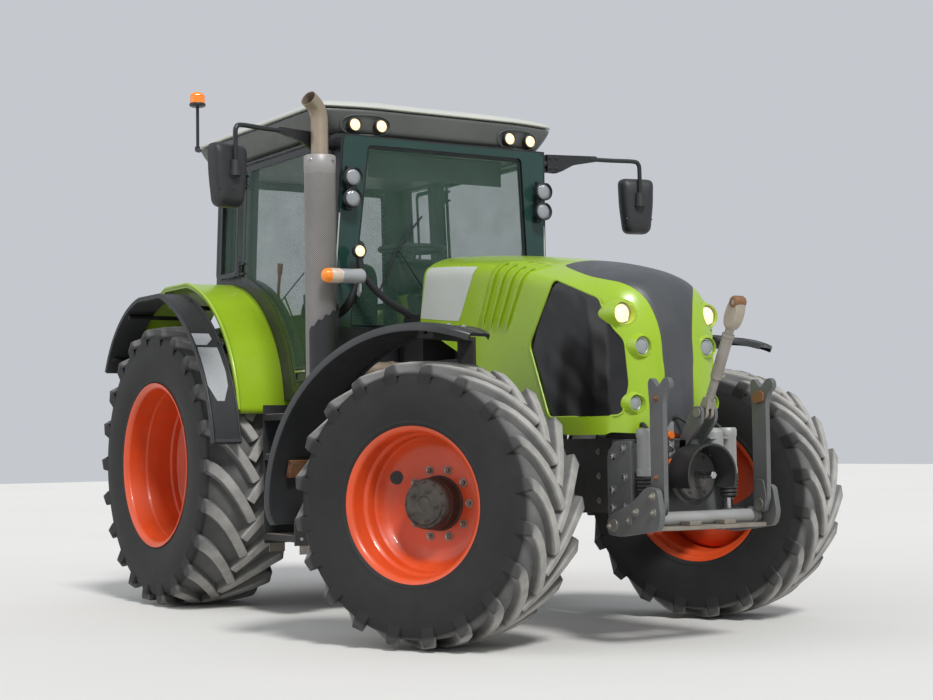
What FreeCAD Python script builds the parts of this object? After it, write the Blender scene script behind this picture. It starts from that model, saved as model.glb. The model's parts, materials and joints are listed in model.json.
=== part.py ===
"""Farm tractor with front and rear linkages, in millimetres.

+X is forward, +Y is left, +Z is up and the ground is at zero.
The front wheels stand steered to the left.
"""
import FreeCAD, Part
import math
import os

import Sketcher
from FreeCAD import Placement, Rotation, Vector

DOC = FreeCAD.newDocument("Tractor")

# Driving dimensions: name, value, meaning. Places along the tractor are
# measured from the rear axle, heights from the ground.
SIZES = [
    # Wheels and axles
    ("rear_axle_x", -1440, "rear axle in the part's frame"),
    ("wheelbase", 2820, "rear axle to front axle"),
    ("rear_radius", 865, "rear tyre to the lug tips, and axle height"),
    ("front_radius", 685, "front tyre to the lug tips, and axle height"),
    ("rear_half_track", 941, "centre to the rear tyre's middle"),
    ("rear_tyre_width", 600, "rear tyre section"),
    ("front_tyre_width", 520, "front tyre section"),
    ("rear_flange", 508, "rear rim flange radius"),
    ("front_flange", 381, "front rim flange radius"),
    ("rear_rim_width", 540, "rear rim between its flanges"),
    ("front_rim_width", 440, "front rim between its flanges"),
    ("flange_depth", 26, "flange above the bead seat"),
    ("flange_wall", 12, "rim wall"),
    ("rear_disc_in", 120, "rear disc inboard of the tyre's middle"),
    ("front_disc_in", 20, "front disc inboard of the tyre's middle"),
    ("disc_wall", 16, "wheel disc thickness"),
    ("rear_hub_radius", 150, "rear hub"),
    ("front_hub_radius", 135, "front hub"),
    ("rear_hub_out", 60, "rear hub's outer face beyond the disc"),
    ("front_hub_out", 140, "front hub's outer face beyond the disc"),
    ("hub_back", 30, "hub behind the disc"),
    ("spindle_radius", 50, "stub shaft in each hub"),
    ("spindle_gap", 0.05, "running clearance of the stub shafts"),
    ("hub_cap_wall", 25, "hub beyond the stub shaft's end"),
    ("kingpin_y", 710, "centre to the kingpin"),
    ("wheel_offset", 300, "kingpin to the front tyre's middle"),
    ("steer_rest", 27, "steering angle to the left, degrees"),
    ("kingpin_radius", 20, "kingpin"),
    ("kingpin_boss", 66, "boss round the kingpin, radius"),
    ("kingpin_height", 180, "boss round the kingpin, height"),
    ("running_gap", 6, "clearance between moving pieces"),
    ("rear_lug_depth", 50, "tread bars of the rear tyres above their floor"),
    ("front_lug_depth", 45, "tread bars of the front tyres above their floor"),
    ("lug_foot", 62, "tread bar's width at its foot"),
    ("lug_tip", 42, "tread bar's width at its tip"),
    ("lug_slant", 42, "tread bars, from the axle's direction, degrees"),
    ("lug_overlap", 16, "tread bars past the tyre's middle"),
    ("hand_hole", 33, "round holes in the wheel discs, radius"),
    ("hole_length", 80, "length of the tool that cuts the holes in the wheel discs"),
    # Backbone
    ("backbone_half", 230, "half width of the transmission"),
    ("transmission_back", -330, "rear face of the transmission"),
    ("transmission_front", 1445, "front face of the transmission"),
    ("transmission_base", 520, "underside of the transmission"),
    ("transmission_top", 1110, "top of the transmission"),
    ("trumpet_radius", 130, "rear axle housing at its root"),
    ("trumpet_end", 105, "rear axle housing at its flange"),
    ("engine_front", 2350, "front face of the engine"),
    ("engine_half", 238, "half width of the engine"),
    ("engine_base", 600, "underside of the engine"),
    ("engine_top", 1440, "top of the engine"),
    ("frame_half", 200, "half width of the front frame"),
    ("frame_front", 3420, "front face of the front frame"),
    ("frame_top", 985, "top of the front frame"),
    ("frame_base", 620, "underside of the front frame"),
    ("arch_half", 210, "frame's gap over the axle, half length"),
    ("arch_height", 150, "frame's gap over the axle, above its middle"),
    ("beam_half_length", 80, "front axle beam along the tractor, half"),
    ("beam_half_height", 78, "front axle beam, half height"),
    ("tank_back", 950, "rear face of the tanks"),
    ("tank_out", 700, "outer face of the tanks"),
    ("tank_base", 520, "underside of the tanks"),
    ("tank_top", 1100, "top of the tanks"),
    ("fuel_tank_front", 1690, "front face of the fuel tank"),
    ("step_width", 400, "ladder along the tractor"),
    ("step_out", 930, "outer edge of the ladder"),
    ("step_top", 1210, "top of the ladder"),
    # Cab
    ("floor_top", 1300, "cab floor"),
    ("cab_back", -130, "rear of the cab at the sill"),
    ("cab_front", 1420, "front of the cab at the sill"),
    ("cab_half", 790, "half width of the cab at the door sill"),
    ("side_lean", 60, "lean of each cab side between sill and roof"),
    ("post_wall", 60, "cab post section"),
    ("glass_wall", 12, "glass panes"),
    ("roof_base", 2745, "underside of the roof"),
    ("roof_rim", 2880, "widest line of the roof"),
    ("roof_crown", 2975, "top of the roof"),
    ("roof_back", -230, "rear edge of the roof"),
    ("roof_front", 1530, "front edge of the roof"),
    ("roof_half", 825, "half width of the roof"),
    ("sill_z", 1240, "lowest edge of the doors"),
    ("belt_z", 1640, "bottom edge of the windscreen"),
    ("door_back", 330, "door hinge line"),
    ("seat_gap", 3.6, "clearance of the cab on its fenders"),
    ("door_gap", 6, "gap round the doors"),
    ("door_wall", 24, "door thickness"),
    ("front_lean", 3.5, "forward lean of the windscreen, degrees"),
    ("front_wall", 50, "cab front and rear walls"),
    ("screen_low_half", 630, "half width of the windscreen at its foot"),
    ("screen_top_half", 530, "half width of the windscreen at its top"),
    ("roof_lamp_radius", 42, "work lamps in the roof"),
    ("roof_lamp_z", 2795, "work lamps in the roof, height"),
    ("post_lamp_radius", 54, "work lamps on the posts"),
    ("post_lamp_z", 2423, "work lamps on the posts, height"),
    ("steering_wheel", 195, "steering wheel radius"),
    # Fenders
    ("fender_in", 612, "rear fender's inner edge"),
    ("fender_out", 1060, "rear fender's outer edge"),
    ("skirt_out", 1245, "outer edge of the rubber skirt"),
    ("fender_top", 1985, "top of the rear fender"),
    ("fender_wall", 26, "rear fender thickness"),
    ("skirt_drop", 70, "top of the skirt below the fender's"),
    ("fender_front", 890, "front end of the rear fender"),
    ("fender_low", 1190, "front end of the rear fender, height"),
    ("skirt_front", 940, "front end of the skirt"),
    ("skirt_low", 1000, "front end of the skirt, height"),
    ("wheel_box_wall", 20, "inner wall of the wheel box"),
    ("front_fender_gap", 175, "front fender's outside beyond its tyre"),
    ("front_fender_in", 125, "front fender's inner edge from the kingpin"),
    ("front_fender_out", 545, "front fender's outer edge from the kingpin"),
    ("front_fender_wall", 16, "front fender thickness"),
    # Hood
    ("hood_back", 1830, "rear edge of the hood"),
    ("hood_nose", 3620, "foremost point of the hood"),
    ("hood_half", 380, "half width of the hood at the rear"),
    ("hood_nose_half", 352, "half width of the hood near the nose"),
    ("nose_corner", 205, "half width of the nose's front face"),
    ("hood_top", 2040, "top of the hood at its rear edge"),
    ("hood_fall", 0.095, "slope of the hood's top behind"),
    ("nose_top", 2147, "line of the hood's top in front, at its rear edge"),
    ("nose_fall", 0.2, "slope of the hood's top in front"),
    ("hood_base", 1000, "lowest edge of the hood"),
    ("hood_wall", 22, "hood wall"),
    ("crease_wall", 95, "top of the hood's straight side below its crease"),
    ("crease_drop", 60, "hood's crease below its top behind"),
    ("nose_crease", 92, "hood's crease below its top in front"),
    ("louvre_depth", 10, "depth of the hood's louvres"),
    ("grille_inset", 6, "hood's side meshes behind its skin"),
    ("headlamp_length", 110, "headlamps along the tractor"),
    ("hinge_x", 1870, "hood hinge along the tractor"),
    ("hinge_pin", 12, "hood hinge pin radius"),
    ("hinge_half", 323.5, "hood hinge pin, half length"),
    ("hinge_z", 1880, "hood hinge height"),
    # Stack, mirrors and beacon
    ("exhaust_x", 1540, "exhaust along the tractor"),
    ("exhaust_y", 850, "exhaust to the right"),
    ("silencer_radius", 90, "exhaust guard"),
    ("tailpipe_radius", 49, "tailpipe"),
    ("mirror_x", 1440, "mirror arm's root along the tractor"),
    ("mirror_root", 760, "mirror arm's root to the side"),
    ("mirror_arm", 661, "mirror arm's length"),
    ("mirror_lug", 58.1, "mirror arm's lug, from its root to the cab"),
    ("mirror_turn", 12.8, "mirror arm turned forward, degrees"),
    ("mirror_z", 2436, "mirror head's middle, height"),
    ("mirror_width", 240, "mirror head"),
    ("mirror_height", 358, "mirror head"),
    ("mirror_depth", 90, "mirror head"),
    ("arm_radius", 16, "mirror arm tube"),
    ("beacon_x", -300, "beacon along the tractor"),
    ("beacon_y", 780, "beacon to the right"),
    ("beacon_height", 396, "beacon and its stalk"),
    ("guard_base", 1330, "foot of the exhaust guard"),
    ("guard_top", 2590, "top of the exhaust guard"),
    ("tip_rise", 210, "straight stretch of the tailpipe"),
    ("tip_bend", 110, "tailpipe bend radius"),
    ("tip_lean", 60, "tailpipe bend, degrees"),
    ("tip_turn", -70, "way the tailpipe bends, from straight ahead, degrees"),
    ("signal_x", 1700, "direction lamps along the tractor"),
    ("signal_z", 1900, "direction lamps, height"),
    ("signal_out", 940, "outer end of the direction lamps"),
    # Front linkage
    ("lift_pivot_out", 135, "front lift frame pivot"),
    ("lift_pivot_z", 575, "front lift frame pivot height"),
    ("link_pin", 20, "linkage pins"),
    ("pin_gap", 0.05, "running clearance of the linkage pins"),
    ("plate_wall", 30, "linkage plates"),
    ("support_half", 270, "inner face of the support plates"),
    ("lift_half", 336, "inner face of the lift frame's plates"),
    ("hook_out", 410, "hook arm pin"),
    ("hook_z", 660, "hook arm pin height"),
    ("hook_half", 300, "inner face of the hook arms"),
    ("rod_out", 240, "lift cylinders along the tractor"),
    ("rod_eye_z", 602, "front lift cylinders' eyes, height"),
    ("rod_half", 250, "lift cylinders to the side"),
    ("barrel_radius", 44, "lift cylinder barrel"),
    ("rod_radius", 22, "lift cylinder rod"),
    ("pto_radius", 17.45, "power take-off shafts"),
    ("front_pto_z", 805, "front power take-off height"),
    ("front_pto_end", 430, "end of the front power take-off"),
    ("top_pin_out", 380, "front top link pin"),
    ("top_pin_z", 1100, "front top link pin height"),
    ("top_pin", 15, "top link pins"),
    ("top_eye", 16, "top link's free eye bore"),
    ("top_link_lean", 64, "front top link above level, degrees"),
    ("top_link_length", 560, "front top link between its eyes"),
    ("top_link_tube", 30, "top link tube radius"),
    # Rear linkage
    ("lower_pin_x", -60, "lower link pivot"),
    ("lower_pin_z", 480, "lower link pivot height"),
    ("lower_half", 280, "lower links at their pivot"),
    ("lower_length", 1090, "lower links between pivot and eye"),
    ("lower_eye", 18.7, "lower link eye bore"),
    ("lift_arm_x", -180, "rear lift shaft"),
    ("lift_arm_z", 1150, "rear lift shaft height"),
    ("rear_top_x", -420, "rear top link pin"),
    ("rear_top_z", 900, "rear top link pin height"),
    ("rear_pto_z", 660, "rear power take-off height"),
    ("rear_pto_end", -440, "end of the rear power take-off"),
    ("rear_link_length", 600, "rear top link between its eyes"),
    ("rear_link_lean", 155, "rear top link above level, degrees"),
    ("drawbar_hole", 16, "drawbar pin hole"),
    ("drawbar_z", 420, "drawbar's middle"),
    ("drawbar_end", -760, "end of the drawbar"),
]

SHEET = DOC.addObject("Spreadsheet::Sheet", "Dims")
for row, (alias, value, meaning) in enumerate(SIZES, start=1):
    SHEET.set("A%d" % row, alias)
    SHEET.set("B%d" % row, str(value))
    SHEET.set("C%d" % row, meaning)
    SHEET.setAlias("B%d" % row, alias)
DOC.recompute()


class Size:
    """A number together with the sheet formula that gives it."""

    def __init__(self, value, text):
        self.value = value
        self.text = text

    def join(self, other, sign, value):
        return Size(value, "(%s %s %s)" % (self.text, sign, size(other).text))

    def __add__(self, other):
        return self.join(other, "+", self.value + size(other).value)

    def __sub__(self, other):
        return self.join(other, "-", self.value - size(other).value)

    def __mul__(self, other):
        return self.join(other, "*", self.value * size(other).value)

    def __truediv__(self, other):
        return self.join(other, "/", self.value / size(other).value)

    def __radd__(self, other):
        return size(other) + self

    def __rsub__(self, other):
        return size(other) - self

    def __rmul__(self, other):
        return size(other) * self

    def __neg__(self):
        return size(-1) * self

    def __float__(self):
        return float(self.value)


def size(number):
    """Any number as a Size."""
    return number if isinstance(number, Size) else Size(float(number), repr(float(number)))


def root(number):
    return Size(math.sqrt(number.value), "sqrt(%s)" % number.text)


def cosine(degrees):
    return Size(math.cos(math.radians(degrees.value)), "cos(%s * 1deg)" % degrees.text)


def sine(degrees):
    return Size(math.sin(math.radians(degrees.value)), "sin(%s * 1deg)" % degrees.text)


def tangent(degrees):
    return Size(math.tan(math.radians(degrees.value)), "tan(%s * 1deg)" % degrees.text)


def arc_tangent(ratio):
    """The angle in degrees whose tangent is a ratio."""
    return Size(math.degrees(math.atan(ratio.value)), "atan(%s)" % ratio.text)


class Sizes:
    """The sheet's cells by name."""

    def __getattr__(self, alias):
        return Size(float(SHEET.get(alias)), "Dims." + alias)


D = Sizes()
AXLE = D.rear_axle_x
FRONT = AXLE + D.wheelbase
LINK = AXLE + D.frame_front
SIDES = (("left", 1), ("right", -1))
TURNS = {"x": Rotation(Vector(0, 1, 0), 90), "y": Rotation(Vector(1, 0, 0), -90), "z": Rotation()}
NODES = []


def bind(piece, **sizes):
    """Ties properties to the sheet."""
    for name, number in sizes.items():
        piece.setExpression(name, size(number).text)


def put(piece, x, y, z, turn=None):
    """Places a piece, its position tied to the sheet."""
    piece.Placement = Placement(Vector(), turn or Rotation())
    for name, number in (("x", x), ("y", y), ("z", z)):
        piece.setExpression(".Placement.Base." + name, size(number).text)
    return piece


def node(name, piece):
    """Names a finished sub-part."""
    piece.Label = name
    NODES.append(piece)
    return piece


def block(x, y, z):
    """A box between two places along each direction."""
    piece = DOC.addObject("Part::Box", "Block")
    bind(piece, Length=x[1] - x[0], Width=y[1] - y[0], Height=z[1] - z[0])
    return put(piece, x[0], y[0], z[0])


def rod(direction, radius, start, length):
    """A round bar from a start point along x, y or z."""
    piece = DOC.addObject("Part::Cylinder", "Rod")
    bind(piece, Radius=radius, Height=length)
    return put(piece, *start, turn=TURNS[direction])


def taper(direction, radius, end_radius, start, length):
    """A round bar whose radius changes along its length."""
    piece = DOC.addObject("Part::Cone", "Taper")
    bind(piece, Radius1=radius, Radius2=end_radius, Height=length)
    return put(piece, *start, turn=TURNS[direction])


def fuse(*pieces):
    """Pieces joined into one solid."""
    result = DOC.addObject("Part::MultiFuse", "Joined")
    result.Shapes = list(pieces)
    result.Refine = True
    return result


def cut(base, *tools):
    """A piece with others taken out of it."""
    for tool in tools:
        result = DOC.addObject("Part::Cut", "Trimmed")
        result.Base = base
        result.Tool = tool
        base = result
    return base


def common(first, second):
    """What two pieces share."""
    result = DOC.addObject("Part::Common", "Shared")
    result.Base = first
    result.Tool = second
    return result


def group(*pieces):
    """Like pieces that don't touch, kept as separate solids."""
    result = DOC.addObject("Part::Compound", "Group")
    result.Links = list(pieces)
    return result


def draw(sketch, corners):
    """Draws a closed outline; a corner is (x, y) or (x, y, sagitta of the arc that leads to the next)."""
    ends = []
    count = len(corners)
    for index, corner in enumerate(corners):
        following = corners[(index + 1) % count]
        here = Vector(float(corner[0]), float(corner[1]), 0)
        there = Vector(float(following[0]), float(following[1]), 0)
        if len(corner) == 3:
            run_x = following[0] - size(corner[0])
            run_y = following[1] - size(corner[1])
            chord = root(run_x * run_x + run_y * run_y)
            rise = size(corner[2])
            side = Vector(-(there - here).y, (there - here).x, 0).normalize()
            middle = (here + there) * 0.5 + side * float(rise)
            number = sketch.addGeometry(Part.Arc(here, middle, there), False)
            flip = sketch.getPoint(number, 1).distanceToPoint(here) > 0.001
            ends.append((number, 2, 1) if flip else (number, 1, 2))
            square = chord * chord / 4 + rise * rise
            arc_radius = square / (rise * (2 if float(rise) > 0 else -2))
            fix = sketch.addConstraint(Sketcher.Constraint("Radius", number, float(arc_radius)))
            sketch.setExpression("Constraints[%d]" % fix, arc_radius.text)
        else:
            number = sketch.addGeometry(Part.LineSegment(here, there), False)
            ends.append((number, 1, 2))
    for index, corner in enumerate(corners):
        number, first, last = ends[index]
        following = ends[(index + 1) % count]
        sketch.addConstraint(Sketcher.Constraint("Coincident", number, last, following[0], following[1]))
        for kind, axis, place in (("DistanceX", -2, corner[0]), ("DistanceY", -1, corner[1])):
            if float(place) == 0:
                sketch.addConstraint(Sketcher.Constraint("PointOnObject", number, first, axis))
                continue
            fix = sketch.addConstraint(Sketcher.Constraint(kind, -1, 1, number, first, float(place)))
            if isinstance(place, Size):
                sketch.setExpression("Constraints[%d]" % fix, place.text)


PLANES = {
    "side": (Rotation(Vector(1, 0, 0), 90), Vector(0, 1, 0)),
    "plan": (Rotation(), Vector(0, 0, 1)),
    "end": (Rotation(Vector(1, 1, 1), 120), Vector(1, 0, 0)),
}


def slab(view, corners, start, end, direction=None):
    """An outline in a view, made solid between two places across that view."""
    turn, normal = PLANES[view]
    sketch = DOC.addObject("Sketcher::SketchObject", "Outline")
    sketch.Placement = Placement(Vector(), turn)
    axis = {"side": "y", "plan": "z", "end": "x"}[view]
    sketch.setExpression(".Placement.Base." + axis, size(start).text)
    draw(sketch, corners)
    piece = DOC.addObject("Part::Extrusion", "Slab")
    piece.Base = sketch
    piece.DirMode = "Custom"
    piece.Dir = direction or normal
    piece.Solid = True
    bind(piece, LengthFwd=end - size(start))
    return piece


def origin_plane(body, role):
    return [feature for feature in body.Origin.OriginFeatures if feature.Role == role][0]


def turned(name, corners, angle=360):
    """A body turned about its own Y axis; a corner is (along the axis, radius)."""
    body = DOC.addObject("PartDesign::Body", name)
    sketch = body.newObject("Sketcher::SketchObject", name + "_section")
    sketch.AttachmentSupport = [(origin_plane(body, "YZ_Plane"), "")]
    sketch.MapMode = "FlatFace"
    draw(sketch, corners)
    feature = body.newObject("PartDesign::Revolution", name + "_turned")
    feature.Profile = sketch
    feature.ReferenceAxis = (sketch, ["H_Axis"])
    feature.Angle = angle
    return body


def both(maker):
    """A piece made for each side of the tractor."""
    return [maker(sign) for name, sign in SIDES]


def span(sign, near, far):
    """Two distances from the middle as places across the tractor, lowest first."""
    return (near, far) if sign > 0 else (-size(far), -size(near))


def wide(half):
    """A width centred on the tractor."""
    return (-size(half), size(half))


# Wheels: name, side, steered
WHEELS = [
    ("rear_left", 1, False),
    ("rear_right", -1, False),
    ("front_left", 1, True),
    ("front_right", -1, True),
]


def steered(body, sign, offset):
    """Places a body at a distance outboard of a kingpin, turned with the steering."""
    body.Placement = Placement(Vector(), Rotation(Vector(0, 0, 1), 10))
    bind(body, **{".Placement.Rotation.Angle": D.steer_rest})
    body.setExpression(".Placement.Base.x", (FRONT - sign * offset * sine(D.steer_rest)).text)
    body.setExpression(".Placement.Base.y", (sign * D.kingpin_y + sign * offset * cosine(D.steer_rest)).text)
    body.setExpression(".Placement.Base.z", D.front_radius.text)


# Tyre section: bead above the flange, widest point up the side wall, foot of the shoulder below the tread's
# floor and its place over the half width, and the tread's edge over the half width
BEAD_LIFT, WIDEST, SHOULDER_DROP, SHOULDER, TREAD_EDGE = 8, 0.45, 62, 0.985, 0.8


def tyre_rings(bars, radius, half, rim_half, flange, depth):
    """The points of one pitch on one side: across the tyre, radius, and angles as shares of the pitch."""
    floor = radius - depth
    bore = (flange - D.flange_depth + 0.2) / math.cos(math.pi / bars / 2)
    pitch = 2 * math.pi * radius / bars
    foot, tip = D.lug_foot / cosine(D.lug_slant) / pitch / 2, D.lug_tip / cosine(D.lug_slant) / pitch / 2
    lead = (half * tangent(D.lug_slant)) / pitch
    edge = lead * (1 - TREAD_EDGE)
    rows = [
        (size(0), floor, (lead - foot, lead + foot)),
        (half * TREAD_EDGE, floor, (edge - foot, edge + foot)),
        (half * SHOULDER, floor - SHOULDER_DROP, (-foot, foot)),
        (half, flange + (floor - flange) * WIDEST, (-0.25, 0.25)),
        (rim_half, flange + BEAD_LIFT, (-0.25, 0.25)),
        (rim_half, bore, (-0.25, 0.25)),
        (size(4), radius, (lead - tip, lead + tip)),
        (half, radius, (-tip, tip)),
    ]
    return [(float(across), float(out), [float(share) for share in shares]) for across, out, shares in rows]


def make_tyre(label, bars, *sizes):
    """Carcass and slanted tread bars as one shell of flat facets; the bars of one side stand between the other's."""
    rings = tyre_rings(bars, *sizes)
    points, facets, spots = [], [], {}

    def spot(side, ring, slot, number):
        """Index of a point: slot 0 and 1 are a bar's edges, and later slots are those of the next bars."""
        across, out, shares = rings[ring]
        number, slot = number + slot // 2, slot % 2
        key = (side if ring else 0, ring, slot + (0 if ring or side > 0 else 2), number % bars)
        if key not in spots:
            turn = 2 * math.pi * (number % bars + shares[slot] - rings[7][2][0] + (0.5 if side < 0 else 0)) / bars
            spots[key] = len(points)
            points.append(Vector(out * math.sin(turn), side * across, out * math.cos(turn)))
        return spots[key]

    def face(side, *corners):
        """A fan of triangles over corners in order, turned outward."""
        for middle, last in zip(corners[1:], corners[2:]):
            facets.append((corners[0], middle, last) if side > 0 else (corners[0], last, middle))

    for name, side in SIDES:
        for bar in range(bars):
            ends = [[spot(side, ring, slot, bar) for slot in (0, 1, 2)] for ring in range(8)]
            middle, edge, shoulder, tip_in, tip_out = (ends[ring] for ring in (0, 1, 2, 6, 7))
            across = [spot(-side, 0, slot, bar + (side < 0)) for slot in (0, 1)]
            face(side, tip_in[0], tip_in[1], tip_out[1], tip_out[0])
            face(side, middle[0], middle[1], tip_in[1], tip_in[0])
            face(side, tip_out[0], tip_out[1], shoulder[1], shoulder[0])
            face(side, edge[0], middle[0], tip_in[0], tip_out[0], shoulder[0])
            face(side, edge[1], shoulder[1], tip_out[1], tip_in[1], middle[1])
            face(side, edge[2], edge[1], middle[1], *across, middle[2])
            face(side, edge[1], edge[2], shoulder[2], shoulder[1])
            for upper, lower in ((2, 3), (3, 4), (4, 5)):
                for slot in (0, 1):
                    face(side, ends[upper][slot], ends[upper][slot + 1], ends[lower][slot + 1], ends[lower][slot])
    for bar in range(bars):
        for slot in (0, 1):
            face(1, spot(1, 5, slot, bar), spot(1, 5, slot + 1, bar),
                 spot(-1, 5, 2 - slot, bar - 1 + slot), spot(-1, 5, 1 - slot, bar - 1 + slot))
    shell = Part.Shape()
    shell.makeShapeFromMesh((points, facets), 0.01)
    tyre = DOC.addObject("Part::Feature", label)
    tyre.Shape = Part.makeSolid(shell)
    return tyre


# Tread bars a side, hand holes, and the radius and first angle at which the hand holes sit
FRONT_PATTERN = (20, 2, 262, 62)
REAR_PATTERN = (22, 4, 375, 62)


def make_wheel(name, sign, is_steered):
    if is_steered:
        radius, width, flange = D.front_radius, D.front_tyre_width, D.front_flange
        rim, disc, hub, nose = D.front_rim_width, D.front_disc_in, D.front_hub_radius, D.front_hub_out
        depth, (bars, holes, ring, first) = D.front_lug_depth, FRONT_PATTERN
    else:
        radius, width, flange = D.rear_radius, D.rear_tyre_width, D.rear_flange
        rim, disc, hub, nose = D.rear_rim_width, D.rear_disc_in, D.rear_hub_radius, D.rear_hub_out
        depth, (bars, holes, ring, first) = D.rear_lug_depth, REAR_PATTERN
    seat = flange - D.flange_depth
    barrel = seat - D.flange_wall
    bore = D.spindle_radius + D.spindle_gap
    tyre = make_tyre("tread_" + name, bars, radius, width / 2, rim / 2, flange, depth)
    rim_section = [
        (rim / 2 + D.flange_wall, flange),
        (rim / 2, flange),
        (rim / 2, seat),
        (-rim / 2, seat),
        (-rim / 2, flange),
        (-rim / 2 - D.flange_wall, flange),
        (-rim / 2 - D.flange_wall, barrel),
        (-disc - D.disc_wall, barrel),
        (-disc - D.disc_wall, hub),
        (-disc - D.disc_wall - D.hub_back, hub),
        (-disc - D.disc_wall - D.hub_back, bore),
        (-disc + nose - D.hub_cap_wall, bore),
        (-disc + nose - D.hub_cap_wall, 0),
        (-disc + nose, 0),
        (-disc + nose, hub),
        (-disc, hub),
        (-disc, barrel),
        (rim / 2 + D.flange_wall, barrel),
    ]
    wheel = turned("disc_" + name, [(sign * across, height) for across, height in rim_section])
    turns = [math.radians(first + 360 * number / holes) for number in range(holes)]
    start = -sign * disc - D.hole_length / 2
    wheel = cut(wheel, *[rod("y", D.hand_hole, (size(ring * math.sin(turn)), start, size(ring * math.cos(turn))),
                             D.hole_length) for turn in turns])
    for label, body in (("tyre_" + name, tyre), ("rim_" + name, wheel)):
        if is_steered:
            steered(body, sign, D.wheel_offset)
        else:
            put(body, AXLE, sign * D.rear_half_track, D.rear_radius)
        node(label, body)


for row in WHEELS:
    make_wheel(*row)


# Backbone of the tractor
def make_transmission():
    case = block((AXLE + D.transmission_back, AXLE + D.transmission_front), wide(D.backbone_half),
                 (D.transmission_base, D.transmission_top))
    node("transmission", case)


def trumpet(sign):
    """One half of the rear axle housing with its stub shaft, turned about the axle line."""
    hub_face = D.rear_half_track - D.rear_disc_in - D.disc_wall - D.hub_back
    end = hub_face - D.running_gap
    shaft_end = D.rear_half_track - D.rear_disc_in + D.rear_hub_out - D.hub_cap_wall - D.running_gap
    start = D.backbone_half
    cone = taper("y", D.trumpet_radius, D.trumpet_end, (AXLE, start, D.rear_radius), end - start)
    shaft = rod("y", D.spindle_radius, (AXLE, end, D.rear_radius), shaft_end - end)
    if sign < 0:
        for piece in (cone, shaft):
            piece.Placement = Placement(Vector(), Rotation(Vector(1, 0, 0), 90))
        put_back(cone, -start)
        put_back(shaft, -end)
    return fuse(cone, shaft)


def put_back(piece, y):
    """Places a turned bar that points to the right."""
    piece.setExpression(".Placement.Base.x", AXLE.text)
    piece.setExpression(".Placement.Base.y", size(y).text)
    piece.setExpression(".Placement.Base.z", D.rear_radius.text)


def make_engine():
    case = block((AXLE + D.transmission_front, AXLE + D.engine_front), wide(D.engine_half),
                 (D.engine_base, D.engine_top))
    node("engine", case)


def make_front_frame():
    gap_top = D.front_radius + D.arch_height
    outline = [
        (AXLE + D.engine_front, D.frame_base),
        (FRONT - D.arch_half, D.frame_base),
        (FRONT - D.arch_half + 60, gap_top),
        (FRONT + D.arch_half - 60, gap_top),
        (FRONT + D.arch_half, D.frame_base),
        (AXLE + D.frame_front, D.frame_base),
        (AXLE + D.frame_front, D.frame_top),
        (AXLE + D.engine_front, D.frame_top),
    ]
    node("front_frame", slab("side", outline, -D.frame_half, D.frame_half))


def make_front_axle():
    """Beam with a boss round each kingpin and the pivot block under the frame."""
    inner = D.kingpin_y - D.kingpin_boss * 0.6
    low = D.front_radius - D.beam_half_height
    high = D.front_radius + D.beam_half_height
    beam = block((FRONT - D.beam_half_length, FRONT + D.beam_half_length), wide(D.frame_half + 60), (low, high))
    arms = block((FRONT - D.beam_half_length * 0.7, FRONT + D.beam_half_length * 0.7), wide(inner),
                 (low + 14, high - 14))
    pivot = block((FRONT - 120, FRONT + 120), wide(80), (D.front_radius, D.front_radius + D.arch_height))
    steering = rod("y", 34, (FRONT - D.beam_half_length - 30, -330, D.front_radius), 660)
    bosses = both(lambda sign: rod(
        "z", D.kingpin_boss, (FRONT, sign * D.kingpin_y, D.front_radius - D.kingpin_height / 2), D.kingpin_height))
    holes = both(lambda sign: rod(
        "z", D.kingpin_radius + D.pin_gap, (FRONT, sign * D.kingpin_y, D.front_radius - D.kingpin_height),
        D.kingpin_height * 2))
    node("front_axle", cut(fuse(beam, arms, pivot, steering, *bosses), *holes))


make_transmission()
node("rear_axle", group(*both(trumpet)))
make_engine()
make_front_frame()
make_front_axle()


# Tanks with a ladder of rungs on the outer face
RUNG_HEIGHTS = (430, 660, 890, 1120)
RUNG_WALL = 34
CHEEK_WALL = 12


def make_tank(name, sign, front):
    """A tank beside the backbone, its ladder's cheeks and rungs fused to it."""
    tank = block((AXLE + D.tank_back, AXLE + front), span(sign, D.engine_half, D.tank_out),
                 (D.tank_base, D.tank_top))
    foot = RUNG_HEIGHTS[0] - 20
    cheeks = [block((AXLE + x, AXLE + x + CHEEK_WALL), span(sign, D.tank_out - 40, D.step_out), (foot, D.step_top))
              for x in (D.tank_back, D.tank_back + D.step_width - CHEEK_WALL)]
    rungs = [block((AXLE + D.tank_back, AXLE + D.tank_back + D.step_width),
                   span(sign, D.tank_out + 30, D.step_out), (height, height + RUNG_WALL))
             for height in RUNG_HEIGHTS]
    node(name, fuse(tank, *cheeks, *rungs))


make_tank("fuel_tank", 1, D.fuel_tank_front)
make_tank("battery_box", -1, D.tank_back + D.step_width)


# Rear fenders
def arc_circle(start, end, sagitta):
    """Centre and radius of the arc that bulges up and forward between two points."""
    run_x, run_z = end[0] - size(start[0]), end[1] - size(start[1])
    chord = root(run_x * run_x + run_z * run_z)
    radius = chord * chord / (size(8) * sagitta) + size(sagitta) / 2
    back = radius - sagitta
    return (start[0] + run_x / 2 + run_z * back / chord, start[1] + run_z / 2 - run_x * back / chord, radius)


FENDER_BEND = size(150)
FENDER_SAGITTA = 175
FENDER_ARC = arc_circle((FENDER_BEND, D.fender_top), (D.fender_front, D.fender_low), FENDER_SAGITTA)


def fender_line(inset, top, front_x, front_z):
    """Side view over the wheel from rear to front, as (x, z, sagitta)."""
    return [
        (AXLE - 760 + inset * 0.78, size(1480) - inset * 0.63, 90),
        (AXLE - 180, top - inset),
        (AXLE + FENDER_BEND, top - inset, FENDER_SAGITTA),
        (AXLE + front_x - inset * 0.94, front_z - inset * 0.34),
    ]


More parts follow.
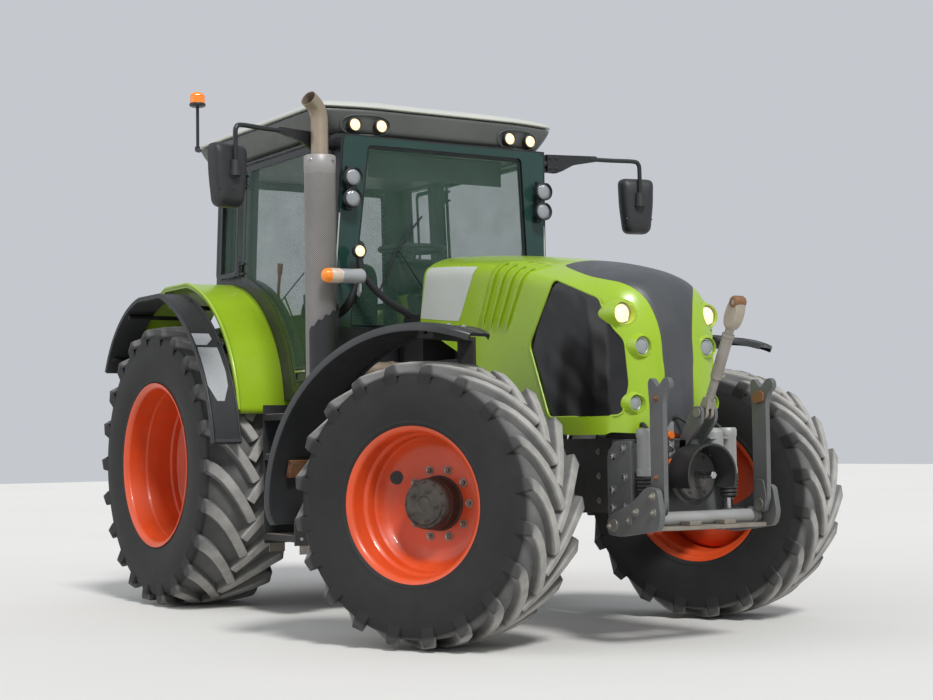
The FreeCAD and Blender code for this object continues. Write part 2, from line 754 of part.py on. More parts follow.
def band(outer, inner):
    """A closed outline between two lines that run the same way."""
    back = []
    for index in range(len(inner) - 1, -1, -1):
        bend = inner[index - 1] if index else ()
        back.append(tuple(inner[index][:2]) + ((-bend[2],) if len(bend) == 3 else ()))
    return outer + back


# Tail lamp housing behind each fender: along the tractor, out from the fender's inner edge, height
TAIL_HOUSING = ((-690, -610), (130, 340), (1655, 1755))


def make_fender(name, sign):
    """Arched band over the tyre with the wheel box wall on its inner side and the tail lamp housing behind."""
    shape = (D.fender_top, D.fender_front, D.fender_low)
    outline = band(fender_line(0, *shape), fender_line(D.fender_wall, *shape))
    arch = slab("side", outline, *span(sign, D.fender_in, D.fender_out))
    inside = D.fender_top - D.fender_wall / 2
    wall_line = [
        (AXLE + D.cab_back, D.fender_low),
        (AXLE + D.cab_back, inside),
        (AXLE + FENDER_BEND, inside, FENDER_SAGITTA - 7),
        (AXLE + D.fender_front - D.fender_wall, D.fender_low),
    ]
    wall = slab("side", wall_line, *span(sign, D.fender_in, D.fender_in + D.wheel_box_wall))
    along, across, height = TAIL_HOUSING
    lamp = block((AXLE + along[0], AXLE + along[1]),
                 span(sign, D.fender_in + across[0], D.fender_in + across[1]), height)
    node(name, fuse(arch, wall, lamp))


def skirt(sign):
    """Rubber extension outside the fender, a little lower and longer."""
    shape = (D.fender_top - D.skirt_drop, D.skirt_front, D.skirt_low)
    outline = band(fender_line(0, *shape), fender_line(D.fender_wall, *shape))
    return slab("side", outline, *span(sign, D.fender_out, D.skirt_out))


for side, sign in SIDES:
    make_fender("fender_" + side, sign)
node("fender_skirts", group(*both(skirt)))


# Cab
TOP_HALF = D.cab_half - D.side_lean
LEAN = arc_tangent(D.side_lean / (D.roof_base - D.sill_z))
POST_IN = D.door_wall + D.door_gap
CAB_HIGH = D.roof_base - D.sill_z + 1
FRONT_X = D.cab_front - 40


def forward(height):
    """How far the cab's front leans forward at a height above the sill."""
    return height * tangent(D.front_lean)


def screen_face(height):
    """Outer face of the cab's front at a height above the ground."""
    return FRONT_X + D.front_wall / cosine(D.front_lean) + forward(height - D.sill_z)


def side_panel(piece, sign, inward):
    """Stands a side-view piece in the leaning side of the cab."""
    panel = group(piece)
    panel.Placement = Placement(Vector(), Rotation(Vector(sign, 0, 0), 2))
    bind(panel, **{".Placement.Rotation.Angle": LEAN})
    panel.setExpression(".Placement.Base.x", AXLE.text)
    panel.setExpression(".Placement.Base.y", (sign * (D.cab_half - inward)).text)
    panel.setExpression(".Placement.Base.z", D.sill_z.text)
    return panel


def inside(sign, wall):
    """Thickness of a side panel, from its outer face inwards."""
    return (-wall, size(0)) if sign > 0 else (size(0), wall)


DOOR_TOP = CAB_HIGH - 20
WAIST = D.fender_top - D.sill_z


def door_line(grow):
    """Side view of the door opening, made larger all round."""
    front = FRONT_X - D.post_wall
    overlap = 10 if grow else 0
    return [
        (D.door_back - grow, WAIST + 25 - grow),
        (D.door_back - grow, DOOR_TOP - 34 + grow),
        (front + forward(DOOR_TOP) + grow - overlap, DOOR_TOP - 34 + grow),
        (front + forward(60) + grow - overlap, size(60) - grow),
        (size(D.fender_front) + 185 - grow, size(60) - grow, -150),
    ]


def quarter_line():
    """Side view of the small window behind the door."""
    back = D.cab_back + D.post_wall
    front = D.door_back - D.post_wall - 30
    return [(back, WAIST + 50), (front, WAIST + 50), (front, DOOR_TOP - 34), (back, DOOR_TOP - 34)]


def side_frame(sign):
    """Posts and rails of one side, resting on the fender."""
    centre_x, centre_z, radius = FENDER_ARC
    radius = radius + D.seat_gap
    foot = centre_x + root(radius * radius - (D.sill_z - centre_z) * (D.sill_z - centre_z))
    shoulder = centre_z + root(radius * radius - (FENDER_BEND - centre_x) * (FENDER_BEND - centre_x)) - D.sill_z
    run_x, run_z = foot - FENDER_BEND, shoulder
    bulge = radius - root(radius * radius - (run_x * run_x + run_z * run_z) / 4)
    outline = [
        (D.cab_back, shoulder),
        (FENDER_BEND, shoulder, bulge),
        (foot, size(0)),
        (FRONT_X - 0.2, size(0)),
        (FRONT_X - 0.2 + forward(CAB_HIGH), CAB_HIGH),
        (D.cab_back, CAB_HIGH),
    ]
    start, end = inside(sign, D.post_wall)
    ring = cut(slab("side", outline, start, end), slab("side", door_line(0), start - 5, end + 5),
               slab("side", quarter_line(), start - 5, end + 5))
    hinges = [block((D.door_back - 50, D.door_back + 10), span(sign, size(-2), D.door_gap - 0.4), (low, low + 90))
              for low in (WAIST + 60, DOOR_TOP - 160)]
    return side_panel(fuse(ring, *hinges), sign, POST_IN)


def quarter_pane(sign):
    depth = D.post_wall / 4
    return side_panel(slab("side", quarter_line(), *span(-sign, depth, depth + D.glass_wall)), sign, POST_IN)


def make_cab_sides():
    node("cab_sides", group(*both(side_frame)))
    node("side_windows", group(*both(quarter_pane)))
    for side, sign in SIDES:
        node("door_" + side, side_panel(slab("side", door_line(16), *inside(sign, D.door_wall)), sign, 0))


def front_panel(piece):
    """Stands an end-view piece in the leaning front of the cab."""
    panel = group(piece)
    panel.Placement = Placement(Vector(), Rotation(Vector(0, 1, 0), 3))
    bind(panel, **{".Placement.Rotation.Angle": D.front_lean})
    panel.setExpression(".Placement.Base.x", (AXLE + FRONT_X).text)
    panel.setExpression(".Placement.Base.z", D.sill_z.text)
    return panel


def trapezoid(low_half, low, high_half, high):
    return [(-low_half, low), (low_half, low), (high_half, high), (-high_half, high)]


def make_cab_ends():
    screen = trapezoid(D.screen_low_half, D.belt_z - D.sill_z, D.screen_top_half, CAB_HIGH - 55)
    top = TOP_HALF - POST_IN
    plate = slab("end", trapezoid(D.cab_half - POST_IN, size(0), top, CAB_HIGH - 4), 0, D.front_wall)
    node("cab_front", front_panel(cut(plate, slab("end", screen, -5, D.front_wall + 5))))
    node("windscreen", front_panel(slab("end", screen, D.front_wall / 2, D.front_wall / 2 + D.glass_wall)))
    back = AXLE + D.cab_back
    edge = D.fender_in - 4
    outline = [(-edge, D.sill_z), (edge, D.sill_z), (edge, D.fender_top + 5), (top + 10, D.fender_top + 5),
               (top - 30, D.roof_base), (30 - top, D.roof_base), (-top - 10, D.fender_top + 5),
               (-edge, D.fender_top + 5)]
    window = [(-edge + 60, D.belt_z), (edge - 60, D.belt_z), (edge - 70, D.roof_base - 60),
              (70 - edge, D.roof_base - 60)]
    plate = slab("end", outline, back - D.front_wall, back)
    node("cab_rear", cut(plate, slab("end", window, back - D.front_wall - 5, back + 5)))
    node("rear_window", slab("end", window, back - D.front_wall / 2, back - D.front_wall / 2 + D.glass_wall))


def make_floor():
    base = D.sill_z
    step = AXLE + D.fender_front + 12
    foot_half = D.cab_half - POST_IN - D.post_wall - 3
    outline = [
        (AXLE + D.cab_back, -D.fender_in), (step, -D.fender_in), (step, -foot_half),
        (AXLE + FRONT_X - 0.2, -foot_half), (AXLE + FRONT_X - 0.2, foot_half), (step, foot_half),
        (step, D.fender_in), (AXLE + D.cab_back, D.fender_in),
    ]
    mounts = [block((AXLE + x, AXLE + x + 120), wide(150), (D.transmission_top, base + 10)) for x in (0, 1000)]
    node("cab_floor", fuse(slab("plan", outline, base, D.floor_top), *mounts))


# Roof sections: height, rear edge, front edge, half width
def roof_section(height, back, front, half):
    corner, bow = 70, 64
    half = float(half)
    points = [(back, half - corner), (back + corner, half), (front - bow, half), (front, half * 0.62)]
    points += [(x, -y) for x, y in points[::-1]]
    return Part.makePolygon([Vector(float(AXLE + x), y, float(height)) for x, y in points + points[:1]])


def make_roof():
    """Lens-shaped roof with pockets for its front lamps and a ledge for the beacon."""
    loft = DOC.addObject("Part::Feature", "RoofForm")
    loft.Shape = Part.makeLoft([
        roof_section(D.roof_base, D.roof_back + 45, D.roof_front - 30, D.roof_half - 100),
        roof_section(D.roof_rim, D.roof_back, D.roof_front, D.roof_half),
        roof_section(D.roof_rim + 45, D.roof_back + 8, D.roof_front - 24, D.roof_half - 12),
        roof_section(D.roof_crown, D.roof_back + 150, D.roof_front - 190, D.roof_half - 190),
    ], True, True)
    ledge = block((AXLE + D.beacon_x - 45, AXLE + D.roof_back + 60), span(-1, D.beacon_y - 45, D.beacon_y + 25),
                  (D.roof_rim - 10, D.roof_rim + 14))
    node("cab_roof", cut(fuse(loft, ledge), *[roof_lamp(*row) for row in ROOF_LAMPS]))


# Roof lamps: distance to the side, front face along the tractor
ROOF_LAMPS = [(sign * across, front) for sign in (1, -1) for across, front in ((443, 1536), (605, 1516))]


def roof_lamp(across, front):
    return rod("x", D.roof_lamp_radius, (AXLE + front - 90, across, D.roof_lamp_z), 90)


def post_lamps(sign):
    """Two lamps, one above the other, on a stalk in front of the windscreen post."""
    parts = []
    for height in (D.post_lamp_z - 60, D.post_lamp_z + 60):
        start = AXLE + screen_face(height) + 14
        parts.append(rod("x", D.post_lamp_radius, (start, sign * 655, height), 62))
    spine = block((AXLE + screen_face(D.post_lamp_z + 90) + 0.3, AXLE + screen_face(D.post_lamp_z) + 34),
                  span(sign, 640, 670), (D.post_lamp_z - 90, D.post_lamp_z + 90))
    return fuse(spine, *parts)


def make_cab_inside():
    floor = D.floor_top
    base = block((AXLE + 330, AXLE + 640), wide(150), (floor, floor + 300))
    cushion = block((AXLE + 260, AXLE + 740), wide(250), (floor + 300, floor + 420))
    rest = block((AXLE + 170, AXLE + 290), wide(240), (floor + 380, floor + 1010))
    node("seat", fuse(base, cushion, rest))
    stalk = rod("z", 55, (AXLE + 1150, 0, floor), 560)
    shaft = rod("z", 24, (AXLE + 1110, 0, floor + 560), 300)
    wheel = DOC.addObject("Part::Torus", "SteeringWheel")
    bind(wheel, Radius1=D.steering_wheel, Radius2=16)
    put(wheel, AXLE + 1110, 0, floor + 850)
    spoke = block((AXLE + 1110 - D.steering_wheel, AXLE + 1110 + D.steering_wheel), wide(18),
                  (floor + 842, floor + 858))
    node("steering_column", fuse(stalk, shaft, wheel, spoke))
    node("console", fuse(block((AXLE + 120, AXLE + 760), span(-1, 300, 480), (floor, floor + 480)),
                         block((AXLE + 420, AXLE + 860), span(-1, 290, 400), (floor + 480, floor + 560))))


def make_cowl():
    """Box between the hood's rear edge and the windscreen, with the hood's hinge stand."""
    box = block((AXLE + 1560, AXLE + 1770), wide(330), (D.engine_top, D.belt_z + 60))
    throat = block((AXLE + FRONT_X + 85, AXLE + 1600), wide(300), (D.engine_top, D.belt_z - 20))
    stand = block((AXLE + D.hinge_x - 20, AXLE + D.hinge_x + 20), wide(120), (D.engine_top, D.hinge_z + 18))
    foot = block((AXLE + 1700, AXLE + D.hinge_x + 20), wide(120), (D.engine_top, D.engine_top + 60))
    pin = rod("y", D.hinge_pin, (AXLE + D.hinge_x, -D.hinge_half, D.hinge_z), D.hinge_half * 2)
    node("cowl", fuse(box, throat, stand, foot, pin))


make_floor()
make_cowl()
make_cab_sides()
make_cab_ends()
make_roof()
node("work_lamps", group(*[roof_lamp(*row) for row in ROOF_LAMPS], *both(post_lamps)))
make_cab_inside()


# Exhaust, mirrors, beacon and signal lamps
def make_exhaust():
    """Guard, tailpipe bent outward at its top, and the duct from the engine."""
    x, y = AXLE + D.exhaust_x, -D.exhaust_y
    guard = rod("z", D.silencer_radius, (x, y, D.guard_base), D.guard_top - D.guard_base)
    duct = rod("y", 48, (x, y, D.engine_top - 52), D.exhaust_y - D.engine_half)
    start = Vector(float(x), float(y), float(D.guard_top) - 10)
    bend, lean, turn = float(D.tip_bend), math.radians(float(D.tip_lean)), math.radians(float(D.tip_turn))
    outward = Vector(math.cos(turn), math.sin(turn), 0)
    upward = Vector(0, 0, 1)
    straight = start + upward * float(D.tip_rise)
    middle = straight + outward * (bend * (1 - math.cos(lean / 2))) + upward * (bend * math.sin(lean / 2))
    curved = straight + outward * (bend * (1 - math.cos(lean))) + upward * (bend * math.sin(lean))
    tip = curved + outward * (40 * math.sin(lean)) + upward * (40 * math.cos(lean))
    path = Part.Wire([
        Part.LineSegment(start, straight).toShape(),
        Part.Arc(straight, middle, curved).toShape(),
        Part.LineSegment(curved, tip).toShape(),
    ])
    circle = Part.Circle(start, Vector(0, 0, 1), float(D.tailpipe_radius))
    pipe = DOC.addObject("Part::Feature", "Tailpipe")
    pipe.Shape = path.makePipeShell([Part.Wire(circle.toShape())], True, False)
    node("exhaust", fuse(guard, duct, pipe))


def mirror(sign):
    """Bracket under the roof's front corner, bent tube and head, turned forward about its root."""
    length = D.mirror_arm
    drop = D.roof_base - 6 - D.mirror_z
    plate_line = [(-10, 12), (-10, -92), (70, -98), (190, -40), (350, -12), (350, 18)]
    plate = slab("end", [(sign * y, size(z)) for y, z in plate_line][::sign], -8, 8)
    lug = block((size(-8), size(8)), span(sign, -D.mirror_lug, size(20)), (size(-6), size(8)))
    tube = rod("y", D.arm_radius, (0, span(sign, size(330), length - 20)[0], -3), length - 350)
    leg = rod("z", D.arm_radius + 4, (0, sign * (length - 20), -drop), drop + D.arm_radius)
    head = block((-D.mirror_depth - 10, size(-10)),
                 span(sign, length - D.arm_radius - D.mirror_width / 2, length - D.arm_radius + D.mirror_width / 2),
                 (-drop - D.mirror_height / 2, D.mirror_height / 2 - drop))
    arm = fuse(plate, lug, tube, leg, head)
    arm.Placement = Placement(Vector(), Rotation(Vector(0, 0, -sign), 10))
    bind(arm, **{".Placement.Rotation.Angle": D.mirror_turn})
    for name, number in (("x", AXLE + D.mirror_x), ("y", sign * D.mirror_root), ("z", D.roof_base - 24)):
        arm.setExpression(".Placement.Base." + name, number.text)
    return arm


def signal_arm(sign):
    """Thin arm from the cab's front post that carries a direction lamp."""
    z = D.signal_z
    root = AXLE + screen_face(z + 12) + 0.3
    reach = AXLE + D.signal_x - root
    arm = rod("x", 12, (root, sign * 700, z), reach)
    lamp = block((AXLE + D.signal_x - 30, AXLE + D.signal_x + 40), span(sign, 690, D.signal_out), (z - 42, z + 42))
    return fuse(arm, lamp)


make_exhaust()
node("mirrors", group(*both(mirror)))
node("signal_lamps", group(*both(signal_arm)))
ledge_top = D.roof_rim + 14
stalk = rod("z", 12, (AXLE + D.beacon_x, -D.beacon_y, ledge_top), D.beacon_height - 90)
lamp = rod("z", 56, (AXLE + D.beacon_x, -D.beacon_y, ledge_top + D.beacon_height - 90), 90)
node("beacon", fuse(stalk, lamp))


# Hood
def hood_run(top, fall, crease, half, depth):
    """The hood's crowned section, pushed along a line that falls to the front."""
    ends = [
        (-half, top - depth), (half, top - depth), (half, top - crease - D.crease_wall),
        (half - 45, top - crease, -crease), (45 - half, top - crease), (-half, top - crease - D.crease_wall),
    ]
    start = AXLE + D.hood_back - 100
    length = D.hood_nose - D.hood_back + 200
    return slab("end", ends, start, start + length, direction=Vector(1, 0, -float(fall)))


def hood_form(inset, beyond):
    """The hood's solid form, smaller by an inset and longer at its rear and underside."""
    top = D.hood_top - inset
    half = D.hood_half - inset
    runs = common(hood_run(top, D.hood_fall, D.crease_drop, half, 1250 + beyond),
                  hood_run(D.nose_top - inset, D.nose_fall, D.nose_crease, half + 2, 1350 + beyond))
    nose, nose_half = D.hood_nose - inset, D.hood_nose_half - inset
    rear = D.hood_back - 60 - beyond
    plan = [
        (AXLE + rear, -half - 3), (AXLE + 3000, -half - 3), (AXLE + nose - 240, -nose_half, -45),
        (AXLE + nose - 34, -D.nose_corner, -34), (AXLE + nose - 34, D.nose_corner, -45),
        (AXLE + nose - 240, nose_half), (AXLE + 3000, half + 3), (AXLE + rear, half + 3),
    ]
    low = D.hood_base - beyond
    side = [
        (AXLE + rear, top + 60), (AXLE + rear + 40, D.belt_z - beyond), (AXLE + 2950, low + 150),
        (AXLE + 3110, low), (AXLE + nose - 14, low), (AXLE + nose, low + 230 + beyond),
        (AXLE + nose - 3, D.hood_base + 390, 14), (AXLE + nose - 52, D.hood_base + 650 - inset, 20),
        (AXLE + nose - 150, D.hood_base + 805 - inset), (AXLE + nose - 800, top + 40),
    ]
    return common(common(runs, slab("plan", plan, low - 10, top + 200)), slab("side", side, -500, 500))


# Side mesh outline in side view, along the tractor and up
MESH_LINE = [
    (3105, 1762), (3430, 1657), (3474, 1530), (3531, 1455), (3554, 1250), (3532, 1090), (3012, 1092), (2865, 1479),
]
# Headlamps: front face, distance to the side, height, radius
HEADLAMPS = [(3520, 262, 1583, 54), (3592, 200, 1423, 46), (3570, 232, 1150, 40)]


def mesh_panel(sign, wall):
    """Panel of the side mesh, in the hood's wall."""
    outline = [(AXLE + x, size(z)) for x, z in MESH_LINE]
    return slab("side", outline, *span(sign, size(200), size(200) + wall))


# Louvres of the hood in side view: foot along the tractor, top along the tractor, height of the top
LOUVRES = [(2420, 2688, 1944), (2499, 2758, 1935), (2578, 2828, 1925), (2658, 2897, 1915)]
LOUVRE_FOOT, FOOT_WIDTH, TOP_WIDTH = 1540, 44, 34


def louvre(foot, top, height):
    """A slanted slot across the whole hood, as wide as one louvre."""
    outline = [(AXLE + foot, size(LOUVRE_FOOT)), (AXLE + foot + FOOT_WIDTH, size(LOUVRE_FOOT - 5)),
               (AXLE + top + TOP_WIDTH, size(height)), (AXLE + top, size(height))]
    return slab("side", outline, size(-500), size(500))


def mesh_panels():
    return [mesh_panel(sign, size(300)) for name, sign in SIDES]


def headlamp(sign, front, across, height, radius):
    return rod("x", size(radius), (AXLE + front - D.headlamp_length, sign * across, height), D.headlamp_length)


def headlamp_holes():
    """Pockets a little deeper than the lamps, open to the front."""
    return [rod("x", size(radius), (AXLE + front - D.headlamp_length - 2, sign * across, height), 240)
            for front, across, height, radius in HEADLAMPS for name, sign in SIDES]


def make_hood():
    shell = cut(hood_form(size(0), size(0)), hood_form(D.hood_wall, size(120)))
    grooves = cut(fuse(*[louvre(*row) for row in LOUVRES]), hood_form(D.louvre_depth, size(200)))
    node("hood", cut(shell, *mesh_panels(), *headlamp_holes(), grooves))
    backing = cut(hood_form(D.grille_inset, size(0)), hood_form(D.hood_wall, size(120)))
    node("side_grilles", cut(common(backing, fuse(*mesh_panels())), *headlamp_holes()))
    node("headlamps", group(*[headlamp(sign, *row) for row in HEADLAMPS for name, sign in SIDES]))


make_hood()


# Front linkage
def make_linkage_frame():
    """Bracket on the front frame with support plates, lift barrels, pivot pins and power take-off."""
    core = block((LINK, LINK + 180), wide(D.support_half), (600, D.frame_top - 5))
    plate_line = [(20, 600), (185, 600), (185, 970), (20, 970)]
    plates = [slab("side", [(LINK + out, size(z)) for out, z in plate_line],
                   *span(sign, D.support_half, D.support_half + D.plate_wall)) for name, sign in SIDES]
    barrels = both(lambda sign: cut(
        rod("z", D.barrel_radius, (LINK + D.rod_out, sign * D.rod_half, 800), 230),
        rod("z", D.rod_radius + D.pin_gap, (LINK + D.rod_out, sign * D.rod_half, 700), 300)))
    holders = both(lambda sign: block((LINK + 170, LINK + D.rod_out - D.barrel_radius + 8),
                                      span(sign, D.rod_half - 30, D.rod_half + 30), (820, 960)))
    pins = both(lambda sign: rod(
        "y", D.link_pin, (LINK + D.lift_pivot_out, span(sign, D.support_half, D.lift_half + D.plate_wall + 4)[0],
                          D.lift_pivot_z), D.lift_half + D.plate_wall + 4 - D.support_half))
    lugs = [block((LINK + D.lift_pivot_out - 45, LINK + D.lift_pivot_out + 45),
                  span(sign, D.support_half, D.support_half + D.plate_wall),
                  (D.lift_pivot_z - 45, D.lift_pivot_z + 60)) for name, sign in SIDES]
    gearbox = rod("x", 120, (LINK + 180, 0, D.front_pto_z), 130)
    shaft = rod("x", D.pto_radius, (LINK + 300, 0, D.front_pto_z),
                D.front_pto_end - 300)
    guard = cut(rod("x", 146, (LINK + 270, 0, D.front_pto_z), 150),
                rod("x", 138, (LINK + 292, 0, D.front_pto_z), 200),
                block((LINK + 250, LINK + 700), wide(200),
                      (D.front_pto_z - 300, D.front_pto_z - 60)))
    ears = both(lambda sign: slab("side", [
        (LINK + 240, D.frame_top - 90), (LINK + D.top_pin_out + 30, D.top_pin_z - 40),
        (LINK + D.top_pin_out + 30, D.top_pin_z + 30), (LINK + D.top_pin_out - 40, D.top_pin_z + 30),
        (LINK + 240, D.frame_top - 10)], *span(sign, size(32), size(50))))
    neck = block((LINK + 185, LINK + 290), wide(50), (D.front_pto_z, D.frame_top - 10))
    top_pin = rod("y", D.top_pin, (LINK + D.top_pin_out, -50, D.top_pin_z), 100)
    node("front_linkage_frame", fuse(core, *plates, *barrels, *holders, *pins, *lugs, gearbox, shaft, guard,
                                     *ears, neck, top_pin))


def make_lift_frame():
    """Side plates, cross tube, skid plate and the forks for the cylinder eyes."""
    line = [(80, 530), (80, 612), (280, 690), (380, 760), (460, 750), (485, 620), (460, 560), (180, 522)]
    hole = D.link_pin + D.pin_gap
    plates = [cut(slab("side", [(LINK + out, size(z)) for out, z in line],
                       *span(sign, D.lift_half, D.lift_half + D.plate_wall)),
                  rod("y", hole, (LINK + D.lift_pivot_out, -500, D.lift_pivot_z), 1000)) for name, sign in SIDES]
    tube = rod("y", 34, (LINK + 340, -D.lift_half, 604), D.lift_half * 2)
    skid = block((LINK + 304, LINK + 460), wide(D.lift_half), (556, 574))
    forks = [block((LINK + D.rod_out - 25, LINK + 330), span(sign, D.rod_half + offset, D.rod_half + offset + 14),
                   (572, 640)) for name, sign in SIDES for offset in (26, -40)]
    eye_pins = [rod("y", 10, (LINK + D.rod_out, span(sign, D.rod_half - 40, D.rod_half + 40)[0], D.rod_eye_z), 80)
                for name, sign in SIDES]
    hook_pins = [rod("y", D.link_pin, (LINK + D.hook_out, span(sign, D.hook_half - 8, D.lift_half + 10)[0], D.hook_z),
                     D.lift_half + 18 - D.hook_half) for name, sign in SIDES]
    node("front_lift_frame", fuse(*plates, tube, skid, *forks, *eye_pins, *hook_pins))


def hook_arm(sign):
    """A folded lower arm with an open claw at its end."""
    line = [(-27, 624), (27, 624), (55, 700), (55, 1180), (105, 1215), (95, 1262), (45, 1262),
            (20, 1215), (-15, 1262), (-55, 1245), (-45, 1140), (-45, 700)]
    arm = slab("side", [(LINK + D.hook_out + out, size(z)) for out, z in line], *span(sign, D.hook_half, D.hook_half + 26))
    return cut(arm, rod("y", D.link_pin + D.pin_gap, (LINK + D.hook_out, -500, D.hook_z), 1000))


def front_rod(sign):
    """Cylinder rod with its eye."""
    x, y = LINK + D.rod_out, sign * D.rod_half
    shaft = rod("z", D.rod_radius, (x, y, D.rod_eye_z + 24), 296)
    eye = rod("y", 34, (x, y - 18, D.rod_eye_z), 36)
    return cut(fuse(shaft, eye), rod("y", 26, (x, y - 30, D.rod_eye_z), 60))


def link_bar(length, tube, pin, half, start, lean, end_pin):
    """A bar with an eye at each end, leaning up from its first pin."""
    bar = rod("x", tube, (pin * 2, 0, 0), length - pin * 4)
    eyes = [rod("y", pin * 2.2, (x, -half, 0), half * 2) for x in (size(0), length)]
    holes = [rod("y", radius, (x, -half * 2, 0), half * 4) for x, radius in ((size(0), pin + D.pin_gap),
                                                                            (length, end_pin))]
    link = cut(fuse(bar, *eyes), *holes)
    link.Placement = Placement(Vector(), Rotation(Vector(0, -1, 0), 10))
    bind(link, **{".Placement.Rotation.Angle": lean})
    for name, number in zip("xyz", start):
        link.setExpression(".Placement.Base." + name, size(number).text)
    return link


make_linkage_frame()
make_lift_frame()
node("front_hook_arms", group(*both(hook_arm)))
node("front_lift_rods", group(*both(front_rod)))
node("front_top_link", link_bar(D.top_link_length, D.top_link_tube, D.top_pin, size(25),
                                (LINK + D.top_pin_out, 0, D.top_pin_z), D.top_link_lean, D.top_eye))


# Rear linkage and hitch
def make_rear_hitch():
    """Drawbar, its carrier, the lower links' pins, the top link's ears and the power take-off."""
    back = D.transmission_back
    base = D.transmission_base
    carrier = block((AXLE + back, AXLE + 260), wide(90), (D.drawbar_z + 20, base))
    drawbar = cut(block((AXLE + D.drawbar_end, AXLE + 200), wide(45), (D.drawbar_z - 20, D.drawbar_z + 20)),
                  rod("z", D.drawbar_hole, (AXLE + D.drawbar_end + 45, 0, D.drawbar_z - 50), 100))
    cheeks = [block((AXLE + D.lower_pin_x - 60, AXLE + D.lower_pin_x + 60), span(sign, size(90), D.lower_half - 38),
                    (D.lower_pin_z - 50, base)) for name, sign in SIDES]
    pins = [rod("y", D.link_pin, (AXLE + D.lower_pin_x, span(sign, size(200), D.lower_half + 34)[0],
                                  D.lower_pin_z), D.lower_half - 166) for name, sign in SIDES]
    plate = block((AXLE + back - 24, AXLE + back), wide(150), (D.drawbar_z + 20, D.rear_top_z + 80))
    rails = [block((AXLE + back - 90, AXLE + back - 20), span(sign, size(124), size(148)),
                   (base, D.rear_top_z + 80)) for name, sign in SIDES]
    ears = [block((AXLE + D.rear_top_x - 35, AXLE + back), span(sign, size(32), size(52)),
                  (D.rear_top_z - 45, D.rear_top_z + 45)) for name, sign in SIDES]
    top_pin = rod("y", D.top_pin, (AXLE + D.rear_top_x, -52, D.rear_top_z), 104)
    pto = rod("x", D.pto_radius, (AXLE + D.rear_pto_end, 0, D.rear_pto_z), back - D.rear_pto_end)
    node("rear_hitch", fuse(carrier, plate, drawbar, *cheeks, *pins, *rails, *ears, top_pin, pto))


def make_lift_shaft():
    """Cross shaft on the transmission that the rear lift arms turn on."""
    z = D.lift_arm_z
    towers = [block((AXLE + D.lift_arm_x - 60, AXLE + D.lift_arm_x + 60), span(sign, size(120), size(200)),
                    (D.transmission_top, z + 30)) for name, sign in SIDES]
    shaft = rod("y", 34, (AXLE + D.lift_arm_x, -300, z), 600)
    return fuse(*towers, shaft)


def make_lift_arms():
    arms = []
    for name, sign in SIDES:
        line = [(-150, 1196), (-150, 1104), (-560, 1130), (-600, 1150), (-600, 1180), (-560, 1200)]
        plate = slab("side", [(AXLE + x, size(z)) for x, z in line[::-1]], *span(sign, size(262), size(296)))
        hub = rod("y", 52, (AXLE + D.lift_arm_x, span(sign, size(258), size(296))[0], D.lift_arm_z), 38)
        pin = rod("y", D.top_pin, (AXLE - 565, span(sign, size(290), size(340))[0], D.lift_arm_z + 15), 50)
        arms.append(cut(fuse(plate, hub, pin), rod("y", size(34) + D.pin_gap, (AXLE + D.lift_arm_x, -500, D.lift_arm_z),
                                              1000)))
    node("rear_lift_arms", group(*arms))


def lift_rod(sign):
    """Upright rod between a lift arm and a lower link."""
    x, y = AXLE - 565, span(sign, size(302), size(332))
    shaft = rod("z", 13, (x, sign * 317, D.lower_pin_z + 31), D.lift_arm_z - D.lower_pin_z - 40)
    top = rod("y", 32, (x, y[0], D.lift_arm_z + 15), 30)
    eye = rod("y", 36, (x, y[0], D.lower_pin_z), 30)
    return cut(fuse(shaft, top, eye), rod("y", 26, (x, -500, D.lower_pin_z), 1000),
               rod("y", D.top_pin + D.pin_gap, (x, -500, D.lift_arm_z + 15), 1000))


def lower_link(sign):
    """Flat link with a pin hole at the front and a ball eye at the rear."""
    y = sign * D.lower_half
    length = D.lower_length
    x = AXLE + D.lower_pin_x
    bar = block((x - length + 30, x - 20), span(sign, D.lower_half - 12, D.lower_half + 12),
                (D.lower_pin_z - 36, D.lower_pin_z + 36))
    eyes = [rod("y", radius, (place, y - half, D.lower_pin_z), half * 2)
            for place, radius, half in ((x, size(52), 18), (x - length, size(46), 22.5))]
    holes = [rod("y", radius, (place, y - 60, D.lower_pin_z), 120)
             for place, radius in ((x, D.link_pin + D.pin_gap), (x - length, D.lower_eye))]
    stud = rod("y", 10, (AXLE - 565, span(sign, D.lower_half, D.lower_half + 58)[0], D.lower_pin_z), 58)
    return cut(fuse(bar, stud, *eyes), *holes)


make_rear_hitch()
node("lift_shaft", make_lift_shaft())
make_lift_arms()
node("rear_lift_rods", group(*both(lift_rod)))
node("rear_lower_links", group(*both(lower_link)))
node("rear_top_link", link_bar(D.rear_link_length, D.top_link_tube, D.top_pin, size(25),
                               (AXLE + D.rear_top_x, 0, D.rear_top_z), D.rear_link_lean, D.top_eye))


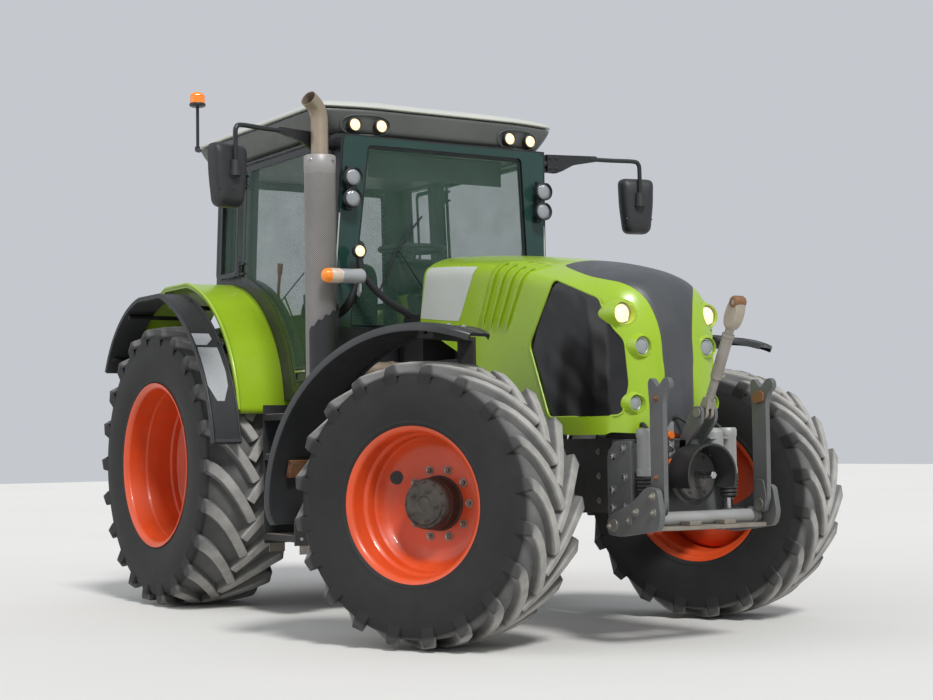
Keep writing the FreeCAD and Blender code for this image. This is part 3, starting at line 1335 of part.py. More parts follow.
# Steered corners, built about the kingpin at the axle's height
def make_knuckle(name, sign):
    """Ears round the boss, kingpin, web, hub carrier, stub shaft and the fender's strut."""
    ear_z = D.kingpin_height / 2 + 2
    reach = D.wheel_offset - D.front_disc_in - D.disc_wall - D.hub_back - D.running_gap
    shaft_end = D.wheel_offset - D.front_disc_in + D.front_hub_out - D.hub_cap_wall - D.running_gap
    web_in = D.kingpin_boss + D.running_gap + 2
    ears = []
    for low in (ear_z, -ear_z - 30):
        ears.append(rod("z", 58, (0, 0, low), 30))
        ears.append(block((size(-50), size(50)), span(sign, size(0), web_in + 30), (low, low + 30)))
    pin = rod("z", D.kingpin_radius, (0, 0, -ear_z - 20), ear_z * 2 + 40)
    web = block((size(-78), size(78)), span(sign, web_in, web_in + 44), (-ear_z - 30, ear_z + 30))
    near, far = span(sign, web_in + 20, reach)
    carrier = rod("y", 108, (0, near, 0), far - near)
    near, far = span(sign, reach - 10, shaft_end)
    shaft = rod("y", D.spindle_radius, (0, near, 0), far - near)
    strut_top = (D.front_radius + D.front_fender_gap) - D.front_fender_wall - 30
    strut = block((size(-45), size(45)), span(sign, size(-18), size(12)), (ear_z + 10, strut_top))
    shelf = block((size(-45), size(45)), span(sign, size(-18), D.front_fender_out - 160), (strut_top - 20, strut_top))
    tabs = [block((x, x + 30), span(sign, D.front_fender_in + 40, D.front_fender_out - 160),
                  (strut_top - 4, strut_top + 29)) for x in (size(-40), size(10))]
    knuckle = fuse(*ears, pin, web, carrier, shaft, strut, shelf, *tabs)
    steered(knuckle, sign, size(0))
    node(name, knuckle)


def make_front_fender(name, sign):
    """Arched band over the front tyre, turned with the steering."""
    outer, inner = (D.front_radius + D.front_fender_gap), (D.front_radius + D.front_fender_gap) - D.front_fender_wall
    near, far = span(sign, D.front_fender_in, D.front_fender_out)
    body = turned(name, [(near, inner), (far, inner), (far, outer), (near, outer)], 23)
    body.Tip.Type = "TwoAngles"
    body.Tip.Angle2 = 97
    steered(body, sign, size(0))
    node(name, body)


for side, sign in SIDES:
    make_knuckle("knuckle_" + side, sign)
    make_front_fender("front_fender_" + side, sign)

DOC.recompute()
for piece in DOC.Objects:
    if "Invalid" in piece.State or "Error" in piece.State:
        raise RuntimeError("%s (%s): %s" % (piece.Name, piece.Label, piece.State))
for piece in NODES:
    if piece.Shape.isNull() or not piece.Shape.isValid():
        raise RuntimeError("%s has no valid shape" % piece.Label)
os.makedirs("parts", exist_ok=True)
for piece in NODES:
    piece.Shape.exportStep("parts/%s.step" % piece.Label)
    box = piece.Shape.BoundBox
    print("%-22s %7.1f l  %7.0f %7.0f  %7.0f %7.0f  %7.0f %7.0f  solids %d" % (
        piece.Label, piece.Shape.Volume / 1e6, box.XMin, box.XMax, box.YMin, box.YMax, box.ZMin, box.ZMax,
        len(piece.Shape.Solids)))
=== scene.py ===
"""Looks of a farm tractor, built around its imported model."""
import json
import math

import bmesh
import bpy
from mathutils import Matrix, Vector

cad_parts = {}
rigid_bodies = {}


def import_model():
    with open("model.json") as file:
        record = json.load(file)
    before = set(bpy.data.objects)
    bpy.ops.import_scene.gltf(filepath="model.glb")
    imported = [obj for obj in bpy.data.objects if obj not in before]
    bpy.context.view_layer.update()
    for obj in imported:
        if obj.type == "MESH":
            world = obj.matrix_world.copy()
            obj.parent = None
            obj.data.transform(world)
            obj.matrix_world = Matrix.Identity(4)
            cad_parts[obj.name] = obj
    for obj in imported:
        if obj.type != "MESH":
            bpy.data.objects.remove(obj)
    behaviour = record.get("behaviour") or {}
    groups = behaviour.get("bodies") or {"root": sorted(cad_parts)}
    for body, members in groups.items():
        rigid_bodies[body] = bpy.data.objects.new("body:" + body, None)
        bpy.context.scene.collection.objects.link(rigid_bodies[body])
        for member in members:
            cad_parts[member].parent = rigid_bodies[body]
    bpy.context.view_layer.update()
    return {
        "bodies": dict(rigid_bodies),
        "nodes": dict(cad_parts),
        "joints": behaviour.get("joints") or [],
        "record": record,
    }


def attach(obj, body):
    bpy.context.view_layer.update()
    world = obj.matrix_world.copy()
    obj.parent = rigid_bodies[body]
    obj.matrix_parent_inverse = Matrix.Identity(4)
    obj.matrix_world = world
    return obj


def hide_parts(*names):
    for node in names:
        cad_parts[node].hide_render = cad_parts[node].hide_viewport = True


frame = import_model()
nodes = frame["nodes"]

# Lengths are in metres and x starts at the rear axle, unless a name says otherwise
AXLE = -1.440
SIDES = (("left", 1), ("right", -1))
WHEELBASE, KINGPIN, STEERED = 2.820, 0.710, math.radians(27.0)
FRONT_RADIUS, REAR_RADIUS = 0.685, 0.865
FRONT_HALF, REAR_HALF = 0.26, 0.30
PHOTO_WIDTH = 933
TIP = 0.0002


def aim_camera():
    """Camera at the photograph's angle."""
    yaw, pitch, roll = math.radians(147.5297), 0.0534789, -0.0151104
    ahead = Vector((math.cos(pitch) * math.cos(yaw), math.cos(pitch) * math.sin(yaw), math.sin(pitch)))
    right = ahead.cross(Vector((0, 0, 1))).normalized()
    up = right.cross(ahead)
    rolled = right * math.cos(roll) + up * math.sin(roll)
    top = -right * math.sin(roll) + up * math.cos(roll)
    camera = bpy.data.objects.new("camera", bpy.data.cameras.new("camera"))
    turn = Matrix((rolled, top, -ahead)).transposed().to_4x4()
    camera.matrix_world = Matrix.Translation((10.08796 + AXLE, -5.33390, 0.97475)) @ turn
    camera.data.lens = 1729.7226 * 36 / PHOTO_WIDTH
    camera.data.sensor_width = 36
    camera.data.clip_end = 200
    bpy.context.scene.collection.objects.link(camera)
    bpy.context.scene.camera = camera


aim_camera()


# Forms
class Form:
    """Points and faces gathered for one mesh."""

    def __init__(self):
        self.points = []
        self.faces = []

    def add(self, points, faces):
        start = len(self.points)
        self.points += [Vector(p) for p in points]
        self.faces += [tuple(start + i for i in face) for face in faces]
        return self

    def loft(self, rings, closed=True, caps=True):
        """Skins a run of rings with equal counts of points."""
        count = len(rings[0])
        faces = []
        for row in range(len(rings) - 1):
            for i in range(count if closed else count - 1):
                j = (i + 1) % count
                faces.append((row * count + i, row * count + j, (row + 1) * count + j, (row + 1) * count + i))
        if caps:
            faces.append(tuple(range(count))[::-1])
            faces.append(tuple((len(rings) - 1) * count + i for i in range(count)))
        return self.add([p for ring in rings for p in ring], faces)

    def box(self, low, high):
        (a, b, c), (d, e, f) = low, high
        return self.loft([[(a, b, z), (d, b, z), (d, e, z), (a, e, z)] for z in (c, f)])

    def prism(self, outline, axis, low, high):
        """An outline pushed along x, y or z."""
        order = {"x": lambda u, v, w: (w, u, v), "y": lambda u, v, w: (u, w, v), "z": lambda u, v,
                 w: (u, v, w)}[axis]
        return self.loft([[order(u, v, w) for u, v in outline] for w in (low, high)])

    def tube(self, path, radius, sides=12, caps=True):
        """A round bar along a path, its radius one number or one for each point."""
        path = [Vector(p) for p in path]
        ahead = (path[1] - path[0]).normalized()
        side = ahead.orthogonal().normalized()
        rings = []
        for i, point in enumerate(path):
            before = (point - path[i - 1]).normalized() if i else ahead
            after = (path[i + 1] - point).normalized() if i + 1 < len(path) else before
            along = (before + after).normalized()
            side = (side - along * side.dot(along)).normalized()
            other = along.cross(side)
            size = radius[i] if isinstance(radius, (list, tuple)) else radius
            rings.append([point + (side * math.cos(a) + other * math.sin(a)) * size for a in turns(sides)])
        return self.loft(rings, True, caps)

    def turned(self, profile, centre=(0, 0, 0), axis="y", steps=64, closed=False, start=0.0, sweep=360.0):
        """A profile of (radius, along) swept round an axis."""
        order = {"x": lambda r, a, h: (h, r * math.cos(a), r * math.sin(a)), "y": lambda r, a,
                 h: (r * math.sin(a), h, r * math.cos(a)), "z": lambda r, a,
                 h: (r * math.cos(a), r * math.sin(a), h)}[axis]
        whole = sweep >= 360
        rings = []
        for k in range(steps if whole else steps + 1):
            angle = math.radians(start + sweep * k / steps)
            rings.append([Vector(centre) + Vector(order(r, angle, h)) for r, h in profile])
        if whole:
            rings.append(rings[0])
        return self.loft(rings, closed, closed and not whole)

    def moved(self, matrix):
        self.points = [matrix @ p for p in self.points]
        return self

    def join(self, other, matrix=None):
        return self.add([matrix @ p if matrix else p for p in other.points], other.faces)

    def mirrored(self):
        """Adds the same form on the tractor's other side."""
        return self.add([(p.x, -p.y, p.z) for p in self.points], list(self.faces))


def arc(centre, radius, start, end, steps):
    """Points on a circle, angles in degrees."""
    return [(centre[0] + radius * math.cos(math.radians(start + (end - start) * k / steps)),
             centre[1] + radius * math.sin(math.radians(start + (end - start) * k / steps)))
            for k in range(steps + 1)]


def curve(points, steps=6):
    """A smooth line through points of any dimension."""
    points = [Vector(p) for p in points]
    out = []
    for i in range(len(points) - 1):
        a = points[i - 1] if i else points[0] * 2 - points[1]
        b, c = points[i], points[i + 1]
        d = points[i + 2] if i + 2 < len(points) else c * 2 - b
        for k in range(steps):
            t = k / steps
            out.append(0.5 * ((2 * b) + (c - a) * t + (2 * a - 5 * b + 4 * c - d) * t * t
                              + (3 * b - 3 * c + d - a) * t * t * t))
    out.append(points[-1])
    return out


def rounded(outline, radius, steps=4):
    """An outline with its corners rounded."""
    out = []
    count = len(outline)
    for i in range(count):
        before, here, after = (Vector(outline[(i + k) % count]) for k in (-1, 0, 1))
        to_before, to_after = before - here, after - here
        reach = min(radius, to_before.length * 0.45, to_after.length * 0.45)
        start = here + to_before.normalized() * reach
        end = here + to_after.normalized() * reach
        for k in range(steps + 1):
            t = k / steps
            out.append(tuple((1 - t) ** 2 * start + 2 * t * (1 - t) * here + t * t * end))
    return out


def shifted(points, start=AXLE):
    """Points whose x is measured from the rear axle or another start, in the part's frame."""
    return [(p[0] + start, *p[1:]) for p in points]


def span(side, near, far):
    """Two distances from the middle as the low and high y of one side."""
    return sorted((side * near, side * far))


def turns(count, start=0.0):
    """Equal angles round a circle, the first one a share of a step after zero."""
    return [2 * math.pi * (k + start) / count for k in range(count)]


def bolt(form, at, direction, radius=0.012, height=0.010, washer=True):
    """A hexagon head with a washer, its face along a direction."""
    direction = Vector(direction).normalized()
    side = direction.orthogonal().normalized()
    other = direction.cross(side)
    at = Vector(at)

    def ring(size, lift, count):
        return [at + direction * lift + (side * math.cos(a) + other * math.sin(a)) * size
                for a in turns(count)]

    if washer:
        form.loft([ring(radius * 1.45, -0.003, 16), ring(radius * 1.45, 0.002, 16),
                   ring(radius * 1.3, 0.0032, 16)])
    form.loft([ring(radius, 0.0, 6), ring(radius, height * 0.85, 6), ring(radius * 0.86, height, 6)])
    form.loft([ring(radius * 0.55, height * 0.9, 12), ring(radius * 0.5, height * 1.5, 12)])
    return form


def piece(name, body, form, material, slot, bevel=0.0, replaces=(), angle=32, rounds=2, matrix=None, sub=0):
    """Makes a form into a piece of the tractor."""
    mesh = bpy.data.meshes.new(name)
    mesh.from_pydata([tuple(p) for p in form.points], [], form.faces)
    work = bmesh.new()
    work.from_mesh(mesh)
    bmesh.ops.remove_doubles(work, verts=work.verts, dist=0.00002)
    bmesh.ops.dissolve_degenerate(work, edges=work.edges, dist=0.00001)
    bmesh.ops.recalc_face_normals(work, faces=work.faces)
    work.to_mesh(mesh)
    work.free()
    for face in mesh.polygons:
        face.use_smooth = True
    mesh.materials.append(material)
    made = bpy.data.objects.new(name, mesh)
    if matrix:
        made.matrix_world = matrix
    bpy.context.scene.collection.objects.link(made)
    if bevel:
        edge = made.modifiers.new("edges", "BEVEL")
        edge.width = bevel
        edge.segments = rounds
        edge.limit_method = "ANGLE"
        edge.angle_limit = math.radians(angle)
        edge.harden_normals = False
    if sub:
        smooth = made.modifiers.new("smooth", "SUBSURF")
        smooth.levels = sub
        smooth.render_levels = sub
    if not bevel and not sub:
        mesh.set_sharp_from_angle(angle=math.radians(angle))
    if bevel:
        made.modifiers.new("normals", "WEIGHTED_NORMAL").keep_sharp = True
    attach(made, body)
    if replaces:
        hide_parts(*replaces)
    return made


# Materials
class Shade:
    """A procedural material built up in layers."""

    def __init__(self, name):
        self.material = bpy.data.materials.new(name)
        self.material.use_nodes = True
        self.tree = self.material.node_tree
        self.shader = self.tree.nodes["Principled BSDF"]
        self.place = self.tree.nodes.new("ShaderNodeTexCoord").outputs["Object"]

    def link(self, source, target):
        self.tree.links.new(source, target)

    def noise(self, scale, detail=4.0, rough=0.55, stretch=None):
        made = self.tree.nodes.new("ShaderNodeTexNoise")
        made.inputs["Scale"].default_value = scale
        made.inputs["Detail"].default_value = detail
        made.inputs["Roughness"].default_value = rough
        place = self.place
        if stretch:
            mapping = self.tree.nodes.new("ShaderNodeMapping")
            mapping.inputs["Scale"].default_value = stretch
            self.link(place, mapping.inputs["Vector"])
            place = mapping.outputs["Vector"]
        self.link(place, made.inputs["Vector"])
        return made.outputs["Fac"]

    def spread(self, source, low, high, out_low=0.0, out_high=1.0):
        """A value stretched from one range to another and kept inside it."""
        made = self.tree.nodes.new("ShaderNodeMapRange")
        made.clamp = True
        for key, value in (("From Min", low), ("From Max", high), ("To Min", out_low), ("To Max", out_high)):
            made.inputs[key].default_value = value
        self.link(source, made.inputs["Value"])
        return made.outputs["Result"]

    def math(self, kind, a, b=None):
        made = self.tree.nodes.new("ShaderNodeMath")
        made.operation = kind
        for index, value in enumerate((a, b)):
            if value is None:
                continue
            if isinstance(value, (int, float)):
                made.inputs[index].default_value = value
            else:
                self.link(value, made.inputs[index])
        return made.outputs["Value"]

    def mix(self, share, a, b):
        made = self.tree.nodes.new("ShaderNodeMix")
        made.data_type = "RGBA"
        self.link(share, made.inputs["Factor"])
        for key, value in (("A", a), ("B", b)):
            socket = [s for s in made.inputs if s.name == key and s.type == "RGBA"][0]
            if isinstance(value, tuple):
                socket.default_value = (*value, 1)
            else:
                self.link(value, socket)
        return [s for s in made.outputs if s.type == "RGBA"][0]

    def split(self):
        made = self.tree.nodes.new("ShaderNodeSeparateXYZ")
        self.link(self.place, made.inputs["Vector"])
        return made.outputs

    def bump(self, height, strength, distance=0.001):
        made = self.tree.nodes.new("ShaderNodeBump")
        made.inputs["Strength"].default_value = strength
        made.inputs["Distance"].default_value = distance
        self.link(height, made.inputs["Height"])
        if self.shader.inputs["Normal"].is_linked:
            self.link(self.shader.inputs["Normal"].links[0].from_socket, made.inputs["Normal"])
        self.link(made.outputs["Normal"], self.shader.inputs["Normal"])

    def colour(self, source):
        self.link(source, self.shader.inputs["Base Color"])

    def rough(self, source):
        self.link(source, self.shader.inputs["Roughness"])

    def fixed(self, **values):
        for key, value in values.items():
            self.shader.inputs[key.replace("_", " ")].default_value = value
        return self


def surface(name, colour, rough=0.5, metal=0.0, vary=0.10, scale=3.0, grain=240.0, grain_bump=0.05,
            dust=0.0, dust_top=1.5, dust_colour=(0.30, 0.26, 0.20), coat=0.0, scuff=0.0):
    """A coloured surface with slow variation, fine grain, and dust that thickens towards the ground."""
    shade = Shade(name)
    shade.fixed(Metallic=metal)
    if coat:
        shade.fixed(Coat_Weight=coat, Coat_Roughness=0.08)
    slow = shade.noise(scale, 5.0)
    dark = tuple(c * (1 - vary) for c in colour)
    light = tuple(min(1.0, c * (1 + vary)) for c in colour)
    tone = shade.mix(shade.spread(slow, 0.3, 0.7), dark, light)
    fine = shade.noise(grain, 2.0)
    rough_value = shade.spread(shade.noise(scale * 6, 4.0), 0.3, 0.7, max(0.02, rough - 0.05),
                               min(1.0, rough + 0.07))
    if scuff:
        marks = shade.spread(shade.noise(38.0, 8.0, 0.7, (1.0, 1.0, 4.0)), 0.62, 0.72, 0.0, scuff)
        tone = shade.mix(marks, tone, tuple(min(1.0, c * 1.8 + 0.05) for c in colour))
    if dust:
        height = shade.spread(shade.split()["Z"], 0.2, dust_top, 1.0, 0.12)
        cloud = shade.spread(shade.noise(7.0, 7.0, 0.65), 0.35, 0.75)
        share = shade.math("MULTIPLY", shade.math("MULTIPLY", height, cloud), dust)
        tone = shade.mix(share, tone, dust_colour)
        rough_value = shade.math("ADD", rough_value, shade.math("MULTIPLY", share, 0.5))
    shade.colour(tone)
    shade.rough(rough_value)
    shade.bump(fine, grain_bump)
    return shade.material


def glass(name, tint, strength, rough=0.02):
    """A thin tinted pane."""
    shade = Shade(name)
    shade.fixed(Roughness=rough, Specular_IOR_Level=0.7)
    slow = shade.noise(1.7, 3.0)
    shade.colour(shade.mix(shade.spread(slow, 0.3, 0.7), tuple(c * 0.85 for c in tint), tint))
    smear = shade.spread(shade.noise(5.0, 5.0, 0.6), 0.4, 0.8, strength, strength + 0.08)
    shade.link(smear, shade.shader.inputs["Alpha"])
    return shade.material


def lamp_glass(name, colour, glow, rough=0.08, lines=0.0):
    """A lamp lens, with light behind it where it is lit."""
    shade = Shade(name)
    shade.fixed(Roughness=rough, Coat_Weight=0.6)
    tone = shade.mix(shade.spread(shade.noise(60.0, 3.0), 0.3, 0.7), tuple(c * 0.85 for c in colour), colour)
    shade.colour(tone)
    if glow:
        shade.link(tone, shade.shader.inputs["Emission Color"])
        shade.fixed(Emission_Strength=glow)
    if lines:
        wave = shade.tree.nodes.new("ShaderNodeTexWave")
        wave.bands_direction = "Y"
        wave.inputs["Scale"].default_value = lines
        shade.link(shade.place, wave.inputs["Vector"])
        shade.bump(wave.outputs["Fac"], 0.4, 0.002)
    return shade.material


LIME = surface("lime_paint", (0.290, 0.450, 0.012), 0.30, 0.0, 0.05, 1.6, 900.0, 0.012, 0.12, 1.3, coat=0.4)
BAND = surface("nose_grey", (0.052, 0.056, 0.062), 0.42, 0.0, 0.12, 3.0, 500.0, 0.10, 0.25, 2.2,
               dust_colour=(0.16, 0.15, 0.13))
PALE = surface("pale_film", (0.52, 0.54, 0.50), 0.35, 0.0, 0.04, 3.0, 600.0, 0.02)
TRIM = surface("black_trim", (0.018, 0.019, 0.021), 0.48, 0.0, 0.18, 4.0, 700.0, 0.16, 0.22, 1.8,
               dust_colour=(0.10, 0.092, 0.08))
FRAME = surface("cab_black", (0.014, 0.015, 0.017), 0.36, 0.0, 0.15, 3.0, 500.0, 0.05, 0.06, 2.0)
GREY = surface("linkage_grey", (0.115, 0.118, 0.122), 0.44, 0.25, 0.14, 5.0, 420.0, 0.10, 0.45, 1.5,
               dust_colour=(0.22, 0.20, 0.17), scuff=0.5)
CAST = surface("cast_dark", (0.040, 0.040, 0.041), 0.62, 0.2, 0.22, 6.0, 180.0, 0.35, 0.55, 1.5,
               dust_colour=(0.16, 0.14, 0.11))
STEEL = surface("bright_steel", (0.50, 0.50, 0.49), 0.26, 1.0, 0.10, 6.0, 300.0, 0.03)
WORN = surface("worn_steel", (0.33, 0.31, 0.28), 0.42, 0.85, 0.2, 9.0, 260.0, 0.15, 0.4, 1.6, scuff=0.35)
ROOF = surface("roof_white", (0.50, 0.505, 0.46), 0.38, 0.0, 0.06, 2.0, 500.0, 0.03)
UNDER = surface("roof_under", (0.085, 0.09, 0.085), 0.45, 0.0, 0.10, 3.0, 500.0, 0.06)
RED = surface("rim_red", (0.64, 0.068, 0.012), 0.36, 0.0, 0.10, 5.0, 600.0, 0.03, 0.16, 1.2,
              dust_colour=(0.40, 0.16, 0.08), coat=0.25)
HUB = surface("hub_cast", (0.036, 0.032, 0.028), 0.66, 0.1, 0.25, 14.0, 150.0, 0.5, 0.5, 1.3,
              dust_colour=(0.14, 0.12, 0.09))
STEP = surface("step_steel", (0.22, 0.20, 0.17), 0.62, 0.4, 0.18, 9.0, 220.0, 0.25, 0.7, 1.6, scuff=0.4)
STACK = surface("stack_metal", (0.36, 0.29, 0.22), 0.44, 0.55, 0.12, 5.0, 400.0, 0.05, scuff=0.15)
GLASS = glass("tinted_glass", (0.075, 0.150, 0.110), 0.22)
BORDER = surface("glass_border", (0.010, 0.012, 0.013), 0.12, 0.0, 0.1, 3.0, 700.0, 0.01)
WARM = lamp_glass("lit_lens", (1.0, 0.66, 0.36), 1.5, lines=90.0)
CLEAR = lamp_glass("clear_lens", (0.30, 0.32, 0.34), 0.0, 0.05, lines=60.0)
AMBER = lamp_glass("amber_lens", (0.85, 0.22, 0.01), 0.25, lines=70.0)
REDLENS = lamp_glass("red_lens", (0.55, 0.01, 0.01), 0.0, lines=70.0)
MIRROR = Shade("reflector").fixed(Metallic=1.0).material
HOSE = surface("hose_rubber", (0.016, 0.016, 0.017), 0.55, 0.0, 0.2, 8.0, 500.0, 0.2, 0.3, 1.5,
               dust_colour=(0.12, 0.11, 0.09))
ORANGE = surface("orange_cap", (0.60, 0.13, 0.012), 0.42, 0.0, 0.1, 8.0, 500.0, 0.05)
RUST = surface("primed_brown", (0.20, 0.085, 0.035), 0.6, 0.2, 0.2, 12.0, 300.0, 0.2, 0.2, 1.5)
CLOTH = surface("seat_cloth", (0.030, 0.031, 0.034), 0.85, 0.0, 0.15, 10.0, 900.0, 0.6)
FLOORMAT = surface("floor_mat", (0.022, 0.022, 0.022), 0.8, 0.0, 0.2, 12.0, 400.0, 0.4)


# Wheels
def tyre_rubber(name, radius, half):
    """Dark sides, dusty tread."""
    shade = Shade(name)
    x, y, z = (shade.split()[k] for k in "XYZ")
    reach = shade.math("SQRT", shade.math("ADD", shade.math("MULTIPLY", x, x), shade.math("MULTIPLY", z, z)))
    tread = shade.spread(reach, radius - 0.068, radius - 0.050)
    flank = shade.spread(shade.math("ABSOLUTE", y), half * 0.93, half * 0.985, 1.0, 0.25)
    cloud = shade.spread(shade.noise(9.0, 7.0, 0.62), 0.25, 0.75, 0.55, 1.0)
    share = shade.math("MULTIPLY", shade.math("MULTIPLY", tread, flank), cloud)
    side = shade.mix(shade.spread(shade.noise(6.0, 6.0, 0.6), 0.3, 0.75), (0.0055, 0.0055, 0.0060),
                     (0.0140, 0.0135, 0.0125))
    top = shade.spread(reach, radius - 0.022, radius - 0.008)
    dusty = shade.mix(top, (0.190, 0.188, 0.183), (0.460, 0.445, 0.415))
    shade.colour(shade.mix(share, side, dusty))
    shade.rough(shade.spread(share, 0.0, 1.0, 0.70, 0.88))
    shade.bump(shade.noise(320.0, 3.0), 0.18)
    shade.bump(shade.noise(26.0, 6.0, 0.7), 0.10, 0.003)
    return shade.material


# Tyre side: distance across as a share of the half width, height as a share of the way up to the tread floor
TYRE_SIDE = [(0.846, 0.000), (0.866, 0.030), (0.885, 0.062), (0.918, 0.100), (0.930, 0.128), (0.922, 0.150),
             (0.945, 0.205), (0.975, 0.310), (0.993, 0.430), (1.000, 0.540), (0.994, 0.640), (0.978, 0.730),
             (0.983, 0.750), (0.966, 0.790), (0.946, 0.870), (0.915, 0.930), (0.850, 0.968), (0.700, 0.984),
             (0.420, 0.996), (0.000, 1.000),]


def make_tyre(name, body, matrix, radius, half, seat, lugs, bite, sweep, node, material):
    """Carcass with slanting lugs, in the wheel's own frame with its axle along Y."""
    floor = radius - bite
    form = Form()
    side = [(seat + (floor - seat) * high, across * half) for across, high in TYRE_SIDE]
    profile = side + [(r, -y) for r, y in side[::-1][1:]]
    form.turned(profile, steps=120)
    # Stations along a lug: share of the way out, top below the tip circle, half width
    stations = [(0.00, 0.000, 0.0215), (0.12, 0.000, 0.0220), (0.28, 0.001, 0.0225), (0.45, 0.003, 0.0235),
                (0.62, 0.006, 0.0250), (0.78, 0.010, 0.0270), (0.90, 0.015, 0.0290), (0.985, 0.022, 0.0300),
                (1.00, 0.052, 0.0300)]
    scale = half / 0.26
    for side_sign, shift in ((1, 0.0), (-1, 0.5)):
        for number in range(lugs):
            base = 2 * math.pi * (number + shift) / lugs
            line = []
            for share, drop, wide in stations:
                across = (-0.05 + 1.045 * share) * half
                line.append((sweep * radius * (1 - share) ** 1.5, across, drop * bite / 0.045, wide * scale))
            rings = []
            for i, (run, across, drop, wide) in enumerate(line):
                low, high = line[max(0, i - 1)], line[min(len(line) - 1, i + 1)]
                along = Vector((high[0] - low[0], high[1] - low[1])).normalized()
                normal = Vector((-along.y, along.x))
                ring = []
                last = i == len(line) - 1
                foot = floor - 0.075 * scale if last else floor - 0.012 - 0.022 * line[i][1] / half
                for offset, height in ((-wide - 0.013 * scale, foot), (-wide, radius - drop),
                                       (wide, radius - drop), (wide + 0.013 * scale, foot)):
                    at = Vector((run, across)) + normal * offset
                    angle = base + at.x / radius
                    limit = half * (1.004 if height > foot else 0.975)
                    out = min(at.y, limit) if not last else (half * 1.005 if height > foot else half * 0.975)
                    ring.append((height * math.sin(angle), side_sign * out, height * math.cos(angle)))
                rings.append(ring)
            form.loft(rings)
    piece(name, body, form, material, "tyre_rubber", 0.0035, (node,), 28, 1, matrix)


def make_rim(name, body, matrix, side, table, studs, node, hand_holes):
    """Rim, dished disc and studs; side is the way its outer face looks along Y."""
    form = Form()
    form.turned([(r, side * y) for r, y in table["outer"]], steps=112, closed=True)
    # Disc, its hand holes filled by dark discs of painted shade in place of the shaded view through the holes
    face = [table["edge"]] + table["disc"] + [(table["hub"] - 0.01, table["at"])]
    wall = 0.014
    form.turned([(r, side * y) for r, y in face] + [(r, side * (y - wall)) for r, y in face[::-1]],
                steps=120, closed=True)
    piece(name, body, form, RED, "rim_paint", 0.0015, (node,), 30, 2, matrix)
    # Each dark disc at a hand hole is painted shade, standing for the shaded view through the hole
    for k in range(hand_holes):
        a = math.radians(table["hole_angle"] + 360.0 * k / hand_holes)
        r, y = table["hole_r"], table["hole_y"]
        hole_shade = Form().turned([(0.0001, 0.0), (0.026, 0.0), (0.030, 0.001), (0.0335, 0.0005),
                              (0.0335, -0.004)], steps=28)
        tilt = Matrix.Rotation(-a, 4, "Y") @ Matrix.Translation((0, side * y, r))
        lean = Matrix.Rotation(math.radians(-side * table["hole_lean"]), 4, "X")
        flip = Matrix.Scale(side, 4, (0, 1, 0))
        hole_shade.moved(tilt @ lean @ flip)
        piece("%s_hand_hole_%d" % (name, k + 1), body, hole_shade, TRIM, "dark_trim", 0.0, (), 40, 2, matrix)
    bolts = Form()
    for a in turns(studs, 0.5):
        at = (table["stud_r"] * math.sin(a), side * (table["at"] + 0.001), table["stud_r"] * math.cos(a))
        bolt(bolts, at, (0, side, 0), 0.0155, 0.018)
    piece(name + "_studs", body, bolts, WORN, "bare_steel", 0.001, (), 30, 2, matrix)


def make_hub(name, body, matrix, side, radius, base, face, plugs):
    """Planetary hub casting with plugs and cap screws on its face."""
    form = Form()
    profile = [(0.0001, face - 0.006), (radius * 0.30, face - 0.006), (radius * 0.34, face - 0.001),
               (radius * 0.78, face - 0.001), (radius * 0.82, face - 0.008), (radius * 0.93, face - 0.010),
               (radius * 0.97, face - 0.020), (radius, face - 0.030), (radius, face - 0.055),
               (radius * 1.03, face - 0.060), (radius * 1.03, face - 0.078), (radius * 0.985, face - 0.084),
               (radius * 1.02, base + 0.010), (radius * 1.10, base + 0.004), (radius * 1.10, base - 0.020)]
    form.turned([(r, side * y) for r, y in profile], steps=72)
    for a in turns(plugs, 0.3):
        at = (radius * 0.58 * math.sin(a), side * (face - 0.002), radius * 0.58 * math.cos(a))
        bolt(form, at, (0, side, 0), 0.013, 0.008)
    for a in turns(12):
        at = (radius * 0.885 * math.sin(a), side * (face - 0.010), radius * 0.885 * math.cos(a))
        bolt(form, at, (0, side, 0), 0.0065, 0.006, False)
    piece(name, body, form, HUB, "cast_grey", 0.0015, (), 30, 2, matrix)


FRONT_RIM = {"outer": [(0.3790, 0.2310), (0.3812, 0.2270), (0.3800, 0.2215), (0.3700, 0.2170),
                       (0.3590, 0.2120), (0.3555, 0.2020), (0.3555, -0.2020), (0.3590, -0.2120),
                       (0.3700, -0.2170), (0.3800, -0.2215), (0.3812, -0.2270), (0.3790, -0.2310),
                       (0.3700, -0.2290), (0.3560, -0.2210), (0.3455, -0.2080), (0.3440, -0.1600),
                       (0.3260, -0.1480), (0.3160, -0.1000), (0.3160, 0.0450), (0.3250, 0.0560),
                       (0.3255, 0.1020), (0.3290, 0.1120), (0.3410, 0.1240), (0.3435, 0.1360),
                       (0.3435, 0.1960), (0.3470, 0.2100), (0.3560, 0.2210), (0.3700, 0.2290)],
             "edge": (0.318, 0.048), "disc": [(0.312, 0.040), (0.296, 0.014), (0.270, -0.006),
                                              (0.236, -0.016), (0.214, -0.020)], "at": -0.020, "hub": 0.135,
             "stud_r": 0.1675, "hole_r": 0.262, "hole_y": -0.0035, "hole_angle": 62.0, "hole_lean": 26.0,}
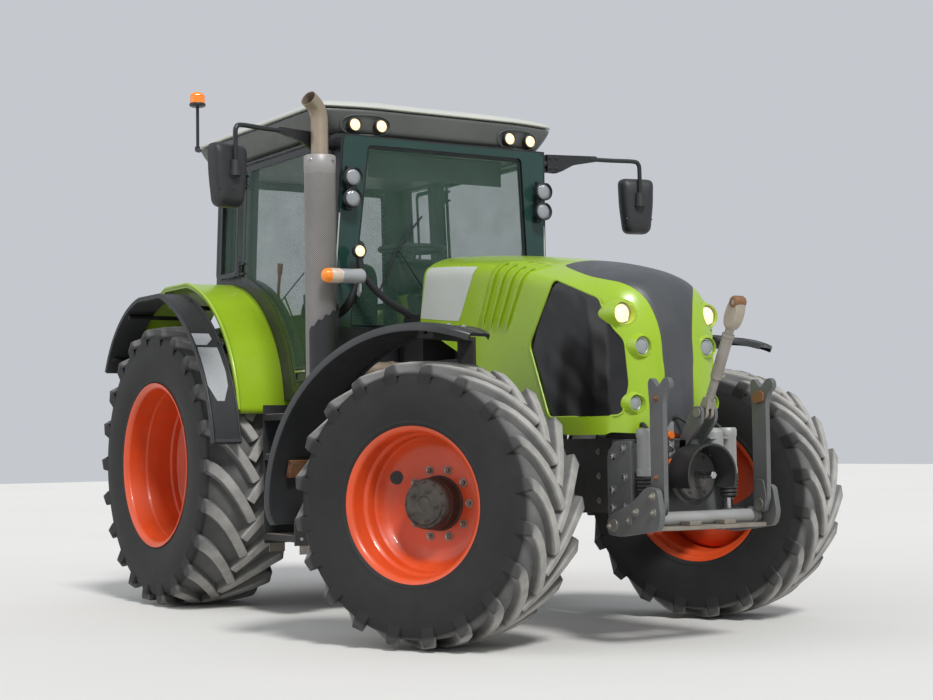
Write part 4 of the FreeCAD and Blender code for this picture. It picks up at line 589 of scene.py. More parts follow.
REAR_RIM = {"outer": [(0.5060, 0.2800), (0.5080, 0.2760), (0.5070, 0.2710), (0.4970, 0.2660),
                      (0.4860, 0.2600), (0.4825, 0.2500), (0.4825, -0.2500), (0.4860, -0.2600),
                      (0.4970, -0.2660), (0.5070, -0.2710), (0.5080, -0.2760), (0.5060, -0.2800),
                      (0.4970, -0.2780), (0.4830, -0.2690), (0.4725, -0.2560), (0.4710, -0.2080),
                      (0.4530, -0.1960), (0.4440, -0.1500), (0.4440, -0.0300), (0.4530, -0.0180),
                      (0.4535, 0.0700), (0.4580, 0.0820), (0.4600, 0.1280), (0.4640, 0.1390),
                      (0.4700, 0.1500), (0.4705, 0.2480), (0.4740, 0.2600), (0.4830, 0.2690),
                      (0.4970, 0.2780)], "edge": (0.446, -0.060), "disc": [(0.436, -0.066), (0.420, -0.086),
                                                                           (0.398, -0.104), (0.360, -0.114),
                                                                           (0.300, -0.120),
                                                                           (0.240, -0.120)], "at": -0.120,
            "hub": 0.150, "stud_r": 0.2000, "hole_r": 0.375, "hole_y": -0.1095, "hole_angle": 20.0,
            "hole_lean": 14.0,}


def front_corner(side):
    """Place of a kingpin at wheel height, steered as at rest."""
    place = Matrix.Translation((AXLE + WHEELBASE, side * KINGPIN, FRONT_RADIUS))
    return place @ Matrix.Rotation(STEERED, 4, "Z")


def make_wheels():
    """Tyre, rim and hub at each corner."""
    rubber_front = tyre_rubber("front_tyre_rubber", FRONT_RADIUS, FRONT_HALF)
    rubber_rear = tyre_rubber("rear_tyre_rubber", REAR_RADIUS, REAR_HALF)
    for side, sign in SIDES:
        front = front_corner(sign) @ Matrix.Translation((0, sign * 0.300, 0))
        body = "wheel_front_" + side
        make_tyre("front_tyre_" + side, body, front, 0.6845, FRONT_HALF, 0.356, 20, 0.044, 0.50,
                  "tyre_front_" + side, rubber_front)
        make_rim("front_rim_" + side, body, front, sign, FRONT_RIM, 10, "rim_front_" + side, 2)
        make_hub("front_hub_" + side, body, front, sign, 0.122, -0.020, 0.119, 5)
        rear = Matrix.Translation((AXLE, sign * 0.941, REAR_RADIUS))
        body = "wheel_rear_" + side
        make_tyre("rear_tyre_" + side, body, rear, 0.8645, REAR_HALF, 0.483, 22, 0.050, 0.40,
                  "tyre_rear_" + side, rubber_rear)
        make_rim("rear_rim_" + side, body, rear, sign, REAR_RIM, 10, "rim_rear_" + side, 4)
        make_hub("rear_hub_" + side, body, rear, sign, 0.138, -0.120, -0.060, 6)


make_wheels()


# Hood
HOOD_LINE = [(1.78, 2.034), (2.21, 2.000), (2.645, 1.951), (3.00, 1.897), (3.25, 1.850), (3.40, 1.811),
             (3.50, 1.757), (3.560, 1.672), (3.592, 1.565), (3.606, 1.47), (3.615, 1.36), (3.618, 1.23),
             (3.616, 1.10), (3.608, 1.003)]
CREASE_DROP = [(1.8, 0.072), (2.21, 0.056), (2.566, 0.050), (2.93, 0.078), (3.25, 0.104), (3.45, 0.125),
               (3.6, 0.14)]
SETBACK = [(0.0, 0.0), (0.124, 0.012), (0.205, 0.034), (0.26, 0.062), (0.30, 0.098), (0.33, 0.14),
           (0.352, 0.24), (0.378, 0.6), (0.380, 0.8)]
MESH_LINE = [(3.088, 1.782), (3.424, 1.662), (3.446, 1.605), (3.492, 1.520), (3.538, 1.452), (3.556, 1.237),
             (3.530, 1.092), (3.050, 1.092), (2.892, 1.463)]
CREASE = 0.338
DECK_HALF = 0.34
HEADLAMPS = (("upper", 3.512, 0.264, 1.583, 0.050), ("middle", 3.578, 0.200, 1.423, 0.043),
             ("lower", 3.560, 0.232, 1.150, 0.037))


def along(table, value):
    """A value between the rows of a table."""
    if value <= table[0][0]:
        return table[0][1]
    for (a, low), (b, high) in zip(table, table[1:]):
        if value <= b:
            return low + (high - low) * (value - a) / (b - a)
    return table[-1][1]


HOOD_PATH = curve(HOOD_LINE, 3)
NOSE_X = [(p.y, p.x) for p in curve(HOOD_LINE, 8)[::-1]]
BACK_Y = [(b, a) for a, b in SETBACK]


def hood_top(x, y):
    """Height of the hood's deck."""
    line = [(a, b) for a, b in HOOD_LINE[:7]]
    return along(line, x) - along(CREASE_DROP, x) * (abs(y) / DECK_HALF) ** 2.2


def hood_side(x, z, out=0.0):
    """A point on the hood's right-hand side wall, pushed out by a little; y is positive."""
    y = along(BACK_Y, along(NOSE_X, z) - x)
    below = hood_top(x, CREASE) - z
    t = max(0.0, min(1.0, below / 0.07))
    y = CREASE + (y - CREASE) * math.sqrt(1 - (1 - t) ** 2) if y > CREASE else y
    return (x, y + out, z)


def hood_front(y, z):
    """How far forward the nose reaches at a place across and up."""
    return along(NOSE_X, z) - along(SETBACK, abs(y))


def hood_station(k):
    """The deck's row of points across the hood at one place of its line."""
    point = HOOD_PATH[k]
    before, after = HOOD_PATH[max(0, k - 1)], HOOD_PATH[min(len(HOOD_PATH) - 1, k + 1)]
    run = (after - before).normalized()
    normal = Vector((-run.y, run.x))
    share = max(0.0, min(1.0, (point.x - 3.15) / 0.40))
    share = share * share * (3 - 2 * share)
    edge = CREASE + (0.325 - CREASE) * share
    rear = max(0.0, 1 - (point.x - 1.78) / 0.5)
    row = []
    for j in range(-10, 11):
        y = edge * j / 10
        drop = along(CREASE_DROP, point.x) * (abs(y) / DECK_HALF) ** 2.2 * (1 - share) + along(SETBACK,
                                                                                               abs(y)) * share
        row.append((point.x - normal.x * drop + 0.11 * rear * (y / DECK_HALF) ** 2, y,
                    point.y - normal.y * drop))
    return row


def hood_shell():
    """Deck, nose and both side walls as one sheet."""
    rows = [hood_station(k) for k in range(len(HOOD_PATH))]
    last = 18
    form = Form()
    form.loft(rows, False, False)
    front = [rows[k][-1] for k in range(last, len(rows))]
    shares = [(front[0][2] - p[2]) / (front[0][2] - front[-1][2]) for p in front]
    columns = []
    for k in range(last + 1):
        top = rows[k][-1]
        if k == last:
            columns.append(front)
            continue
        rear = 1 - k / last
        foot_x = top[0] + (0.07 - 0.13 * rear)
        foot_z = along([(1.80, 1.64), (2.95, 1.15), (3.11, 1.003)], foot_x)
        line = [top]
        for share in shares[1:]:
            x, z = top[0] + (foot_x - top[0]) * share, top[2] + (foot_z - top[2]) * share
            line.append(hood_side(x, z))
        columns.append(line)
    for side in (1, -1):
        form.loft([[(x, side * y, z) for x, y, z in line] for line in columns], False, False)
    return form


def cutter(form):
    """A closed form as an object that cuts another."""
    made = bpy.data.objects.new("cutter", bpy.data.meshes.new("cutter"))
    made.data.from_pydata([tuple(p) for p in form.points], [], form.faces)
    work = bmesh.new()
    work.from_mesh(made.data)
    bmesh.ops.recalc_face_normals(work, faces=work.faces)
    work.to_mesh(made.data)
    work.free()
    bpy.context.scene.collection.objects.link(made)
    return made


def carve(made, forms, wall=0.0, levels=0):
    """Thickens a sheet inward, cuts forms out of it and keeps the result as its mesh."""
    if levels:
        smooth = made.modifiers.new("smooth", "SUBSURF")
        smooth.levels = smooth.render_levels = levels
    if wall:
        thick = made.modifiers.new("wall", "SOLIDIFY")
        thick.thickness = wall
        thick.offset = -1
    tools = [cutter(form) for form in forms]
    for tool in tools:
        cut = made.modifiers.new("cut", "BOOLEAN")
        cut.operation = "DIFFERENCE"
        cut.solver = "EXACT"
        cut.object = tool
    graph = bpy.context.evaluated_depsgraph_get()
    mesh = bpy.data.meshes.new_from_object(made.evaluated_get(graph))
    made.modifiers.clear()
    made.data = mesh
    for tool in tools:
        bpy.data.objects.remove(tool)
    for face in mesh.polygons:
        face.use_smooth = True
    mesh.set_sharp_from_angle(angle=math.radians(38))
    made.modifiers.new("normals", "WEIGHTED_NORMAL").keep_sharp = True


def rows_between(outline, count, columns):
    """Rows of (x, z) points that fill a convex outline, from its foot to its top."""
    low, high = min(p[1] for p in outline), max(p[1] for p in outline)
    rows = []
    for i in range(count + 1):
        z = low + (high - low) * (0.001 + 0.998 * i / count)
        cross = []
        for a, b in zip(outline, outline[1:] + outline[:1]):
            if (a[1] - z) * (b[1] - z) < 0:
                cross.append(a[0] + (b[0] - a[0]) * (z - a[1]) / (b[1] - a[1]))
        left, right = min(cross), max(cross)
        rows.append([(left + (right - left) * j / columns, z) for j in range(columns + 1)])
    return rows


def make_hood():
    """Shell with its openings, side mesh and louvres."""
    opening = rounded(MESH_LINE, 0.030, 5)
    shell = hood_shell()
    made = piece("hood_shell", "hood", shell.moved(Matrix.Translation((AXLE, 0, 0))), LIME, "green_paint",
                 replaces=("hood",))
    cuts = []
    for side in (1, -1):
        cuts.append(Form().prism(shifted(opening), "y", *span(side, 0.235, 0.60)))
        for name, x, y, z, r in HEADLAMPS:
            cuts.append(Form().tube([(AXLE + x - 0.12, side * y, z), (AXLE + x + 0.2, side * y, z)],
                                    r + 0.006, 40))
    carve(made, cuts, 0.008, 1)
    lips, panel, blades = Form(), Form(), Form()
    ring = [Vector(hood_side(x, z, -0.001)) for x, z in opening]
    lips.tube(ring + ring[:2], 0.0055, 8, False)
    fill = [[hood_side(x, z, -0.010 + 0.0016 * math.sin(x * 31 + z * 17) * math.sin(z * 23 + 1))
             for x, z in row] for row in rows_between(opening, 40, 36)]
    panel.loft(fill, False, False)
    # Louvres run up the side, cross the crease and end on the deck
    for number in range(4):
        foot_x, foot_z = 2.434 + 0.073 * number, 1.568 - 0.011 * number
        top_x = 2.600 + 0.079 * number
        path = []
        for i in range(13):
            t = i / 12
            x, z = foot_x + (top_x - foot_x) * t, foot_z + (hood_top(top_x, CREASE) - 0.004 - foot_z) * t
            path.append((x, "side", z, min(1.0, t * 6)))
        for y in (0.325, 0.30, 0.275, 0.25):
            path.append((top_x + (CREASE - y) * 0.9, "deck", y, (y - 0.235) / 0.10))
        rings = []
        for x, kind, value, high in path:
            ring = []
            for across, lift in ((-0.030, -0.004), (-0.030, 0.0005), (0.026, 0.013 * min(1.0, high)),
                                 (0.034, 0.012 * min(1.0, high)), (0.036, -0.004)):
                if kind == "side":
                    point = Vector(hood_side(x + across, value, lift))
                else:
                    point = Vector((x + across, value, hood_top(x + across, value) + lift))
                ring.append(point)
            rings.append(ring)
        blades.loft(rings)
    for form in (lips, panel, blades):
        form.moved(Matrix.Translation((AXLE, 0, 0)))
        form.mirrored()
    piece("hood_lips", "hood", lips, LIME, "green_paint")
    piece("hood_louvres", "hood", blades, LIME, "green_paint", angle=25)
    piece("hood_side_mesh", "hood", panel, MESH, "dark_trim", replaces=("side_grilles",), angle=60)


def make_nose_band():
    """Dark band from the deck's front down the nose, a little proud of the paint."""
    band = []
    for k in range(len(HOOD_PATH)):
        point = HOOD_PATH[k]
        if point.x < 2.96:
            continue
        half = along([(2.96, 0.20), (2.985, 0.226), (3.15, 0.258), (3.295, 0.264), (3.42, 0.245),
                      (3.499, 0.212), (3.543, 0.172), (3.564, 0.146), (3.585, 0.122), (3.599, 0.105),
                      (3.607, 0.095)], point.x if point.y > 1.42 else 3.607)
        if point.y < 1.36:
            half = 0.088
        row = hood_station(k)
        line = []
        for j in range(-8, 9):
            y = half * j / 8
            near = max(0, min(19, int((y / (row[-1][1]) + 1) * 10)))
            a, b = Vector(row[near]), Vector(row[near + 1])
            line.append(a + (b - a) * ((y - a.y) / (b.y - a.y)))
        band.append(line)
    lifted = []
    for i, line in enumerate(band):
        out = []
        for j, point in enumerate(line):
            along_run = band[min(i + 1, len(band) - 1)][j] - band[max(i - 1, 0)][j]
            side_run = line[min(j + 1, len(line) - 1)] - line[max(j - 1, 0)]
            normal = side_run.cross(along_run).normalized()
            if normal.x + normal.z < 0:
                normal = -normal
            edge = 0.0005 if i == 0 or j in (0, len(line) - 1) else 0.0035
            out.append(point + normal * edge)
        lifted.append(out)
    form = Form().loft(lifted, False, False).moved(Matrix.Translation((AXLE, 0, 0)))
    piece("nose_band", "hood", form, BAND, "dark_trim", angle=60, sub=2)


def make_patches():
    """Pale film at the hood's rear, on both sides."""
    patch = Form()
    corners = rounded([(1.905, 1.948), (2.408, 1.912), (2.235, 1.628), (1.832, 1.668)], 0.012, 3)
    patch.loft([[hood_side(x, z, 0.0012) for x, z in row] for row in rows_between(corners, 16, 12)], False,
               False)
    patch.moved(Matrix.Translation((AXLE, 0, 0))).mirrored()
    piece("hood_patches", "hood", patch, PALE, "green_paint", angle=60)


def make_headlamps():
    """Three round lamps on each side of the nose, each in a lipped pocket."""
    for name, x, y, z, r in HEADLAMPS:
        pocket, rim, lens = Form(), Form(), Form()
        rings = []
        # Rings from the paint over the lip and down to the lens
        for out, kind, drop in ((0.022, "paint", -0.003), (0.014, "slope", -0.010), (0.007, "lip", 0.0),
                                (0.004, "lip", 0.0), (0.002, "lip", -0.006), (0.0005, "lens", -0.012)):
            ring = []
            for a in turns(40):
                dy, dz = math.cos(a), math.sin(a)
                front = hood_front(y + (r + out) * dy, z + (r + out) * dz)
                edge = max(hood_front(y + (r + 0.006) * dy, z + (r + 0.006) * dz), x + 0.014) + 0.002
                at = {"paint": min(front, edge) + drop, "lip": edge + drop, "lens": x + drop,
                      "slope": min(front, edge) * 0.35 + edge * 0.65 + drop * 0.3}[kind]
                ring.append((AXLE + at, y + (r + out) * dy, z + (r + out) * dz))
            rings.append(ring)
        pocket.loft(rings, True, False)
        pocket.mirrored()
        piece("headlamp_pocket_" + name, "hood", pocket, LIME, "green_paint", angle=40)
        for side in (1, -1):
            rim.turned([(r + 0.001, -0.012), (r + 0.001, -0.002), (r - 0.002, 0.001), (r - 0.006, -0.001),
                        (r - 0.007, -0.006)], (AXLE + x, side * y, z), "x", 40)
            lens.turned([(r - 0.005, -0.005), (r * 0.8, 0.001), (r * 0.5, 0.0055), (r * 0.2, 0.0080),
                         (TIP, 0.0085)], (AXLE + x, side * y, z), "x", 40)
        piece("headlamp_rims_" + name, "hood", rim, STEEL, "bare_steel")
        piece("headlamp_lens_" + name, "hood", lens, WARM if name == "upper" else CLEAR, "lamp_lens",
              replaces=("headlamps",) if name == "upper" else ())


def mesh_material():
    """Glossy black sheet with fine holes."""
    shade = Shade("side_mesh")
    x, z = (shade.split()[k] for k in "XZ")
    holes = shade.math("MULTIPLY", shade.math("SINE", shade.math("MULTIPLY", x, 900.0)),
                       shade.math("SINE", shade.math("MULTIPLY", z, 900.0)))
    shade.colour(shade.mix(shade.spread(shade.noise(5.0, 5.0), 0.3, 0.7), (0.006, 0.006, 0.007),
                           (0.014, 0.013, 0.013)))
    shade.rough(shade.spread(shade.noise(3.0, 3.0), 0.3, 0.7, 0.10, 0.22))
    shade.bump(holes, 0.12, 0.0008)
    shade.bump(shade.noise(3.2, 2.0, 0.5, (1.0, 1.0, 0.35)), 0.5, 0.02)
    return shade.material


MESH = mesh_material()
make_hood()
make_nose_band()
make_patches()
make_headlamps()


# Cab
LEAN = math.atan(60 / 1505)
FRONT_LEAN = math.radians(3.5)
FRONT_SLOPE = math.tan(FRONT_LEAN)
SILL = 1.240


def cab_side(x, up, out=0.0, side=1):
    """A point on the plane of a cab side, up its slope from the sill and out from its face."""
    return (x + AXLE, side * (0.790 - up * math.sin(LEAN) + out * math.cos(LEAN)),
            SILL + up * math.cos(LEAN) + out * math.sin(LEAN))


def sagged(start, end, sagitta, steps):
    """An arc between two points, bulging left of travel."""
    start, end = Vector(start), Vector(end)
    chord = end - start
    left = Vector((-chord.y, chord.x)).normalized()
    radius = (chord.length ** 2 / 4 + sagitta ** 2) / (2 * abs(sagitta))
    sign = 1 if sagitta > 0 else -1
    centre = (start + end) / 2 - left * sign * (radius - abs(sagitta))
    first = math.atan2(start.y - centre.y, start.x - centre.x)
    half = math.asin(min(1.0, chord.length / 2 / radius))
    return [(centre.x + radius * math.cos(first - sign * 2 * half * k / steps),
             centre.y + radius * math.sin(first - sign * 2 * half * k / steps)) for k in range(steps + 1)]


def shrunk(outline, amount):
    """An outline moved inward; it runs anticlockwise."""
    out = []
    for i in range(len(outline)):
        before, here, after = (Vector(outline[(i + k) % len(outline)]) for k in (-1, 0, 1))
        a, b = (here - before).normalized(), (after - here).normalized()
        normal = Vector((-a.y - b.y, a.x + b.x))
        normal = normal.normalized() / max(0.5, math.sqrt(max(0.01, (1 + a.dot(b)) / 2)))
        out.append(tuple(here + normal * amount))
    return out


def ribbon(form, outer, inner, place, low, high):
    """A flat frame between two outlines, from one height above the face to another."""
    rings = []
    for line, height in ((outer, low), (outer, high), (inner, high), (inner, low)):
        rings.append([place(u, v, height) for u, v in line])
    closed = [ring + [ring[0]] for ring in rings + [rings[0]]]
    return form.loft(closed, False, False)


def door_outline():
    """A door's edge as points along and up its side."""
    back, front, foot, top = 0.314, 1.326, 0.044, 1.468
    low = sagged((back, 0.754), (1.059, foot), 0.150, 18)
    return low + [(front + foot * FRONT_SLOPE, foot), (front + top * FRONT_SLOPE, top), (back, top)]


QUARTER = [(-0.070, 0.795), (0.240, 0.795), (0.240, 1.452), (-0.070, 1.452)]


def make_cab_trim():
    """Borders, hinges, handles and bars of the doors, and the quarter windows' trim."""
    for name, side in SIDES:
        body = "door_" + name
        outline = rounded(door_outline(), 0.03, 3)
        border, seal, hinges, handle = Form(), Form(), Form(), Form()

        def place(along_side, up, out):
            return cab_side(along_side, up, out, side)

        ribbon(border, outline, shrunk(outline, 0.034), place, 0.0006, 0.0022)
        ribbon(border, outline, shrunk(outline, 0.030), place, -0.0262, -0.0246)
        piece("door_border_" + name, body, border, BORDER, "cab_black", angle=50)
        for up in (0.83, 1.38):
            hinges.tube([cab_side(0.300, up - 0.045, 0.016, side), cab_side(0.300, up + 0.045, 0.016,
                                                                            side)], 0.011, 16)
            for foot in (-0.030, 0.030):
                hinges.tube([cab_side(0.300, up + foot, 0.014, side), cab_side(0.360, up + foot, 0.006,
                                                                               side)], 0.008, 10)
        piece("door_hinges_" + name, body, hinges, FRAME, "cab_black")
        plate = rounded([(1.10, 0.10), (1.245, 0.10), (1.245, 0.185), (1.10, 0.185)], 0.02, 4)
        ribbon(handle, plate, shrunk(plate, 0.014), place, 0.002, 0.014)
        handle.loft([[cab_side(u, v, out, side) for u, v in line] for line, out in ((shrunk(plate, 0.012),
                                                                                     0.003),
                                                                                    (shrunk(plate, 0.014),
                                                                                     0.007))])
        piece("door_handle_" + name, body, handle, FRAME, "cab_black", 0.0015)
        bar = Form().tube([cab_side(u, v, out, side) for u, v, out in ((1.118, 0.158, 0.008),
                                                                       (1.125, 0.158, 0.018),
                                                                       (1.220, 0.158, 0.020),
                                                                       (1.228, 0.158, 0.008))], 0.0085, 12)
        grip = curve([cab_side(u, v, out, side) for u, v, out in ((1.300, 0.30, -0.03),
                                                                  (1.292, 0.34, -0.075),
                                                                  (1.300, 0.60, -0.085),
                                                                  (1.330, 1.00, -0.080),
                                                                  (1.345, 1.06, -0.03))], 6)
        bar.tube(grip, 0.011, 12)
        piece("door_bars_" + name, body, bar, STEEL, "bare_steel")
        # Quarter window's border and the gutter over the door
        fixed = Form()
        ribbon(fixed, rounded(QUARTER, 0.04, 4), rounded(shrunk(QUARTER, 0.028), 0.03, 4), place, 0.0006,
               0.0030)
        line = [cab_side(-0.12, 1.487, 0.004, side), cab_side(0.5, 1.487, 0.004, side),
                cab_side(1.44, 1.487, 0.004, side)]
        fixed.tube(line, 0.009, 8)
        piece("side_trim_" + name, "chassis", fixed, BORDER, "cab_black", angle=50)


def front(y, up, out):
    """A point across, up and out from the windscreen's plane."""
    rise, run = math.cos(FRONT_LEAN), math.sin(FRONT_LEAN)
    return (AXLE + 1.380 + up * run + (0.040 + out) * rise, y, SILL + up * rise - (0.040 + out) * run)


def make_screen():
    """Windscreen border, dark wings on the posts, pale strips of painted highlight along the wings' outer
    edges, and wiper.
    """
    screen = Form()
    outline = rounded([(-0.628, 0.402), (0.628, 0.402), (0.530, 1.449), (-0.530, 1.449)], 0.03, 4)
    ribbon(screen, outline, shrunk(outline, 0.016), front, 0.0005, 0.0025)
    piece("screen_border", "chassis", screen, BORDER, "cab_black", angle=50)
    wings = Form()
    outer = rounded([(-0.735, 0.405), (0.735, 0.405), (0.685, 1.492), (-0.685, 1.492)], 0.03, 4)
    ribbon(wings, outer, outline, front, 0.0105, 0.0135)
    piece("screen_wings", "chassis", wings, WING_GLASS, "clear_glass", angle=50)
    # Pale strips along the wings' outer edges are a painted highlight, drawn as thin pale bars
    highlight_strips = Form()
    for side in (1, -1):
        highlight_strips.tube([front(side * 0.737, 0.405, 0.012), front(side * 0.705, 1.05, 0.012)], 0.0045, 8)
    piece("screen_strips", "chassis", highlight_strips, PALE, "clear_glass")
    # Wiper with its arm, parked low on the windscreen, and its spindle
    wiper = Form()
    arm = [front(y, up, out) for y, up, out in ((0.02, 0.36, 0.012), (0.00, 0.44, 0.030),
                                                (-0.20, 0.70, 0.030), (-0.32, 0.86, 0.018))]
    wiper.tube(arm, [0.010, 0.007, 0.005, 0.004], 8)
    blade = [front(y, up, 0.010) for y, up in ((-0.16, 1.06), (-0.32, 0.86), (-0.44, 0.60))]
    wiper.tube(curve(blade, 5), 0.006, 8)
    wiper.tube([front(0.02, 0.36, -0.01), front(0.02, 0.36, 0.022)], 0.016, 16)
    piece("wiper", "chassis", wiper, FRAME, "cab_black")


def back(y, z, out):
    """A point across, up and out from the rear window's plane."""
    return (AXLE - 0.155 - out, y, z)


def make_rear_window():
    """Border, wiper and stay of the rear window."""
    rear = Form()
    outline = rounded([(-0.548, 1.640), (0.548, 1.640), (0.538, 2.685), (-0.538, 2.685)], 0.05, 4)
    ribbon(rear, outline, shrunk(outline, 0.030), back, 0.0005, 0.004)
    rear.tube([(AXLE - 0.165, -0.10, 1.66), (AXLE - 0.175, -0.22, 1.95)], 0.006, 8)
    rear.tube([(AXLE - 0.168, -0.36, 1.80), (AXLE - 0.168, -0.08, 2.12)], 0.005, 8)
    piece("rear_window_trim", "chassis", rear, BORDER, "cab_black", angle=50)


# Roof: height, back, front and half width of its sections
ROOF_RINGS = [(2.896, -0.216, 1.512, 0.808), (2.896, -0.227, 1.527, 0.822), (2.901, -0.230, 1.530, 0.825),
              (2.915, -0.227, 1.522, 0.820), (2.928, -0.214, 1.497, 0.803), (2.946, -0.180, 1.450, 0.760),
              (2.962, -0.120, 1.375, 0.685), (2.9715, -0.040, 1.270, 0.590), (2.9745, 0.120, 1.080, 0.430)]
UNDER_RINGS = [(2.899, -0.225, 1.524, 0.820), (2.885, -0.225, 1.523, 0.819), (2.850, -0.219, 1.515, 0.806),
               (2.800, -0.205, 1.503, 0.770), (2.756, -0.190, 1.494, 0.734), (2.747, -0.172, 1.474, 0.714),
               (2.746, -0.10, 1.40, 0.65)]


def roof_outline(back, front, half):
    """Plan of one roof section, its front corners cut off."""
    line = [(back, -half), (front - 0.064, -half), (front, -0.62 * half), (front, 0.0),
            (front, 0.62 * half), (front - 0.064, half), (back, half), (back, 0.0)]
    return rounded(line, 0.085, 6)


def make_roof():
    """White cap with its ribs over a dark underside."""
    for name, rings, material, slot, keep in (("roof_shell", ROOF_RINGS, ROOF, "roof_grey", ("cab_roof",)),
                                              ("roof_underside", UNDER_RINGS, UNDER, "dark_trim", ())):
        form = Form()
        form.loft([[(AXLE + x, y, z) for x, y in roof_outline(back, front, half)]
                   for z, back, front, half in rings])
        piece(name, "chassis", form, material, slot, 0.0, keep, 40, sub=1)
    hatch = Form()
    for k, y in enumerate((-0.36, -0.12, 0.12, 0.36)):
        line = rounded([(0.22, y - 0.085), (1.06, y - 0.085), (1.06, y + 0.085), (0.22, y + 0.085)], 0.03, 3)
        hatch.loft([[(AXLE + x, v, z) for x, v in outline] for outline, z in ((line, 2.968), (line, 2.9742),
                                                                              (shrunk(line, 0.008), 2.9749))])
    piece("roof_ribs", "chassis", hatch, ROOF, "roof_grey", angle=50)


def lamp(prefix, x, y, z, r, depth, lit, body="chassis", replaces=(), visor=0.0):
    """Round work lamp that faces forward: housing, rim and lens."""
    housing = Form().turned([(TIP, -depth), (r * 0.55, -depth), (r * 0.86, -depth * 0.72),
                             (r * 0.98, -depth * 0.34), (r, -0.012), (r, 0.0), (r - 0.004, 0.003),
                             (r - 0.008, 0.001), (r - 0.009, -0.008)], (AXLE + x, y, z), "x", 40)
    if visor:
        housing.turned([(r + 0.0005, -0.02), (r + 0.0005, visor), (r - 0.002, visor + 0.001),
                        (r - 0.003, -0.004)], (AXLE + x, y, z), "x", 24, False, -75, 150)
    piece(prefix + "_housing", body, housing, TRIM, "dark_trim", replaces=replaces)
    lens = Form().turned([(r - 0.008, -0.006), (r * 0.72, 0.0), (r * 0.4, 0.004), (TIP, 0.0055)],
                         (AXLE + x, y, z), "x", 40)
    piece(prefix + "_lens", body, lens, WARM if lit else CLEAR, "lamp_lens")
    if not lit:
        bowl = Form().turned([(r * 0.86, -0.004), (r * 0.60, -0.022), (r * 0.30, -0.030), (TIP, -0.030)],
                             (AXLE + x, y, z), "x", 32)
        bowl.turned([(0.010, -0.03), (0.012, -0.012), (0.008, -0.004), (TIP, -0.003)], (AXLE + x, y, z),
                    "x", 16)
        piece(prefix + "_bowl", body, bowl, STEEL, "bare_steel")


def make_lamps():
    """Work lamps under the roof's front edge and on the front posts."""
    for name, side in SIDES:
        for spot, x, y, z in (("inner", 1.534, 0.443, 2.795), ("outer", 1.514, 0.605, 2.795)):
            kept = ("work_lamps",) if (side, spot) == (1, "inner") else ()
            lamp("roof_lamp_%s_%s" % (spot, name), x, side * y, z, 0.042, 0.07, True, replaces=kept)
        lip = Form()
        ring = []
        for t in turns(48):
            y = 0.524 + 0.150 * math.copysign(abs(math.cos(t)) ** 0.7, math.cos(t))
            z = 2.799 + 0.056 * math.copysign(abs(math.sin(t)) ** 0.8, math.sin(t))
            bow = max(0.0, y - 0.49) / 0.3 * 0.064
            ring.append((AXLE + 1.503 + (z - 2.80) * 0.24 - bow + 0.004, side * y, z))
        lip.tube(ring + ring[:2], 0.006, 8, False)
        piece("roof_lamp_lip_" + name, "chassis", lip, UNDER, "dark_trim")
        for spot, z, x in (("upper", 2.483, 1.578), ("lower", 2.363, 1.571)):
            lamp("post_lamp_%s_%s" % (spot, name), x, side * 0.655, z, 0.054, 0.056, False, visor=0.010)
        bracket = Form().tube([(AXLE + 1.515, side * 0.655, 2.30), (AXLE + 1.520, side * 0.655, 2.55)],
                              0.020, 12)
        bracket.box((AXLE + 1.46, side * 0.655 - 0.035, 2.33), (AXLE + 1.515, side * 0.655 + 0.035, 2.36))
        bracket.box((AXLE + 1.47, side * 0.655 - 0.035, 2.50), (AXLE + 1.52, side * 0.655 + 0.035, 2.53))
        piece("post_lamp_bracket_" + name, "chassis", bracket, FRAME, "cab_black", 0.004)


MIRROR_TURN = math.radians(12.8)


